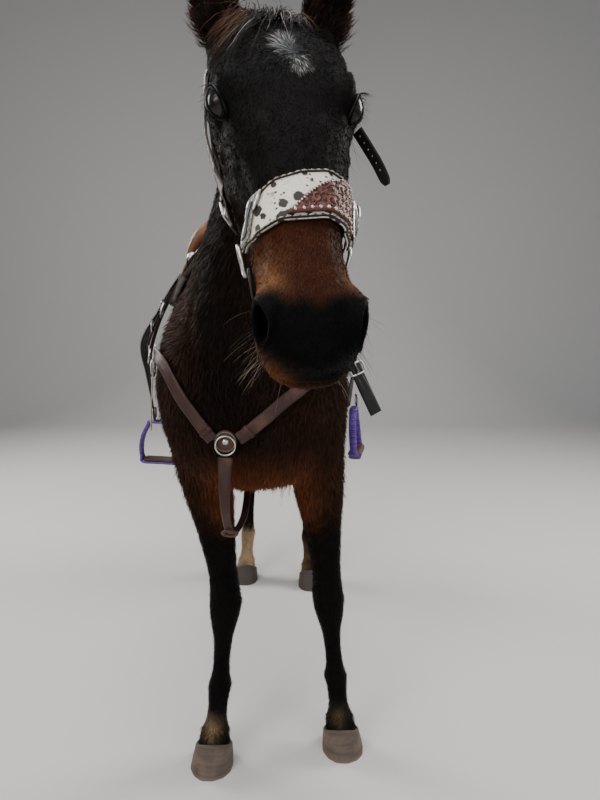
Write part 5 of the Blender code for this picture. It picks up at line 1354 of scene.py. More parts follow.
class LongHair:
    """Mane, forelock, tail, lashes and whiskers."""

    BLACK = (0.0062, 0.0052, 0.0050, 0)
    RUST = (0.048, 0.0230, 0.0120, 0)
    GREY = (0.20, 0.19, 0.18, 0)
    PALE = (0.20, 0.16, 0.12, 0)
    FINE = 0.00055

    def __init__(self, flesh, draw):
        self.flesh, self.draw = flesh, draw

    def mane(self):
        """Locks along the crest that fall on the left side of the neck."""
        guides = []
        for i in range(MANE_LOCKS):
            share = (i + self.draw.uniform(0, 1)) / MANE_LOCKS
            crest = crest_point(share)
            length = self.draw.uniform(0.19, 0.29) * (0.75 + 0.25 * math.sin(math.pi * share))
            drift = self.draw.uniform(-0.03, 0.05)
            lift = self.draw.uniform(0.002, 0.011)
            path = [crest + (-0.006, 0, -0.012), crest + (0.004, 0, 0.006)]
            x_last = crest[0]
            for t in np.linspace(0.08, 1, 10):
                y, z = crest[1] + drift * t**1.5, crest[2] + 0.004 - length * t
                met = self.flesh.surface.along_ray((0.8, y, z), (-1, 0, 0))
                x = x_last if met is None else max(met[0][0], x_last - 0.01)
                x_last = x
                path.append(np.array([x + lift + 0.005 * t, y, z]))
            guides.append(path)
        tone = np.array(self.BLACK)
        facing = np.array([1.0, 0, 0.3])
        made = locks(guides, 35, (0.004, 0.0085, 0.003), 0.0031, facing, tone, self.draw, 0.35)
        root = [crest_point(s) + self.draw.normal(0, 1, 3) * (0.006, 0, 0) for s in self.draw.random(500)]
        bend = np.array([(0, 0, -0.010), (0.002, 0.003, 0.010), (0.012, 0.008, 0.020), (0.026, 0.012, 0.018)])
        short = np.array([between(p + bend, 6) for p in root])
        return made + strands(short, np.full(500, 0.0022), np.array([0.2, 0, 1.0]), tone, self.draw)

    def tail(self):
        """The dock's hair and the long fall of the tail."""
        guides = []
        for i in range(TAIL_LOCKS):
            share = 0.02 + 0.98 * (i / (TAIL_LOCKS - 1)) ** 0.9
            base = between(DOCK, 101)[int(share * 100)]
            angle = i * GOLDEN_ANGLE + self.draw.uniform(-0.3, 0.3)
            out = np.array([math.sin(angle), 0.55 + 0.45 * math.cos(angle), 0.0])
            tip = self.draw.uniform(0.25, 0.50) + 0.30 * (1 - share) * self.draw.random()
            spread = self.draw.uniform(0.012, 0.075)
            sway = self.draw.uniform(0, 6.28)
            path = []
            for t in np.linspace(0, 1, 13):
                swell = 0.010 + math.sin(math.pi * min(1.0, 0.10 + t * 0.72)) * spread
                z = base[2] - 0.005 - (base[2] - tip) * t
                x = base[0] + out[0] * swell + 0.010 * math.sin(5 * t + sway)
                path.append((x, base[1] + out[1] * swell * 0.55 - 0.02 * t, z))
            guides.append(path)
        facing, tone = np.array([0.3, 1.0, 0]), np.array(self.BLACK)
        made = locks(guides, 33, (0.008, 0.006, 0.010), 0.0033, facing, tone, self.draw)
        dock = tube(between(DOCK, 24), np.linspace(0.032, 0.012, 24), 14, facing=(0, 1, 0.3))
        dock.with_value("tone", self.BLACK).with_value("fur", (0.2, 0.3, 0, 0))
        return dock + made

    def forelock(self):
        """Sparse wisps between the ears; one long thin lock reaches the right brow."""
        plans = (
            (0.008, -0.024, 0.130, -0.092, 0.0080, 90),
            (0.014, -0.010, 0.190, -0.098, 0.0026, 24),
            (0.016, 0.002, 0.105, -0.030, 0.0040, 26),
            (0.018, 0.012, 0.115, 0.004, 0.0040, 30),
            (0.014, 0.022, 0.095, 0.040, 0.0036, 26),
            (0.006, 0.030, 0.075, 0.056, 0.0030, 22),
            (0.010, 0.006, 0.070, 0.014, 0.0050, 34),
            (0.008, -0.012, 0.066, -0.028, 0.0050, 30),
            (0.004, -0.030, 0.090, -0.096, 0.0085, 70),
            (0.012, 0.000, 0.150, -0.092, 0.0040, 16),
            (0.002, -0.036, 0.060, -0.092, 0.0085, 60),
        )
        made = []
        for n, (start, left, length, swing, spread, count) in enumerate(plans):
            path = [head_point(start - 0.022, 0.080, left), head_point(start - 0.012, 0.060, left)]
            for t in np.linspace(0.05, 1, 9):
                above = head_point(start + length * t, -0.30, left + (swing - left) * t**1.3)
                met = self.flesh.surface.along_ray(above, DOWN)
                place = met[0] if met else head_point(start + length * t, 0, left)
                path.append(place - DOWN * (0.0025 + 0.003 * (n % 2) + 0.004 * math.sin(math.pi * t)))
            tone = self.RUST if n in (0, 5, 8, 10) else self.BLACK
            made.append(locks([path], count, spread, 0.0011, -DOWN, np.array(tone), self.draw, 0.3))
            count = 8 if n in (2, 3) else 1
            made.append(locks([path], count, spread, 0.0009, -DOWN, np.array(self.GREY), self.draw, 0.2))
        return joined(made)

    def lashes(self):
        """Upper lashes that stand out and droop, a few lower ones."""
        paths, t = [], np.linspace(0, 1, 6)[:, None]
        rows = ((math.pi * 1.10, math.pi * 1.92, 90, 0.019), (0.35, 2.6, 24, 0.009))
        for eye in EYES:
            for start, end, count, long in rows:
                for p in eye.rim(EYE_RADIUS + 0.0032, count, start, end, 1.04):
                    away = unit(p - eye.centre)
                    reach = long * self.draw.uniform(0.55, 1.1)
                    out = unit(away + eye.gaze * 0.9 + eye.fore * self.draw.normal(0.15, 0.25))
                    paths.append(p + out * reach * t - UP * reach * 0.55 * t**2)
        return strands(np.array(paths), np.full(len(paths), self.FINE), UP, np.array(self.BLACK), self.draw)

    def whiskers(self):
        """Long fine hairs on the lips and the chin and under the eyes."""
        paths = []
        places = [
            (self.draw.uniform(0.50, 0.592), self.draw.uniform(0.060, 0.135), s * self.draw.uniform(0.2, 1))
            for s in self.draw.choice((-1, 1), 150)
        ]
        places += [(self.draw.uniform(0.17, 0.24), 0.098, s) for s in self.draw.choice((-1, 1), 10)]
        t = np.linspace(0, 1, 6)[:, None]
        for along, down, share in places:
            place, normal = self.flesh.surface.near(head_point(along, down, share * 0.10))
            out = unit(normal + ALONG * 0.25 + DOWN * 0.30 + self.draw.normal(0, 0.22, 3))
            reach = self.draw.uniform(0.014, 0.042)
            paths.append(place - normal * 0.002 + out * reach * t - UP * 0.3 * reach * t**2)
        tone = np.where(self.draw.random((len(paths), 1)) < 0.35, self.PALE, self.BLACK)
        return strands(np.array(paths), np.full(len(paths), self.FINE), UP, tone, self.draw)


class Ear:
    """An ear's cup with its short coat, and long hairs from inside and along its rim."""

    ROWS = [
        (-0.022, 0.020, 0.019, 0.00),
        (0.008, 0.025, 0.022, 0.00),
        (0.026, 0.032, 0.025, 0.45),
        (0.050, 0.038, 0.024, 0.88),
        (0.078, 0.038, 0.021, 0.92),
        (0.106, 0.031, 0.017, 0.90),
        (0.130, 0.019, 0.012, 0.80),
        (0.147, 0.009, 0.007, 0.50),
        (0.154, 0.003, 0.003, 0.00),
    ]

    def __init__(self, side, draw):
        self.side, self.draw = side, draw
        self.root = head_point(0.016, 0.066, side * 0.073)
        self.up = unit(np.array([side * 0.25, 0.10, 1.0]))
        front = np.array([side * math.sin(math.radians(38)), -math.cos(math.radians(38)), 0.0])
        self.front = unit(front - self.up * (front @ self.up))
        self.across = np.cross(self.up, self.front)

    def cup(self):
        """The ear's flap as rings from root to tip."""
        rings = []
        turn = np.linspace(0, 2 * math.pi, 48, endpoint=False)
        for height, half, deep, cup in between(self.ROWS, 42):
            bend = self.front * (0.14 * max(0.0, height - 0.10))
            bend = bend - self.across * self.side * (0.10 * max(0.0, height - 0.08))
            sideways, fore = np.sin(turn) * half, np.cos(turn)
            hollow = -fore * max(deep - 0.0045, 0.0)
            reach = np.where(fore > 0, fore * deep * (1 - cup) + hollow * cup, fore * deep)
            middle = self.root + self.up * height + bend
            rings.append(middle + sideways[:, None] * self.across + reach[:, None] * self.front)
        return lofted(rings)

    def build(self):
        """The flap and its hair, as skin and as tufts."""
        flap = self.cup()
        rows = len(flap.verts) - 2
        normals = place_normals(flap.verts, flap.quads, flap.tris)
        if ((flap.verts[:rows] - self.root - self.up * 0.05) * normals[:rows]).sum() < 0:
            normals = -normals
        inner = smoothstep(0.1, 0.9, normals @ self.front)
        tone = mix((0.0058, 0.0046, 0.0042), (0.0080, 0.0060, 0.0050), inner * 0.8)
        flap.values["tone"] = np.concatenate([tone, np.zeros((len(tone), 1))], 1)
        flap.with_value("fur", (0.1, 0.5, 0, 0))
        pick = self.draw.integers(0, rows, EAR_TUFTS)
        jitter = self.draw.normal(0, 0.0014, (EAR_TUFTS, 3))
        places, outward = flap.verts[pick] + jitter, normals[pick]
        height = (places - self.root) @ self.up
        inside = inner[pick] > 0.35
        half = np.interp(height, *np.array(self.ROWS).T[:2])
        rim = np.abs((places - self.root) @ self.across) > 0.8 * half
        length = np.where(inside, 0.016, 0.0085) * self.draw.uniform(0.7, 1.3, EAR_TUFTS) + 0.004 * rim
        edge = np.sign((places - self.root) @ self.across)[:, None] * self.across
        flow = self.up + np.where(inside[:, None], self.front + 0.36 * edge, 0)
        flow = unit(flow - outward * (flow * outward).sum(1, keepdims=True) * 0.8)
        shade = mix((0.0060, 0.0048, 0.0044), (0.0085, 0.0062, 0.0052), inside)
        outer = ((places - self.root) @ self.across) * self.side > 0
        rust = rim * np.where(outer, 0.25 + 0.75 * (1 - smoothstep(0.015, 0.060, height)), 0.10)
        shade = mix(shade, (0.046, 0.0185, 0.0092), rust)
        shade = shade * self.draw.uniform(0.6, 1.4, (EAR_TUFTS, 1))
        tone = np.concatenate([shade, np.zeros((EAR_TUFTS, 1))], 1)
        lift = np.where(inside, 0.75, 0.30)
        sideways, fore = (places - self.root) @ self.across, (places - self.root) @ self.front
        turn = np.arctan2(sideways, fore) / (2 * math.pi) + 0.5
        uv = np.stack([0.50 + 0.02 * (self.side > 0) + 0.02 * turn, 0.50 + 0.02 * height / 0.16], -1)
        fur = blades(places, outward, flow, length, 0.0006 + 0.05 * length, lift, tone, uv, self.draw)
        return flap, fur


class Hoof:
    """A hoof's wall, sloping to the coronet, with growth rings and a flat sole."""

    def __init__(self, name):
        self.name = name
        slices, *self.places = LEGS[name]
        self.slices = np.array(slices)[::-1]
        self.front = name.startswith("fore")

    def wall(self, turn, z):
        """Places of the wall at heights z round the turn."""
        heights, fore, back, half = self.slices.T
        front, rear = np.interp(z, heights, fore), np.interp(z, heights, back)
        wide = np.interp(z, heights, half)
        up, side = np.cos(turn), np.sin(turn)
        power = 2 / 2.2
        y = (front + rear) / 2 + np.sign(up) * np.abs(up) ** power * (front - rear) / 2
        x = np.sign(side) * np.abs(side) ** power * wide
        cx, cy = leg_middles(self.places, z)
        return np.stack([cx + x, cy + y, z], -1)

    def build(self):
        """The wall from the floor to the coronet, closed below."""
        turn = np.linspace(0, 2 * math.pi, 72, endpoint=False)
        reach = np.cos(turn) * 0.058 + 0.052
        top = 0.034 + 0.052 * np.clip(reach / 0.11, 0, 1)
        rings = []
        rows = np.linspace(0, 1, 34)
        for t in rows:
            z = top * t
            ring = self.wall(turn, z)
            centre = ring.mean(axis=0)
            out = unit((ring - centre) * (1, 1, 0))
            ripple = 0.00055 * math.sin(t * 46) * (0.4 + 0.6 * t) + 0.00035 * math.sin(t * 97 + 1)
            lip = 0.0016 - 0.0038 * smoothstep(0.93, 1.0, t) + 0.0018 * math.exp(-(((t - 0.93) / 0.05) ** 2))
            chips = 0.0011 * np.sin(turn * 9 + 1.3) * np.sin(turn * 4) * (1 - smoothstep(0.0, 0.10, t))
            rings.append(ring + out * (ripple + lip + chips[:, None]))
        inward = rings[-1] + (rings[-1].mean(axis=0) - rings[-1]) * 0.16 - UP * 0.004
        rings.append(inward)
        made = lofted(rings)
        height = np.concatenate([np.repeat(np.append(rows, 1.0), 72), [0, 1]])
        grain = np.concatenate([np.tile(turn, 35), [0, 0]])
        dark = np.full(len(height), 0.25 if self.front else 1.0)
        made.values["wall"] = np.stack([height, grain, dark, dark], -1)
        made.verts[:, 2] = np.maximum(made.verts[:, 2], 0)
        return made


class EyeBall:
    """The ball with iris and pupil drawn by its directions, and the dark wet edge of the lids."""

    def __init__(self, eye):
        self.eye = eye

    def ball(self):
        """The eyeball, a little domed in front, with each place in the eye's own directions."""
        eye = self.eye
        made = ball(eye.centre, (eye.gaze, eye.fore, eye.low), (EYE_RADIUS,) * 3, rows=48, columns=64)
        fore, low, out = eye.local(made.verts).T / EYE_RADIUS
        swell = 0.0009 * np.exp(-((fore / 0.45) ** 2 + (low / 0.42) ** 2)) * (out > 0)
        made.verts = made.verts + eye.gaze * swell[:, None]
        made.values["iris"] = np.stack([fore, low, out, np.zeros(len(fore))], -1)
        return made

    def rim(self):
        """The dark wet edge of the lids, with the small flesh in the nose corner."""
        path = self.eye.rim(EYE_RADIUS + 0.0013, 96, 0, 2 * math.pi * 95 / 96, 0.985)
        rim = tube(path, 0.00165, 8, facing=self.eye.gaze, round_trip=True)
        corner = self.eye.rim(EYE_RADIUS + 0.0002, 3, -0.1, 0.1, 0.93)[1]
        bead = ball(corner, (self.eye.gaze, self.eye.fore, self.eye.low), (0.0018, 0.0030, 0.0020), 9, 14)
        return rim + bead


class Paint:
    """One material's nodes; every value it returns can be added, multiplied and mixed."""

    def __init__(self, name):
        self.material = bpy.data.materials.new(name)
        self.material.use_nodes = True
        self.tree = self.material.node_tree
        self.shader = self.tree.nodes["Principled BSDF"]

    def feed(self, socket, value):
        """Links a value to a socket, or sets a constant on it."""
        if isinstance(value, Value):
            self.tree.links.new(value.socket, socket)
        elif hasattr(value, "__len__") and socket.type == "RGBA" and len(value) == 3:
            socket.default_value = (*value, 1)
        else:
            socket.default_value = value

    def node(self, kind, settings=None, inputs=None, output=0):
        """Any node: its type, its settings, then its inputs by name or number."""
        made = self.tree.nodes.new(kind)
        for key, value in (settings or {}).items():
            setattr(made, key, value)
        for key, value in (inputs or {}).items():
            self.feed(made.inputs[key], value)
        return Value(self, made.outputs[output])

    def place(self, stretch=(1, 1, 1)):
        """Object coordinates, stretched."""
        seen = self.node("ShaderNodeTexCoord", output="Object")
        return self.node("ShaderNodeMapping", inputs={"Vector": seen, "Scale": stretch})

    def noise(self, scale, detail=3.0, rough=0.55, at=None):
        """Soft noise, at the surface's own place unless another is given."""
        inputs = {"Vector": at or self.place(), "Scale": scale, "Detail": detail, "Roughness": rough}
        return self.node("ShaderNodeTexNoise", inputs=inputs)

    def cells(self, scale, feature="F1"):
        """Distance in a pattern of cells."""
        inputs = {"Vector": self.place(), "Scale": scale}
        return self.node("ShaderNodeTexVoronoi", {"feature": feature}, inputs)

    def step(self, value, low, high):
        """0 below low, 1 above high, smooth between."""
        settings = {"interpolation_type": "SMOOTHSTEP"}
        return self.node("ShaderNodeMapRange", settings, {"Value": value, "From Min": low, "From Max": high})

    def mixed(self, share, a, b, blend="MIX"):
        """Colour a, with the share of colour b blended in."""
        settings = {"data_type": "RGBA", "blend_type": blend}
        return self.node("ShaderNodeMix", settings, {0: share, 6: a, 7: b}, 2)

    def attribute(self, name, channel=None):
        """An own colour attribute, or one of its channels."""
        found = self.node("ShaderNodeAttribute", {"attribute_name": name}, output="Color")
        if channel is None:
            return found
        return self.node("ShaderNodeSeparateColor", inputs={0: found}, output=channel)

    def bump(self, height, distance):
        """A normal that makes a height look raised, by the distance in metres."""
        return self.node("ShaderNodeBump", inputs={"Height": height, "Distance": distance, "Strength": 1.0})

    def done(self, **inputs):
        """Feeds the shader and hands back the material."""
        for key, value in inputs.items():
            self.feed(self.shader.inputs[key.replace("_", " ")], value)
        return self.material


class Value:
    """An output of a node that takes part in sums, differences, products and quotients."""

    def __init__(self, paint, socket):
        self.paint, self.socket = paint, socket

    def math(self, operation, *values):
        """The node of an arithmetic operation, with this value and others."""
        return self.paint.node("ShaderNodeMath", {"operation": operation}, dict(enumerate(values)))

    def __add__(self, other):
        return self.math("ADD", self, other)

    def __sub__(self, other):
        return self.math("SUBTRACT", self, other)

    def __rsub__(self, other):
        return self.math("SUBTRACT", other, self)

    def __mul__(self, other):
        return self.math("MULTIPLY", self, other)

    def __truediv__(self, other):
        return self.math("DIVIDE", self, other)

    def __rtruediv__(self, other):
        return self.math("DIVIDE", other, self)

    def __pow__(self, other):
        return self.math("POWER", self, other)

    __radd__, __rmul__ = __add__, __mul__


@dataclass(frozen=True)
class Leather:
    """A leather's colours and grain.

    Attributes:
        slot: the record's slot it takes the place of.
        colour, worn: its colour and that of its rubbed places.
        rough: roughness.
        grain: depth of the grain in metres.
    """

    slot: str
    colour: tuple
    worn: tuple
    rough: float = 0.45
    grain: float = 0.0004

    def material(self):
        """Dyed leather: pores, soft creases, rubbed edges; the groove attribute darkens what is cut in."""
        paint = Paint(self.slot + "_look")
        broad, fine = paint.noise(14, 4), paint.noise(160, 3)
        pores = paint.cells(420, feature="DISTANCE_TO_EDGE")
        wear = paint.step(broad + fine * 0.35, 0.62, 0.90)
        tint = paint.mixed(wear, self.colour, self.worn)
        tint = paint.mixed(paint.step(fine, 0.35, 0.75) * 0.35, tint, tuple(c * 0.45 for c in self.colour))
        tint = paint.mixed(paint.attribute("groove", 0), tint, tuple(c * 0.16 for c in self.colour))
        height = paint.step(pores, 0.0, 0.28) * 0.5 + fine * 0.7 + broad
        return paint.done(
            Base_Color=tint, Roughness=paint.step(fine, 0.2, 0.9) * 0.22 + (self.rough - 0.10) + wear * 0.08,
            Normal=paint.bump(height, self.grain), Specular_IOR_Level=0.30,
        )


LEATHERS = (
    Leather("tooled", (0.125, 0.0270, 0.0170), (0.210, 0.0560, 0.0320), 0.42, 0.0003),
    Leather("bridle", (0.020, 0.0105, 0.0072), (0.060, 0.0310, 0.0190), 0.46),
    Leather("black_leather", (0.0055, 0.0050, 0.0050), (0.016, 0.0145, 0.0145), 0.52),
    Leather("saddle_leather", (0.115, 0.042, 0.018), (0.220, 0.100, 0.046), 0.40),
    Leather("collar_leather", (0.030, 0.0108, 0.0076), (0.088, 0.0400, 0.0290), 0.46),
    Leather("wrap", (0.040, 0.0190, 0.0120), (0.100, 0.055, 0.036), 0.50),
)


# Cloths: the colours of their low and high threads, and of their dust
FELT = ((0.060, 0.054, 0.050), (0.150, 0.138, 0.125), (0.190, 0.165, 0.135))
CORD = ((0.30, 0.25, 0.19), (0.52, 0.46, 0.37), (0.26, 0.22, 0.17))


def hair_material(name, sheen):
    """Hairs: darker at the root, lighter and redder towards the tip, each tuft with its own shade."""
    paint = Paint(name)
    up, shade = paint.attribute("fur", 0), paint.attribute("fur", 1)
    tone = paint.attribute("tone")
    # The lighter, redder tips are partly sun-bleached hair and partly painted highlight.
    light = paint.mixed(1.0, tone, (1.55, 1.38, 1.26), "MULTIPLY")
    dark = paint.mixed(1.0, tone, (0.62, 0.60, 0.58), "MULTIPLY")
    tint = paint.mixed(paint.step(up + (shade - 0.5) * 0.9, 0.0, 1.0), dark, light)
    return paint.done(
        Base_Color=tint, Roughness=0.52 + shade * 0.16, Specular_IOR_Level=sheen,
        Normal=paint.bump(paint.noise(900, 2, at=paint.place((1, 1, 0.18))), 0.0003),
    )


def skin_material():
    """Skin under the coat: the markings, short hair as streaked bump, smooth wet black on the nose."""
    paint = Paint("coat_skin")
    tone = paint.attribute("tone")
    bare = paint.node("ShaderNodeAttribute", {"attribute_name": "tone"}, output="Alpha")
    streaks = paint.noise(620, 3, 0.6, paint.place((1, 1, 0.16)))
    clumps = paint.noise(150, 3, 0.6, paint.place((1, 1, 0.30)))
    pebble = paint.cells(900, feature="DISTANCE_TO_EDGE")
    dark = paint.mixed(1.0, tone, (0.50, 0.48, 0.46), "MULTIPLY")
    tint = paint.mixed(paint.step(streaks, 0.35, 0.70), dark, tone)
    height = (streaks + clumps * 1.4) * (1 - bare) + paint.step(pebble, 0, 0.3) * bare * 0.8
    return paint.done(
        Base_Color=tint,
        Roughness=0.66 - bare * 0.24,
        Normal=paint.bump(height, 0.0008),
        Specular_IOR_Level=0.05,
    )


def eye_material():
    """A dark brown iris with a level oval pupil, a grey-brown edge, and a thin clear cover."""
    paint = Paint("eye_look")
    fore, low = (paint.attribute("iris", k) for k in range(2))
    pupil = (fore / 0.40) ** 2 + (low / 0.20) ** 2
    iris = (fore / 0.66) ** 2 + (low / 0.60) ** 2
    rays = paint.noise(260, 4, 0.7)
    tint = paint.mixed(paint.step(rays, 0.35, 0.7), (0.0080, 0.0040, 0.0026), (0.0190, 0.0085, 0.0048))
    tint = paint.mixed(paint.step(pupil, 0.75, 1.05), (0.0025, 0.0028, 0.0040), tint)
    tint = paint.mixed(paint.step(iris, 0.80, 1.10), tint, (0.012, 0.009, 0.0085))
    return paint.done(
        Base_Color=tint, Roughness=0.28, Coat_Weight=0.12, Coat_Roughness=0.05, Specular_IOR_Level=0.20,
    )


def wet_material():
    """The black wet edge of the lids."""
    paint = Paint("lid_edge")
    return paint.done(Base_Color=(0.0045, 0.0036, 0.0036), Roughness=0.42, Specular_IOR_Level=0.2)


def horn_material():
    """Hoof horn: rings round the wall, fine lines down it, dust and pale scuffs towards the floor."""
    paint = Paint("horn_look")
    height = paint.attribute("wall", 0)
    grain = paint.noise(260, 4, 0.6, paint.place((1, 1, 0.06)))
    ring = paint.noise(75, 2, 0.5, paint.place((0.12, 0.12, 1)))
    stain = paint.noise(18, 4)
    tint = paint.mixed(paint.step(ring, 0.35, 0.65), (0.062, 0.042, 0.032), (0.125, 0.088, 0.066))
    tint = paint.mixed(paint.step(grain, 0.35, 0.70) * 0.6, tint, (0.055, 0.040, 0.031))
    tint = paint.mixed(paint.step(stain, 0.40, 0.75) * 0.7, tint, (0.160, 0.105, 0.076))
    tint = paint.mixed(paint.step(height, 0.80, 0.98), tint, (0.060, 0.042, 0.030))
    tint = paint.mixed(1 - paint.step(height, 0.0, 0.10), tint, (0.180, 0.120, 0.085))
    tint = paint.mixed(paint.attribute("wall", 2) * 0.85, tint, (0.026, 0.020, 0.017))
    return paint.done(
        Base_Color=tint, Roughness=0.50 + stain * 0.20, Normal=paint.bump(grain * 0.6 + ring, 0.0012),
    )


def silver_material():
    """Nickel silver, engraved and a little tarnished in the cuts."""
    paint = Paint("silver_look")
    cut, cloud = paint.noise(330, 2, 0.5), paint.noise(40, 3)
    dark = paint.step(cut, 0.52, 0.64) * 0.55 + paint.attribute("groove", 0)
    return paint.done(
        Base_Color=paint.mixed(dark, (0.52, 0.51, 0.49), (0.07, 0.066, 0.060)), Metallic=1.0,
        Roughness=0.24 + cloud * 0.18, Normal=paint.bump(cut, 0.0006),
    )


def hide_material():
    """White cowhide with the hair on, specked black."""
    paint = Paint("hide_look")
    warp = paint.noise(55, 3)
    big, small = paint.cells(52), paint.cells(130)
    specks = 1 - paint.step(big + (warp - 0.5) * 0.9, 0.25, 0.33)
    dots = 1 - paint.step(small + (warp - 0.5) * 0.6, 0.14, 0.26)
    hair = paint.noise(700, 3, 0.6, paint.place((0.25, 1, 1)))
    tint = paint.mixed(paint.step(hair, 0.3, 0.8), (0.78, 0.74, 0.66), (0.58, 0.54, 0.46))
    tint = paint.mixed(specks * 0.98, tint, (0.012, 0.0085, 0.0070))
    tint = paint.mixed(dots * 0.95, tint, (0.020, 0.0140, 0.0110))
    return paint.done(
        Base_Color=tint, Roughness=0.62, Normal=paint.bump(hair, 0.0009), Specular_IOR_Level=0.3,
    )


def cloth_material(name, colours, scale, depth):
    """Woven or felted cloth: threads that cross, with dust."""
    paint = Paint(name)
    warp = paint.noise(scale, 3, 0.6, paint.place((1, 0.12, 1)))
    weft = paint.noise(scale, 3, 0.6, paint.place((0.12, 1, 0.12)))
    stain = paint.noise(9, 4)
    thread = warp + weft
    tint = paint.mixed(paint.step(thread, 0.75, 1.25), colours[0], colours[1])
    tint = paint.mixed(paint.step(stain, 0.45, 0.75) * 0.5, tint, colours[2])
    return paint.done(
        Base_Color=tint, Roughness=0.88, Normal=paint.bump(thread, depth), Specular_IOR_Level=0.2,
    )


def purple_material():
    """Purple lacing wound round the stirrup's sides."""
    paint = Paint("purple_look")
    worn = paint.noise(120, 3)
    tint = paint.mixed(paint.step(worn, 0.45, 0.8), (0.085, 0.028, 0.245), (0.190, 0.090, 0.440))
    tint = paint.mixed(paint.attribute("groove", 0), tint, (0.016, 0.006, 0.040))
    return paint.done(Base_Color=tint, Roughness=0.42, Normal=paint.bump(worn, 0.0004))


class Finishes:
    """Every material, made once."""

    def __init__(self):
        self.by_slot = {leather.slot: leather.material() for leather in LEATHERS}
        self.by_slot.update(
            horn=horn_material(), eye=eye_material(), silver=silver_material(), hide=hide_material(),
            purple=purple_material(), coat=skin_material(), points=hair_material("long_hair", 0.09),
            fur=hair_material("coat_tufts", 0.035), lid=wet_material(),
            felt=cloth_material("felt_look", FELT, 320, 0.0012),
            cord=cloth_material("cord_look", CORD, 500, 0.0006),
        )

    def __getitem__(self, slot):
        return self.by_slot[slot]


class Model:
    """Collects the finished pieces and sets each in the frame."""

    def __init__(self):
        self.finishes = Finishes()
        self.triangles = 0

    def add(self, name, solid, finish, nodes=(), slot=None, tidy=False):
        """An object from an array mesh, on the root body, in the place of the named solids."""
        mesh = solid.mesh(name)
        if tidy:
            bm = bmesh.new()
            bm.from_mesh(mesh)
            bmesh.ops.recalc_face_normals(bm, faces=bm.faces)
            bm.to_mesh(mesh)
            bm.free()
        mesh.materials.append(self.finishes[finish])
        obj = bpy.data.objects.new(name, mesh)
        bpy.context.scene.collection.objects.link(obj)
        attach(obj, "root")
        if nodes:
            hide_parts(*nodes)
        count = solid.triangles()
        self.triangles += count
        log.info("%-26s %7d triangles", name, count)


def upsampled(grid, rows, columns):
    """A finer grid of places on smooth curves through a coarse one."""
    grid = np.asarray(grid, float)
    tall = between(grid.reshape(len(grid), -1), rows).reshape(rows, grid.shape[1], -1)
    wide = between(tall.transpose(1, 0, 2).reshape(grid.shape[1], -1), columns)
    return wide.reshape(columns, rows, -1).transpose(1, 0, 2)


def evened(normals, rounds=3):
    """Directions evened out over a grid."""
    for _ in range(rounds):
        padded = np.pad(normals, ((1, 1), (1, 1), (0, 0)), mode="edge")
        normals = unit(
            padded[:-2, 1:-1] + padded[2:, 1:-1] + padded[1:-1, :-2] + padded[1:-1, 2:] + 2 * normals
        )
    return normals


def fine_grid(rows, count, columns, rounds=3):
    """Grids of places and of directions from rows that hold both, made finer and evened out."""
    places, normals = (np.array([[spot[k] for spot in row] for row in rows]) for k in (0, 1))
    return upsampled(places, count, columns), evened(upsampled(evened(normals), count, columns), rounds)


def sheet(places, normals, lift, thickness, edge=0.5, groove=None):
    """A closed sheet over a grid, lifted off by lift, with rounded long edges; groove darkens its cuts."""
    rows, columns = places.shape[:2]
    across = np.abs(np.linspace(-1, 1, columns)) ** 9
    thick = np.broadcast_to(thickness, (rows, columns)) * (1 - edge * across)
    inner = places + normals * lift
    outer = inner + normals * thick[..., None]
    rings = np.concatenate([inner, outer[:, ::-1]], axis=1)
    made = lofted(rings, folded=True)
    cut = np.zeros((rows, columns)) if groove is None else groove
    both = np.concatenate([np.zeros((rows, columns)), cut[:, ::-1]], axis=1)
    made.values["groove"] = np.repeat(both.reshape(-1, 1), 4, 1)
    return made


def draped(surface, path, width, rows, span):
    """Places and directions of a strap laid on a surface along a path; span lets it bridge hollows."""
    path = between(path, rows)
    middle = np.array([surface.near(p)[0] for p in path])
    for _ in range(span):
        middle[1:-1] = (middle[:-2] + middle[2:] + 2 * middle[1:-1]) / 4
    runs = unit(np.gradient(middle, axis=0))
    out = np.array([surface.near(p)[1] for p in middle])
    for _ in range(4):
        out[1:-1] = unit(out[:-2] + out[2:] + 2 * out[1:-1])
    side = unit(np.cross(out, runs))
    steps = np.linspace(-0.5, 0.5, STRAP_COLUMNS)
    grid = middle[:, None] + side[:, None] * (steps * width)[None, :, None]
    places = np.array([[surface.near(p)[0] for p in row] for row in grid])
    out_grid = np.repeat(out[:, None], STRAP_COLUMNS, 1)
    rise = np.maximum(((places - grid) * out_grid).sum(-1), 0)
    rise = np.maximum(rise, rise.max(axis=1, keepdims=True) * 0.6)
    return grid + out_grid * rise[..., None], evened(out_grid)


def ribbon_grid(path, across, widths, rows, columns=STRAP_COLUMNS):
    """Places and directions of a flat strap that hangs free."""
    path = between(path, rows)
    widths = between(np.reshape(widths, (-1, 1)), rows)[:, 0] if np.ndim(widths) else np.full(rows, widths)
    runs = unit(np.gradient(path, axis=0))
    side = np.broadcast_to(np.asarray(across, float), path.shape)
    side = unit(side - runs * (side * runs).sum(1, keepdims=True))
    out = unit(np.cross(runs, side))
    steps = np.linspace(-0.5, 0.5, columns)
    places = path[:, None] + side[:, None] * (steps[None, :] * widths[:, None])[..., None]
    return places, np.repeat(out[:, None], columns, 1)


def copies(template, centres, runs, outs, sizes=1.0):
    """The template's mesh at each centre, its X along the run and its Z outward."""
    centres, outs = np.asarray(centres, float), unit(outs)
    runs = unit(runs - outs * (runs * outs).sum(-1, keepdims=True))
    frames = np.stack([runs, np.cross(outs, runs), outs], 1)
    sizes = np.broadcast_to(sizes, len(centres))[:, None, None]
    verts = (centres[:, None] + np.einsum("vk,nkj->nvj", template.verts, frames) * sizes).reshape(-1, 3)
    shift = (np.arange(len(centres)) * len(template.verts))[:, None, None]
    return Solid(verts, (template.quads + shift).reshape(-1, 4), (template.tris + shift).reshape(-1, 3))


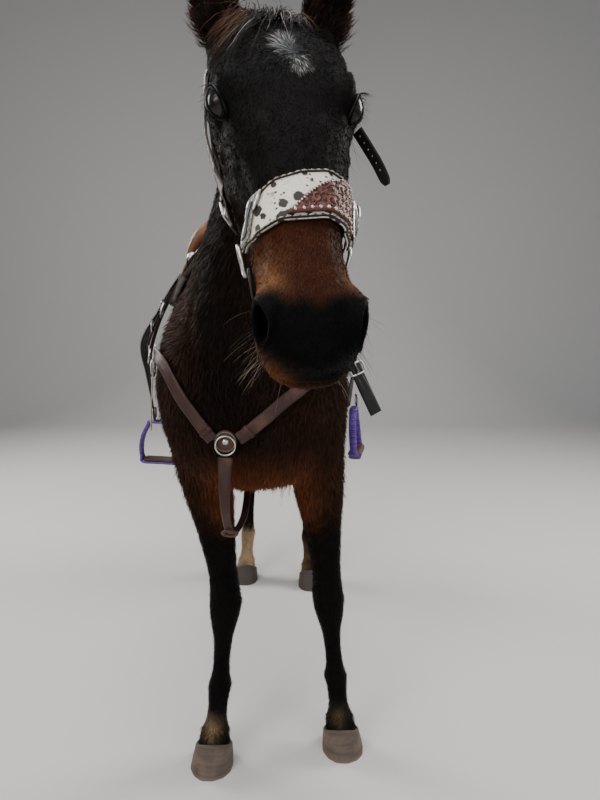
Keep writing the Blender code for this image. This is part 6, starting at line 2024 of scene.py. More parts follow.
def along_line(points, normals, spacing):
    """Places, runs and directions at even steps along a line."""
    lengths = np.concatenate([[0], np.cumsum(np.linalg.norm(np.diff(points, axis=0), axis=1))])
    at = np.arange(spacing / 2, lengths[-1], spacing)
    spots = np.stack([np.interp(at, lengths, points[:, k]) for k in range(3)], -1)
    outs = np.stack([np.interp(at, lengths, normals[:, k]) for k in range(3)], -1)
    runs = np.stack([np.interp(at, lengths, np.gradient(points[:, k])) for k in range(3)], -1)
    return spots, unit(runs), unit(outs)


STITCH = tube([(-0.5, 0, 0), (0, 0, 0.10), (0.5, 0, 0)], [0.07, 0.17, 0.07], 4)
DOME = lofted([[(math.cos(a) * r, math.sin(a) * r, z) for a in np.linspace(0, 2 * math.pi, 11)[:-1]]
               for r, z in ((1.0, -0.15), (1.0, 0.12), (0.78, 0.48), (0.35, 0.70))])


def stitched(points, normals, lift, spacing=0.0052):
    """Thread stitches along a line, lifted off the surface."""
    spots, runs, outs = along_line(points + normals * lift, normals, spacing)
    return copies(STITCH, spots, runs, outs, spacing * 0.74)


def studs(points, normals, lift, spacing, radius):
    """Metal spots along a line."""
    spots, runs, outs = along_line(points + normals * lift, normals, spacing)
    return copies(DOME, spots, runs, outs, radius)


def edge_stitches(places, normals, lift, inset=0.14, spacing=0.0052):
    """Stitches along both long edges of a strap's grid."""
    columns = places.shape[1] - 1
    made = []
    for share in (inset, 1 - inset):
        low = min(int(share * columns), columns - 1)
        part = share * columns - low
        line = places[:, low] * (1 - part) + places[:, low + 1] * part
        made.append(stitched(line, normals[:, low], lift, spacing))
    return joined(made)


def wire_loop(centre, normal, up, shape, wire):
    """A closed wire through points given sideways and upward of a centre, on a smooth curve."""
    normal = unit(normal)
    up = unit(np.asarray(up, float) - normal * (np.asarray(up, float) @ normal))
    side = np.cross(up, normal)
    shape = np.array(shape, float)
    path = between(np.concatenate([shape[-1:], shape, shape[:2]]), 8 * (len(shape) + 2) + 1)[8:-9]
    return tube(centre + path[:, :1] * side + path[:, 1:] * up, wire, 10, normal, round_trip=True)


def ring_wire(centre, normal, radius, wire, tall=1.0):
    """A round ring of wire."""
    turns = np.linspace(0, 2 * math.pi, 17)[:-1]
    shape = [(math.cos(t) * radius, math.sin(t) * radius * tall) for t in turns]
    return wire_loop(centre, normal, UP, shape, wire)


def buckle(centre, normal, run, wide, long, wire=0.0017):
    """A square buckle with its tongue, across a strap that runs along run."""
    half, tall = wide / 2, long / 2
    shape = [(half, -tall * 0.6), (half, tall * 0.6), (half * 0.75, tall), (-half * 0.75, tall),
             (-half, tall * 0.6), (-half, -tall * 0.6), (-half * 0.75, -tall), (half * 0.75, -tall)]
    frame = wire_loop(centre, normal, run, shape, wire)
    run, normal = unit(run), unit(normal)
    tongue = tube(
        [centre - run * tall, centre + normal * 0.002, centre + run * tall], wire * 0.8, 8, facing=normal,
    )
    return frame + tongue


def band(centre, normal, run, wide, long, thick):
    """A keeper: a short loop that goes round a strap."""
    side = unit(np.cross(normal, run))
    steps = np.linspace(-0.5, 0.5, 13)[:, None]
    arch = normal * (thick * (1 - (2 * np.abs(steps)) ** 6))
    rows = [centre + unit(run) * (long * k) + side * (wide * steps) + arch for k in np.linspace(-0.5, 0.5, 4)]
    places = np.array(rows)
    return sheet(places, np.broadcast_to(unit(normal), places.shape), 0.0, 0.0016, 0.2)


def scroll_height(u, v, half):
    """Height from 0 to 1 of a carved scroll: a row of spirals that turn in and out by turns, with leaves.

    Args:
        u, v: places along and across the leather in metres.
        half: half its width.
    """
    pitch = half * 1.15
    number = np.round(u / pitch)
    turn = np.where(number % 2 == 0, 1.0, -1.0)
    du, dv = u - number * pitch, v - turn * half * 0.10
    reach, angle = np.hypot(du, dv), np.arctan2(dv * turn, du)
    spiral = np.sin(angle + reach / (half * 0.085))
    petals = np.sin(angle * 5 - reach / (half * 0.16))
    inner = smoothstep(-0.25, 0.45, spiral) * (reach < half * 0.50)
    outer = smoothstep(-0.30, 0.40, petals) * (reach >= half * 0.50)
    veins = 0.30 * np.sin(angle * 22 + reach / (half * 0.05))
    vine = smoothstep(0.75, 0.25, np.abs(v - half * 0.62 * np.sin(u / pitch * math.pi)) / (half * 0.16))
    return np.clip(np.maximum(inner + outer * (0.85 + veins), vine), 0, 1)


# The noseband: degrees round the nose, its middle along the face, half its width
NOSEBAND = (
    (-104, -75, -46, -22, 0, 38, 62, 104),
    (0.396, 0.402, 0.408, 0.403, 0.398, 0.391, 0.386, 0.386),
    (0.019, 0.021, 0.024, 0.030, 0.034, 0.034, 0.032, 0.022),
)

# The way of each breast strap from the chest ring to the saddle
BREAST_STRAPS = {
    "right": (
        (-0.078, -0.48, 1.012), (-0.111, -0.47, 1.054), (-0.146, -0.46, 1.097), (-0.172, -0.435, 1.140),
        (-0.196, -0.390, 1.176), (-0.230, -0.320, 1.192), (-0.262, -0.250, 1.188), (-0.290, -0.195, 1.176),
    ),
    "left": (
        (-0.020, -0.48, 1.012), (0.035, -0.48, 1.057), (0.082, -0.48, 1.098), (0.130, -0.455, 1.132),
        (0.178, -0.400, 1.158), (0.220, -0.325, 1.174), (0.258, -0.255, 1.180), (0.290, -0.195, 1.176),
    ),
}

# Half a stirrup from the tread's end to the top, in shares of its width and its height
STIRRUP = ((0.44, 0.0), (0.50, 0.10), (0.49, 0.34), (0.40, 0.64), (0.22, 0.94), (0.17, 1.0))
STIRRUP_WIDTH = 0.135

# Each stirrup: side, word, distance from the middle, how much higher it hangs, height, turn in degrees
STIRRUPS = ((-1, "right", 0.297, 0.0, 0.130, -78), (1, "left", 0.324, 0.030, 0.142, 13))


class Tack:
    """Everything the horse wears, piece by piece."""

    def __init__(self, surface):
        self.surface = surface
        self.pieces = []

    def keep(self, name, solid, finish, nodes=(), shields=True):
        """Notes a piece to be added; one that shields lies on the coat."""
        self.pieces.append((name, solid, finish, nodes, shields))

    def add_to(self, model):
        """Builds all groups and adds each piece to the model."""
        groups = (self.noseband, self.straps_of_head, self.saddle, self.rigging, self.stirrups, self.collar)
        for group in groups:
            group()
        for name, solid, finish, nodes, _ in self.pieces:
            model.add(name, solid, finish, nodes, tidy=True)

    def cover(self):
        """A surface of all that lies on the coat, for hairs to keep clear of."""
        whole = joined([Solid(s.verts, s.quads, s.tris) for _, s, _, _, shields in self.pieces if shields])
        surface = Surface(whole.verts, [*whole.quads.tolist(), *whole.tris.tolist()])
        surface.box = whole.verts.min(0), whole.verts.max(0)
        return surface

    def beside(self, side, y, z):
        """The place on the coat met level from one side, and its direction."""
        return self.surface.along_ray((side * 0.9, y, z), (-side, 0, 0))

    def noseband_grid(self, turns, steps):
        """Places on the nose for degrees round it and steps across the band, from -1 above to 1 below."""
        end, rows, columns = NOSEBAND[0][-1], 128, 16
        spots = []
        for degrees in np.linspace(-end, end, 33):
            middle, half = (np.interp(degrees, NOSEBAND[0], row) for row in NOSEBAND[1:])
            turn = math.radians(degrees)
            way = LEFT * math.sin(turn) - DOWN * math.cos(turn)
            spots.append([
                self.surface.along_ray(head_point(middle + half * step, 0.070) + way * 0.25, -way)
                for step in np.linspace(-1, 1, 5)
            ])
        at = (np.clip(turns, -end, end) + end) / (2 * end) * rows
        across = (np.clip(steps, -1, 1) + 1) / 2 * columns
        low, left = np.clip(at.astype(int), 0, rows - 1), np.clip(across.astype(int), 0, columns - 1)
        u, v = (at - low)[..., None], (across - left)[..., None]
        places, normals = (
            grid[low, left] * (1 - u) * (1 - v) + grid[low + 1, left] * u * (1 - v)
            + grid[low, left + 1] * (1 - u) * v + grid[low + 1, left + 1] * u * v
            for grid in fine_grid(spots, rows + 1, columns + 1)
        )
        return places, unit(normals)

    def noseband(self):
        """Cowhide band with a black stitched border, the carved overlay and the silver on both."""
        end = NOSEBAND[0][-1]
        share, steps = np.meshgrid(np.linspace(0, 1, 200), np.linspace(-1, 1, 15), indexing="ij")
        begin = self.band_start(steps)
        places, normals = self.noseband_grid(begin + (end - begin) * share, steps)
        self.keep("noseband_hide", sheet(places, normals, 0.0020, 0.0038, 0.3), "hide", ("noseband",))
        border = []
        for inner, outer in ((-0.84, -1.0), (0.84, 1.0)):
            turns = np.linspace(self.band_start(outer), end, 200)
            turns, steps = np.meshgrid(turns, np.linspace(inner, outer, 7), indexing="ij")
            places, normals = self.noseband_grid(turns, steps)
            border.append(sheet(places, normals, 0.0015, 0.0058, 0.6))
            lace = stitched(places[:, 3], normals[:, 3], 0.0074, 0.0088)
            self.keep(f"noseband_lace_{'low' if outer > 0 else 'high'}", lace, "cord")
        self.keep("noseband_border", joined(border), "black_leather")
        self.overlay()
        self.keep("noseband_silver", joined(self.spots() + self.end_plates()), "silver")

    def overlay(self):
        """The carved overlay on the noseband."""
        share, steps = np.meshgrid(np.linspace(0, 1, 310), np.linspace(-0.80, 0.80, 72), indexing="ij")
        turns = self.overlay_start(steps) + (92 - self.overlay_start(steps)) * share
        places, normals = self.noseband_grid(turns, steps)
        u, v = turns * 0.00125, steps * 0.0330
        rim = np.minimum(np.minimum(share * 32, (1 - share) * 60), (0.80 - np.abs(steps)) * 8.5)
        carved = scroll_height(u, np.abs(v) - 0.0115, 0.0140)
        field = smoothstep(0.9, 1.5, rim)
        height = carved * field + (1 - field) * smoothstep(0.0, 0.5, rim)
        ground = 0.12 * np.sin(u * 5200) * np.sin(v * 5200) * (1 - carved) * field
        thick = 0.0026 + 0.0013 * (height + ground)
        overlay = sheet(places, normals, 0.0072, thick, 0.4, groove=(1 - height) * 0.85)
        self.keep("noseband_tooling", overlay, "tooled", ("noseband_overlay",))

    def spots(self):
        """The silver spots along the overlay's edges."""
        dots = []
        edge = np.linspace(-0.62, 0.66, 60)
        for turn, step, spacing, r in (
            (np.linspace(self.overlay_start(0.70) + 1, 90, 160), np.full(160, 0.70), 0.0098, 0.0023),
            (np.linspace(self.overlay_start(-0.70) + 1, 90, 120), np.full(120, -0.70), 0.0046, 0.0013),
            (self.overlay_start(edge) + 3.0, edge, 0.0046, 0.0013),
        ):
            places, normals = self.noseband_grid(turn, step)
            dots.append(studs(places, normals, 0.0108, spacing, r))
        return dots

    def end_plates(self):
        """The oval silver plates at the noseband's ends, each with a dark inlay."""
        ends = []
        for word, centre, slant, low in (("right", -67, -23, 0.0084), ("left", 86, 6, 0.0108)):
            steps, wide = np.meshgrid(np.linspace(-0.95, 0.95, 33), np.linspace(-1, 1, 15), indexing="ij")
            half = 11.0 * np.sqrt(1 - (steps / 0.955) ** 2) ** 0.35
            turns = centre + slant * steps + half * wide
            chased = 0.0004 * np.sin(wide * 11) * np.sin(steps * 22)
            places, normals = self.noseband_grid(turns, steps)
            ends.append(sheet(places, normals, low, 0.0024 + chased, 0.4, groove=(chased < -0.0001) * 0.8))
            turns = centre + slant * steps * 0.72 + half * wide * 0.55
            places, normals = self.noseband_grid(turns, steps * 0.72)
            inlay = sheet(places, normals, low + 0.0018, 0.0014, 0.4)
            self.keep("end_inlay_" + word, inlay, "black_leather")
        return ends

    @staticmethod
    def band_start(steps):
        """Where the band begins, in degrees round the nose, for steps across it."""
        return -81.5 - 22.5 * steps

    @staticmethod
    def overlay_start(steps):
        """Where the overlay begins, in degrees round the nose, for steps across the band."""
        return 6 - 38 * steps + 9.5 * steps**2

    def strap(self, name, grid, thickness, finish, node, thread="cord", lift=None, **more):
        """A strap with an edge seam; without lift it hangs free, and the grid is in its middle."""
        places, normals = grid
        lift = -thickness / 2 if lift is None else lift
        self.keep(name, sheet(places, normals, lift, thickness), finish, (node,))
        if thread:
            seams = edge_stitches(places, normals, lift + thickness * 0.93, **more)
            self.keep(name + "_seam", seams, thread, shields=False)

    def straps_of_head(self):
        """Cheek, crown and chin straps, their buckles and rings, and the loose end of the halter strap."""
        metal = []
        for side, word in ((-1, "right"), (1, "left")):
            cheek = [(0.384, 0.100, 0.10), (0.330, 0.108, 0.11), (0.240, 0.116, 0.12), (0.150, 0.116, 0.12),
                     (0.075, 0.112, 0.12), (0.030, 0.122, 0.11)]
            path = [head_point(a, d, side * l) for a, d, l in cheek]
            grid = draped(self.surface, path, 0.019, 110, 30)
            self.strap(
                "cheek_" + word, grid, BRIDLE_THICK, "bridle", "cheek_strap_" + word, "wrap", BRIDLE_LIFT,
                inset=0.16, spacing=0.0045,
            )
            line, outs = grid[0][:, MIDDLE], grid[1][:, MIDDLE]
            for row in (14, 100):
                run, out = line[row + 1] - line[row - 1], outs[row]
                metal.append(buckle(line[row] + out * 0.0075, out, run, 0.027, 0.024))
                loop = band(line[row + 7] + out * 0.0040, out, run, 0.023, 0.008, 0.0035)
                self.keep(f"keeper_{word}_{row}", loop, "bridle")
            place, normal = self.surface.near(head_point(0.412, 0.108, side * 0.08))
            ring = ring_wire(place + normal * 0.009, normal, 0.019, 0.0026)
            self.keep("noseband_dee_" + word, ring, "silver", ("noseband_ring_" + word,), shields=False)
        crown = [
            (0.012, 0.124, -0.105), (-0.012, 0.112, -0.085), (-0.024, 0.098, -0.050), (-0.028, 0.088, 0.0),
            (-0.024, 0.098, 0.050), (-0.012, 0.112, 0.085), (0.012, 0.124, 0.105),
        ]
        grid = draped(self.surface, [head_point(*p) for p in crown], 0.021, 90, 8)
        self.strap(
            "crown", grid, BRIDLE_THICK, "bridle", "crown_strap", "wrap", BRIDLE_LIFT, spacing=0.0045,
        )
        half = [(0.438, 0.090, 0.07), (0.462, 0.106, 0.07), (0.474, 0.132, 0.06), (0.478, 0.152, 0.03)]
        chin = [*((a, d, -l) for a, d, l in half), (0.479, 0.155, 0.0), *half[::-1]]
        grid = draped(self.surface, [head_point(*p) for p in chin], 0.016, 90, 10)
        self.strap("chin", grid, BRIDLE_THICK, "black_leather", "chin_strap", None, BRIDLE_LIFT)
        path = [
            (0.196, -0.850, 1.574), (0.211, -0.855, 1.550), (0.227, -0.858, 1.524), (0.242, -0.856, 1.496),
        ]
        widths = [0.018] * 9 + [0.016, 0.008]
        places, normals = ribbon_grid(path, (0.75, -0.60, 0.30), widths, 60)
        self.strap("halter_end", (places, normals), 0.0036, "black_leather", "strap_end", None)
        line, outs = places[4:50:7, MIDDLE], normals[4:50:7, MIDDLE]
        metal += [studs(line, side * outs, 0.0017, 0.0115, 0.0013) for side in (1, -1)]
        self.keep("bridle_metal", joined(metal), "silver", shields=False)

    def back_grid(self, ys, spans, count, columns):
        """A fine grid on the trunk for each y, from one angle over the back to another."""
        rows = []
        for y, span in zip(ys, spans):
            low, high = span if hasattr(span, "__len__") else (-span, span)
            row = []
            for angle in np.radians(np.linspace(low, high, 19)):
                way = np.array([math.sin(angle), 0, math.cos(angle)])
                place, out = self.surface.along_ray(np.array([0, y, 1.30]) + way * 0.8, -way)
                row.append((place, unit(out * (1, 0.15, 1))))
            rows.append(row)
        return fine_grid(rows, count, columns, 4)

    def outline_seam(self, places, normals, lift, inset, spacing, skip_back=False):
        """Stitches along a sheet's four sides, a few rows inside them."""
        i = inset
        inside, last = slice(i, -i), -1 - i
        sides = [(i, inside), (last, inside), (inside, last)]
        if not skip_back:
            sides.append((inside, i))
        return joined([stitched(places[at], normals[at], lift, spacing) for at in sides])

    def saddle(self):
        """Felt pad, skirts, seat, fork, horn and cantle, with the silver of the skirts last."""
        self.pad()
        silver = self.skirts()
        self.seat()
        self.fork()
        self.horn()
        self.cantle()
        self.keep("saddle_silver", joined(silver), "silver", shields=False)

    def pad(self):
        """The felt pad with its bound front and back."""
        ys, spans = np.linspace(-0.170, 0.560, 9), [88, 93, 96, 98, 98, 97, 96, 93, 86]
        places, normals = self.back_grid(ys, spans, 70, 120)
        weave = 0.0006 * np.sin(np.arange(70) * 2.1)[:, None]
        self.keep("pad_felt", sheet(places, normals, 0.0045, 0.0160 + weave, 0.6), "felt", ("saddle_pad",))
        binding = [sheet(places[i:i + 5], normals[i:i + 5], 0.0035, 0.0185, 0.1) for i in (0, 65)]
        self.keep("pad_binding", joined(binding), "black_leather")

    def skirts(self):
        """Skirts with a carved field and strings; returns their conchos and rings."""
        silver, strings = [], []
        for side, word in ((-1, "right"), (1, "left")):
            spans = [(side * 4.0, side * a) for a in (58, 72, 77, 79, 79, 77, 72, 60)]
            ys = np.array([-0.135, -0.115, -0.02, 0.10, 0.22, 0.34, 0.440, 0.470])
            places, normals = self.back_grid(ys, spans, 150, 90)
            u = np.linspace(0, 0.6, 150)[:, None] + np.zeros((1, 90))
            v = np.linspace(0, 0.36, 90)[None, :] + np.zeros((150, 1))
            field = smoothstep(0.255, 0.262, v) * (1 - smoothstep(0.322, 0.328, v))
            field = field * smoothstep(0.03, 0.04, u) * (1 - smoothstep(0.56, 0.57, u))
            cut = field * (1 - scroll_height(u, v - 0.291, 0.033))
            skirt = sheet(places, normals, 0.0250, 0.0070 - 0.0016 * cut, 0.4, cut * 0.8)
            self.keep("skirt_leather_" + word, skirt, "saddle_leather", ("skirt_" + word,))
            seam = self.outline_seam(places, normals, 0.0321, 5, 0.0060, True)
            self.keep("skirt_seam_" + word, seam, "cord", shields=False)
            for row, column in ((12, 62), (34, 40), (112, 44), (138, 62)):
                place, out = places[row, column] + normals[row, column] * 0.0318, normals[row, column]
                silver.append(copies(DOME, [place], np.array([[0, 1.0, 0]]), out[None], 0.0165))
                for fall in (-0.006, 0.006):
                    path = [
                        place + out * 0.010,
                        place + out * 0.018 + (0, fall, -0.03),
                        place + out * 0.012 + (0, fall * 2.2, -0.10),
                        place + out * 0.010 + (side * 0.004, fall * 3, -0.19),
                    ]
                    strings.append(sheet(*ribbon_grid(path, (0, 1, 0), 0.0075, 26, 3), 0, 0.0022, 0.2))
            place, _ = self.beside(side, -0.118, 1.300)
            silver.append(ring_wire(place + (side * 0.038, 0, -0.004), (side, 0, 0.3), 0.020, 0.0030))
        self.keep("saddle_strings", joined(strings), "collar_leather", shields=False)
        return silver

    def seat(self):
        """The seat, which rises to the cantle."""
        ys, spans = np.linspace(0.0078, 0.335, 8), [44, 50, 54, 56, 56, 55, 52, 48]
        places, normals = self.back_grid(ys, spans, 70, 90)
        rise = between(np.array([0.046, 0.036, 0.031, 0.030, 0.032, 0.040, 0.056, 0.078])[:, None], 70)
        across = np.cos(np.linspace(-1, 1, 90) * math.pi / 2)[None, :] ** 0.8
        seat = sheet(places, normals, 0.0355, 0.007 + rise * across, 0.2)
        self.keep("seat_leather", seat, "saddle_leather", ("seat",))
        top = places + normals * (0.0428 + rise * across)[..., None]
        self.keep("seat_seam", self.outline_seam(top, normals, 0.0002, 6, 0.0062), "cord", shields=False)

    def fork(self):
        """The swell in front of the seat."""
        places, normals = self.back_grid([-0.100, -0.085, -0.050, -0.015, 0.006], [48] * 5, 44, 90)
        turn = np.linspace(-1, 1, 90)
        along = between([[0.72], [0.95], [1.0], [0.90], [0.72]], 44)
        swell = (0.044 - 0.012 * turn**2 - 0.014 * turn**6)[None, :] * along
        self.keep("fork_leather", sheet(places, normals, 0.0350, swell, 0.2), "saddle_leather", ("fork",))
        top = places + normals * (0.0353 + swell)[..., None]
        self.keep("fork_seam", self.outline_seam(top, normals, 0.0002, 4, 0.0062), "cord", shields=False)

    def horn(self):
        """The horn: a wound neck and a cap that leans forward."""
        base = self.surface.along_ray((0, -0.050, 2.2), (0, 0, -1))[0]
        rows = [(0.0795, 0.0, 0.031), (0.100, 0.004, 0.020), (0.135, 0.012, 0.016), (0.152, 0.018, 0.019),
                (0.158, 0.020, 0.036), (0.166, 0.023, 0.039), (0.172, 0.026, 0.034), (0.1725, 0.0262, 0.010)]
        turns = np.linspace(0, 2 * math.pi, 40, endpoint=False)
        rings = []
        for up, fore, r in between(rows, 60):
            tilt = 0.25 * smoothstep(0.137, 0.150, up)
            wound = 1 + 0.035 * math.sin(up * 900) * (up < 0.150)
            x, y = np.cos(turns) * r * wound, np.sin(turns) * r * wound
            rings.append(base + np.stack([x, y - fore, up + tilt * np.sin(turns) * r], -1))
        self.keep("horn_leather", lofted(rings).with_value("groove", 0), "saddle_leather", ("horn",))

    def cantle(self):
        """The cantle behind the seat, highest in its middle."""
        rings = []
        for s in np.linspace(-1, 1, 15):
            x, bend = 0.172 * math.sin(s * math.pi / 2), math.cos(s * math.pi / 2)
            y = 0.300 + 0.085 * bend
            low = self.surface.along_ray((x, y, 2.2), (0, 0, -1))[0][2] + 0.051
            high = low + 0.022 + 0.105 * bend**0.7
            lean = 0.42 * (high - low)
            rings.append([(x, y - 0.008, low), (x, y + 0.014, low), (x * 1.03, y + 0.018 + lean, high),
                          (x * 1.03, y + 0.003 + lean, high + 0.011), (x * 1.02, y - 0.012 + lean, high)])
        rings = np.array(rings)
        fine = upsampled(np.concatenate([rings[:, -1:], rings, rings[:, :2]], 1), 80, 57)[:, 8:-9]
        self.keep("cantle_leather", lofted(fine).with_value("groove", 0), "saddle_leather", ("cantle",))

    def rigging(self):
        """Cinch, latigos and cinch rings, and the two straps that hang from the saddle."""
        rows = []
        for degrees in np.linspace(68, 292, 41):
            angle = math.radians(degrees)
            half = 0.030 + 0.035 * min(1.0, (1 - abs(degrees - 180) / 112) * 1.8)
            way = np.array([math.sin(angle), 0, math.cos(angle)])
            rows.append([
                self.surface.along_ray(np.array([0, 0.015 + k * half, 1.10]) + way * 0.7, -way)
                for k in np.linspace(-1, 1, 5)
            ])
        places, normals = fine_grid(rows, 160, 57)
        cords = 0.0016 * np.abs(np.sin(np.linspace(0, 14 * math.pi, 57)))[None, :]
        self.keep("cinch_cords", sheet(places, normals, 0.0048, 0.0072 + cords, 0.3), "felt", ("cinch",))
        for side, word in ((-1, "right"), (1, "left")):
            path = between([(1.370,), (1.300,), (1.240,), (1.180,), (1.150,)], 7)
            latigo = []
            for z in path[:, 0]:
                met, _ = self.beside(side, 0.015, z)
                latigo.append((met[0] + side * 0.0405, 0.015, z))
            grid = ribbon_grid(latigo, (0, 1, 0), 0.040, 60)
            self.strap("latigo_strap_" + word, grid, COLLAR_THICK, "collar_leather", "latigo_" + word)
            x, y, z = latigo[-1]
            ring = ring_wire(np.array([x - side * 0.008, y, z - 0.028]), (side, 0, 0), 0.028, 0.0042)
            self.keep("cinch_dee_" + word, ring, "silver", ("cinch_ring_" + word,), shields=False)
        path = [(-0.272, -0.075, 1.150), (-0.282, -0.080, 1.060), (-0.290, -0.075, 0.945)]
        string = sheet(*ribbon_grid(path, (0, 1, 0), 0.008, 40, 5), -0.0015, 0.003, 0.3)
        self.keep("pale_string", string, "cord", ("saddle_string",))
        path = [(0.284, -0.195, 1.152), (0.312, -0.198, 1.090), (0.345, -0.200, 1.020)]
        grid = ribbon_grid(path, (0.95, 0.30, 0), 0.036, 50)
        self.strap("tie_strap", grid, BRIDLE_THICK, "black_leather", "hanging_strap", None)
        place, normal = grid[0][6, MIDDLE], grid[1][6, MIDDLE]
        metal = [
            buckle(place + normal * 0.005 * k, normal * k, (0.45, -0.15, -1), 0.042, 0.030, 0.0024)
            for k in (-1, 1)
        ]
        self.keep("tie_buckle", joined(metal), "silver", shields=False)

    def stirrups(self):
        """Fenders with their seams and buckles, stirrups wound in purple lacing, and wrapped treads."""
        metal = []
        for side, word, out, drop, tall, degrees in STIRRUPS:
            self.fender(side, word, drop, tall)
            centre = np.array([side * out, 0.060, 0.812 + drop])
            self.stirrup(word, centre, math.radians(degrees), tall)
            place = centre + (side * 0.008, 0, tall + 0.028)
            metal.append(buckle(place, (side, 0, 0), UP, 0.050, 0.030, 0.0026))
        self.keep("stirrup_metal", joined(metal), "silver", shields=False)

    def fender(self, side, word, drop, tall):
        """One fender, from under the skirt to the stirrup's top."""
        path, across = [], []
        for z in (1.400, 1.350, 1.300):
            path.append((side * (abs(self.beside(side, 0.060, z)[0][0]) + 0.0540), 0.060, z))
            across.append((side * 0.10, 1.0, 0.0))
        for z, x, twist in (
            (1.200, 0.326, 0.10), (1.100, 0.319, 0.15), (1.000 + drop, 0.310, 0.26),
            (0.820 + drop + tall, 0.306, 0.30),
        ):
            path.append((side * x, 0.060, z))
            across.append((side * twist, 1.0, 0.0))
        widths = [0.150, 0.156, 0.160, 0.165, 0.150, 0.085, 0.052]
        grid = ribbon_grid(path, between(across, 110) * side, widths, 110, 31)
        name = "fender_leather_" + word
        self.strap(name, grid, 0.0060, "black_leather", "fender_" + word, "wrap", inset=0.07)

    def stirrup(self, word, centre, turn, tall):
        """One stirrup with its lacing and its wrapped tread, turned about the upright."""
        run = np.array([math.sin(turn), math.cos(turn), 0])
        across = np.array([math.cos(turn), -math.sin(turn), 0])
        shape = np.array([(-0.44, 0.0), (0.0, 0.0), *STIRRUP, *((-u, v) for u, v in STIRRUP[:0:-1])])
        loop = between(np.concatenate([shape[-1:], shape, shape[:2]]), 16 * 24 + 1)[24:-25 - 23]
        loop = centre + loop[:, :1] * STIRRUP_WIDTH * run + loop[:, 1:] * np.array([0, 0, tall])
        runs = unit(np.roll(loop, -1, 0) - np.roll(loop, 1, 0))
        inner = unit(np.cross(across, runs))
        wound = np.arange(len(loop)) * 1.15
        ridge = 0.0010 * np.abs(np.sin(wound))
        angle = np.linspace(0, 2 * math.pi, 16, endpoint=False)
        wide = np.sign(np.cos(angle)) * np.abs(np.cos(angle)) ** 0.7
        deep = np.sign(np.sin(angle)) * np.abs(np.sin(angle)) ** 0.8
        foot = 1 - smoothstep(0.006, 0.020, loop[:, 2] - centre[2])
        half = (0.0108 + 0.0075 * foot + ridge)[:, None]
        thick = 0.0052 + ridge[:, None]
        outline = (wide * half)[..., None] * across + (deep * thick)[..., None] * inner[:, None]
        body = lofted(loop[:, None] + outline, round_trip=True)
        cut = np.repeat((np.abs(np.sin(wound)) < 0.35) * 1.0, len(angle))
        body.values["groove"] = np.repeat(cut[:, None], 4, 1)
        self.keep("stirrup_lacing_" + word, body, "purple", ("stirrup_" + word,))
        pad = [centre + run * u + np.array([0, 0, 0.0100]) for u in (-0.055, 0.0, 0.055)]
        places, normals = ribbon_grid(pad, across, 0.040, 90)
        wraps = 0.0012 * np.abs(np.sin(np.arange(90) * 0.62))[:, None]
        tread = sheet(places, normals * np.sign(normals[0, 0, 2]), -0.0044, 0.0084 + wraps)
        self.keep("tread_wrap_" + word, tread, "wrap", ("tread_" + word,))

    def collar(self):
        """Breast collar: chest ring on its pad, two straps to the saddle and one between the forelegs."""
        centre, concho = self.chest()
        metal = [concho]
        for side, word in ((-1, "right"), (1, "left")):
            metal += self.breast_strap(side, word)
        metal.append(self.down_strap(centre))
        self.keep("collar_metal", joined(metal), "silver", shields=False)

    def chest(self):
        """The chest ring and its round pad; returns their middle and the concho on it."""
        centre, normal = self.surface.near((-0.049, -0.560, 0.990))
        normal = unit(normal * (1, 1, 0.3))
        ring = ring_wire(centre + normal * 0.0142 - UP * 0.008, normal, 0.0225, 0.0020)
        self.keep("chest_dee", ring, "silver", ("chest_ring",))
        up = unit(UP - normal * normal[2])
        side_way = np.cross(up, normal)
        angle = np.linspace(0, 2 * math.pi, 40, endpoint=False)
        disc = np.cos(angle)[:, None] * side_way + np.sin(angle)[:, None] * up
        profile = ((0.0015, 0.023), (0.0035, 0.026), (0.0085, 0.026), (0.0098, 0.024), (0.0098, 0.010))
        rings = [centre + normal * rise + disc * r for rise, r in profile]
        self.keep("chest_leather", lofted(rings).with_value("groove", 0), "collar_leather", ("chest_pad",))
        ring = centre + normal * 0.0096 + disc * 0.0225
        closed = np.concatenate([ring, ring[:1]])
        seam = stitched(closed, np.broadcast_to(normal, closed.shape), 0.0005)
        self.keep("chest_seam", seam, "cord", shields=False)
        return centre, copies(DOME, [centre + normal * 0.0100], up[None], normal[None], 0.0085)

    def breast_strap(self, side, word):
        """One breast strap and the ring and strap that hold it to the saddle; returns their buckles."""
        grid = draped(self.surface, BREAST_STRAPS[word], 0.030, 130, 24)
        self.strap(
            "breast_leather_" + word, grid, COLLAR_THICK, "collar_leather", "breast_strap_" + word,
            "wrap", 0.0050,
        )
        keeper, clasp = 9, 106
        line, outs = grid[0][:, MIDDLE], grid[1][:, MIDDLE]
        runs = line[2:] - line[:-2]
        spot, out = line[keeper] + outs[keeper] * 0.0055, outs[keeper]
        loop = band(spot, out, runs[keeper - 1], 0.035, 0.010, 0.0055)
        self.keep("collar_keeper_" + word, loop, "collar_leather", shields=False)
        spot, out = line[clasp] + outs[clasp] * 0.0100, outs[clasp]
        metal = [buckle(spot, out, runs[clasp - 1], 0.042, 0.032, 0.0024)]
        place, out = self.surface.near((side * 0.30, -0.150, 1.176))
        ring = ring_wire(place + out * 0.027, out, 0.018, 0.0030)
        self.keep("saddle_dee_" + word, ring, "silver", ("saddle_ring_" + word,), shields=False)
        hanger = [
            self.beside(side, y, z)[0] + (side * 0.0385, 0, 0)
            for y, z in between([(-0.105, 1.345), (-0.120, 1.290), (-0.135, 1.235), (-0.145, 1.200)], 7)
        ]
        grid = ribbon_grid(hanger, (0, 1, 0.2), 0.028, 60)
        self.strap("dee_strap_" + word, grid, COLLAR_THICK, "black_leather", "ring_strap_" + word)
        for row in (14, 34):
            spot = grid[0][row, MIDDLE] + (side * 0.0045, 0, 0)
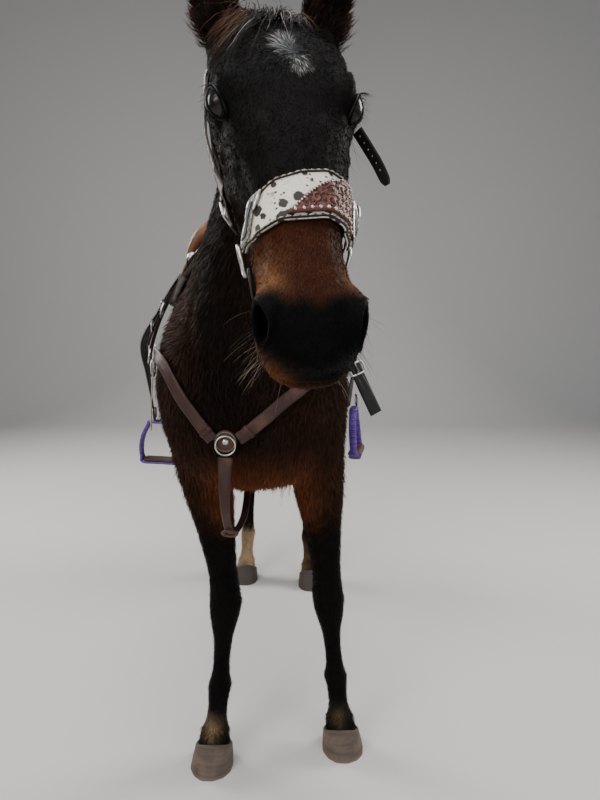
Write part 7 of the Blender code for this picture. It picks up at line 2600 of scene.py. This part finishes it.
            metal.append(buckle(spot, (side, 0, 0), (0, -0.2, 1), 0.036, 0.026, 0.0024))
        return metal

    def down_strap(self, centre):
        """The strap from the chest ring down between the forelegs; returns its studs."""
        path = [
            centre + (0.0, -0.017, -0.036), (-0.053, -0.498, 0.900), (-0.053, -0.470, 0.810),
            (-0.046, -0.400, 0.758), (-0.030, -0.280, 0.750), (-0.024, -0.160, 0.768),
            (-0.022, -0.078, 0.788),
        ]
        widths = (0.034, 0.025, 0.019, 0.018, 0.018, 0.018, 0.018)
        grid = ribbon_grid(path, (1, 0, 0), widths, 150)
        self.strap("between_legs", grid, COLLAR_THICK, "collar_leather", "down_strap", "wrap")
        line, outs = grid[0][:, MIDDLE], grid[1][:, MIDDLE]
        loop = ring_wire(line[62] - UP * 0.004, outs[62], 0.017, 0.0040, tall=1.25)
        self.keep("down_strap_loop", loop, "wrap", shields=False)
        ahead = 1 if outs[5][1] < 0 else -1
        return studs(line[3:8], outs[3:8] * ahead, 0.003, 0.020, 0.0045)


def light(name, place, aim, size, power, colour):
    """A soft square light that faces a place."""
    lamp = bpy.data.lights.new(name, "AREA")
    lamp.size, lamp.energy, lamp.color = size, power, colour
    obj = bpy.data.objects.new(name, lamp)
    obj.location = place
    obj.rotation_euler = (Vector(aim) - Vector(place)).to_track_quat("-Z", "Y").to_euler()
    bpy.context.scene.collection.objects.link(obj)


# The photo's camera: its place, how far it looks down in degrees, its lens and sensor in millimetres
CAMERA_PLACE, CAMERA_PITCH, LENS, SENSOR = (0.148, -1.842, 1.33), 9.7, 27.05, 36

# Lights: name, place, where they aim, size, power, colour
LIGHTS = (
    ("key", (-2.6, -3.4, 3.0), (0.05, -0.7, 1.2), 2.2, 125, (1.0, 0.96, 0.90)),
    ("fill", (2.8, -3.2, 1.7), (0.05, -0.6, 1.1), 2.6, 50, (0.90, 0.95, 1.0)),
    ("low", (0.2, -3.6, 0.5), (0.05, -0.5, 0.8), 2.4, 24, (1.0, 0.95, 0.88)),
    ("rim_right", (-3.0, 2.2, 2.8), (0, 0, 1.1), 1.6, 130, (1.0, 0.97, 0.93)),
    ("rim_left", (3.2, 1.4, 3.0), (0, -0.2, 1.1), 1.6, 135, (1.0, 0.96, 0.90)),
    ("top", (0.0, -0.6, 4.4), (0, -0.2, 1.0), 3.4, 150, (1.0, 1.0, 1.0)),
)


def studio():
    """Camera, pale floor and soft light, stronger from behind to draw the dark coat's outline."""
    scene = bpy.context.scene
    camera = bpy.data.cameras.new("camera")
    camera.lens, camera.sensor_width, camera.clip_end = LENS, SENSOR, 60
    obj = bpy.data.objects.new("camera", camera)
    obj.location, obj.rotation_euler = CAMERA_PLACE, (math.radians(90 - CAMERA_PITCH), 0, 0)
    scene.collection.objects.link(obj)
    scene.camera = obj
    span, back, bend, rise = 9.0, 4.4, 1.6, 7.0
    turn = np.linspace(0, math.pi / 2, 14)
    curve = zip(back + bend * np.sin(turn), bend - bend * np.cos(turn))
    profile = [(-span, 0), (back, 0), *curve, (back + bend, rise)]
    grid = np.array([[(x, y, z) for x in (-span, span)] for y, z in profile])
    floor = raw_object("floor", Solid(grid.reshape(-1, 3), grid_faces(len(profile), 2)))
    floor.data.polygons.foreach_set("use_smooth", [True] * len(floor.data.polygons))
    paint = Paint("floor_look")
    floor.data.materials.append(paint.done(Base_Color=(0.52, 0.51, 0.50), Roughness=0.85))
    for name, place, aim, size, power, colour in LIGHTS:
        light(name, place, aim, size, power, colour)
    world = bpy.data.worlds.new("studio")
    world.use_nodes = True
    world.node_tree.nodes["Background"].inputs["Color"].default_value = (0.62, 0.66, 0.72, 1)
    world.node_tree.nodes["Background"].inputs["Strength"].default_value = 0.26
    scene.world = world


def main():
    """Builds every piece in the frame."""
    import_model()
    draw = np.random.default_rng(SEED)
    model = Model()
    studio()
    flesh = Flesh()
    skin = Solid(flesh.verts, flesh.quads, flesh.tris, {"tone": markings(flesh.verts)})
    legs = list(LEGS)
    model.add("skin", skin, "coat", ("torso", "neck", "head", *legs))
    worn = Tack(flesh.surface)
    worn.add_to(model)
    coat = Coat(flesh, worn.cover(), draw)
    for n, piece in enumerate(coat.pieces(coat.tufts(COAT_TUFTS), TUFTS_IN_A_PIECE)):
        model.add(f"coat_{n}", piece, "fur", slot="coat")
    for eye, word in zip(EYES, ("right", "left")):
        look = EyeBall(eye)
        model.add("eye_ball_" + word, look.ball(), "eye", ("eye_" + word,))
        model.add("eye_rim_" + word, look.rim(), "lid", slot="points")
        flap, fur = Ear(eye.side, draw).build()
        model.add("ear_flap_" + word, flap, "coat", ("ear_" + word,))
        model.add("ear_fur_" + word, fur, "fur", slot="coat")
    for name in LEGS:
        node = "hoof_" + name.replace("leg", "")
        model.add(node + "_wall", Hoof(name).build(), "horn", (node,))
    hair = LongHair(flesh, draw)
    model.add("mane_hair", hair.mane(), "points")
    model.add("tail_hair", hair.tail(), "points", ("tail",))
    model.add("forelock_hair", hair.forelock(), "points")
    model.add("lashes", hair.lashes(), "points")
    model.add("whiskers", hair.whiskers(), "points")
    log.info("all pieces: %d triangles", model.triangles)


if __name__ == "__main__":
    main()
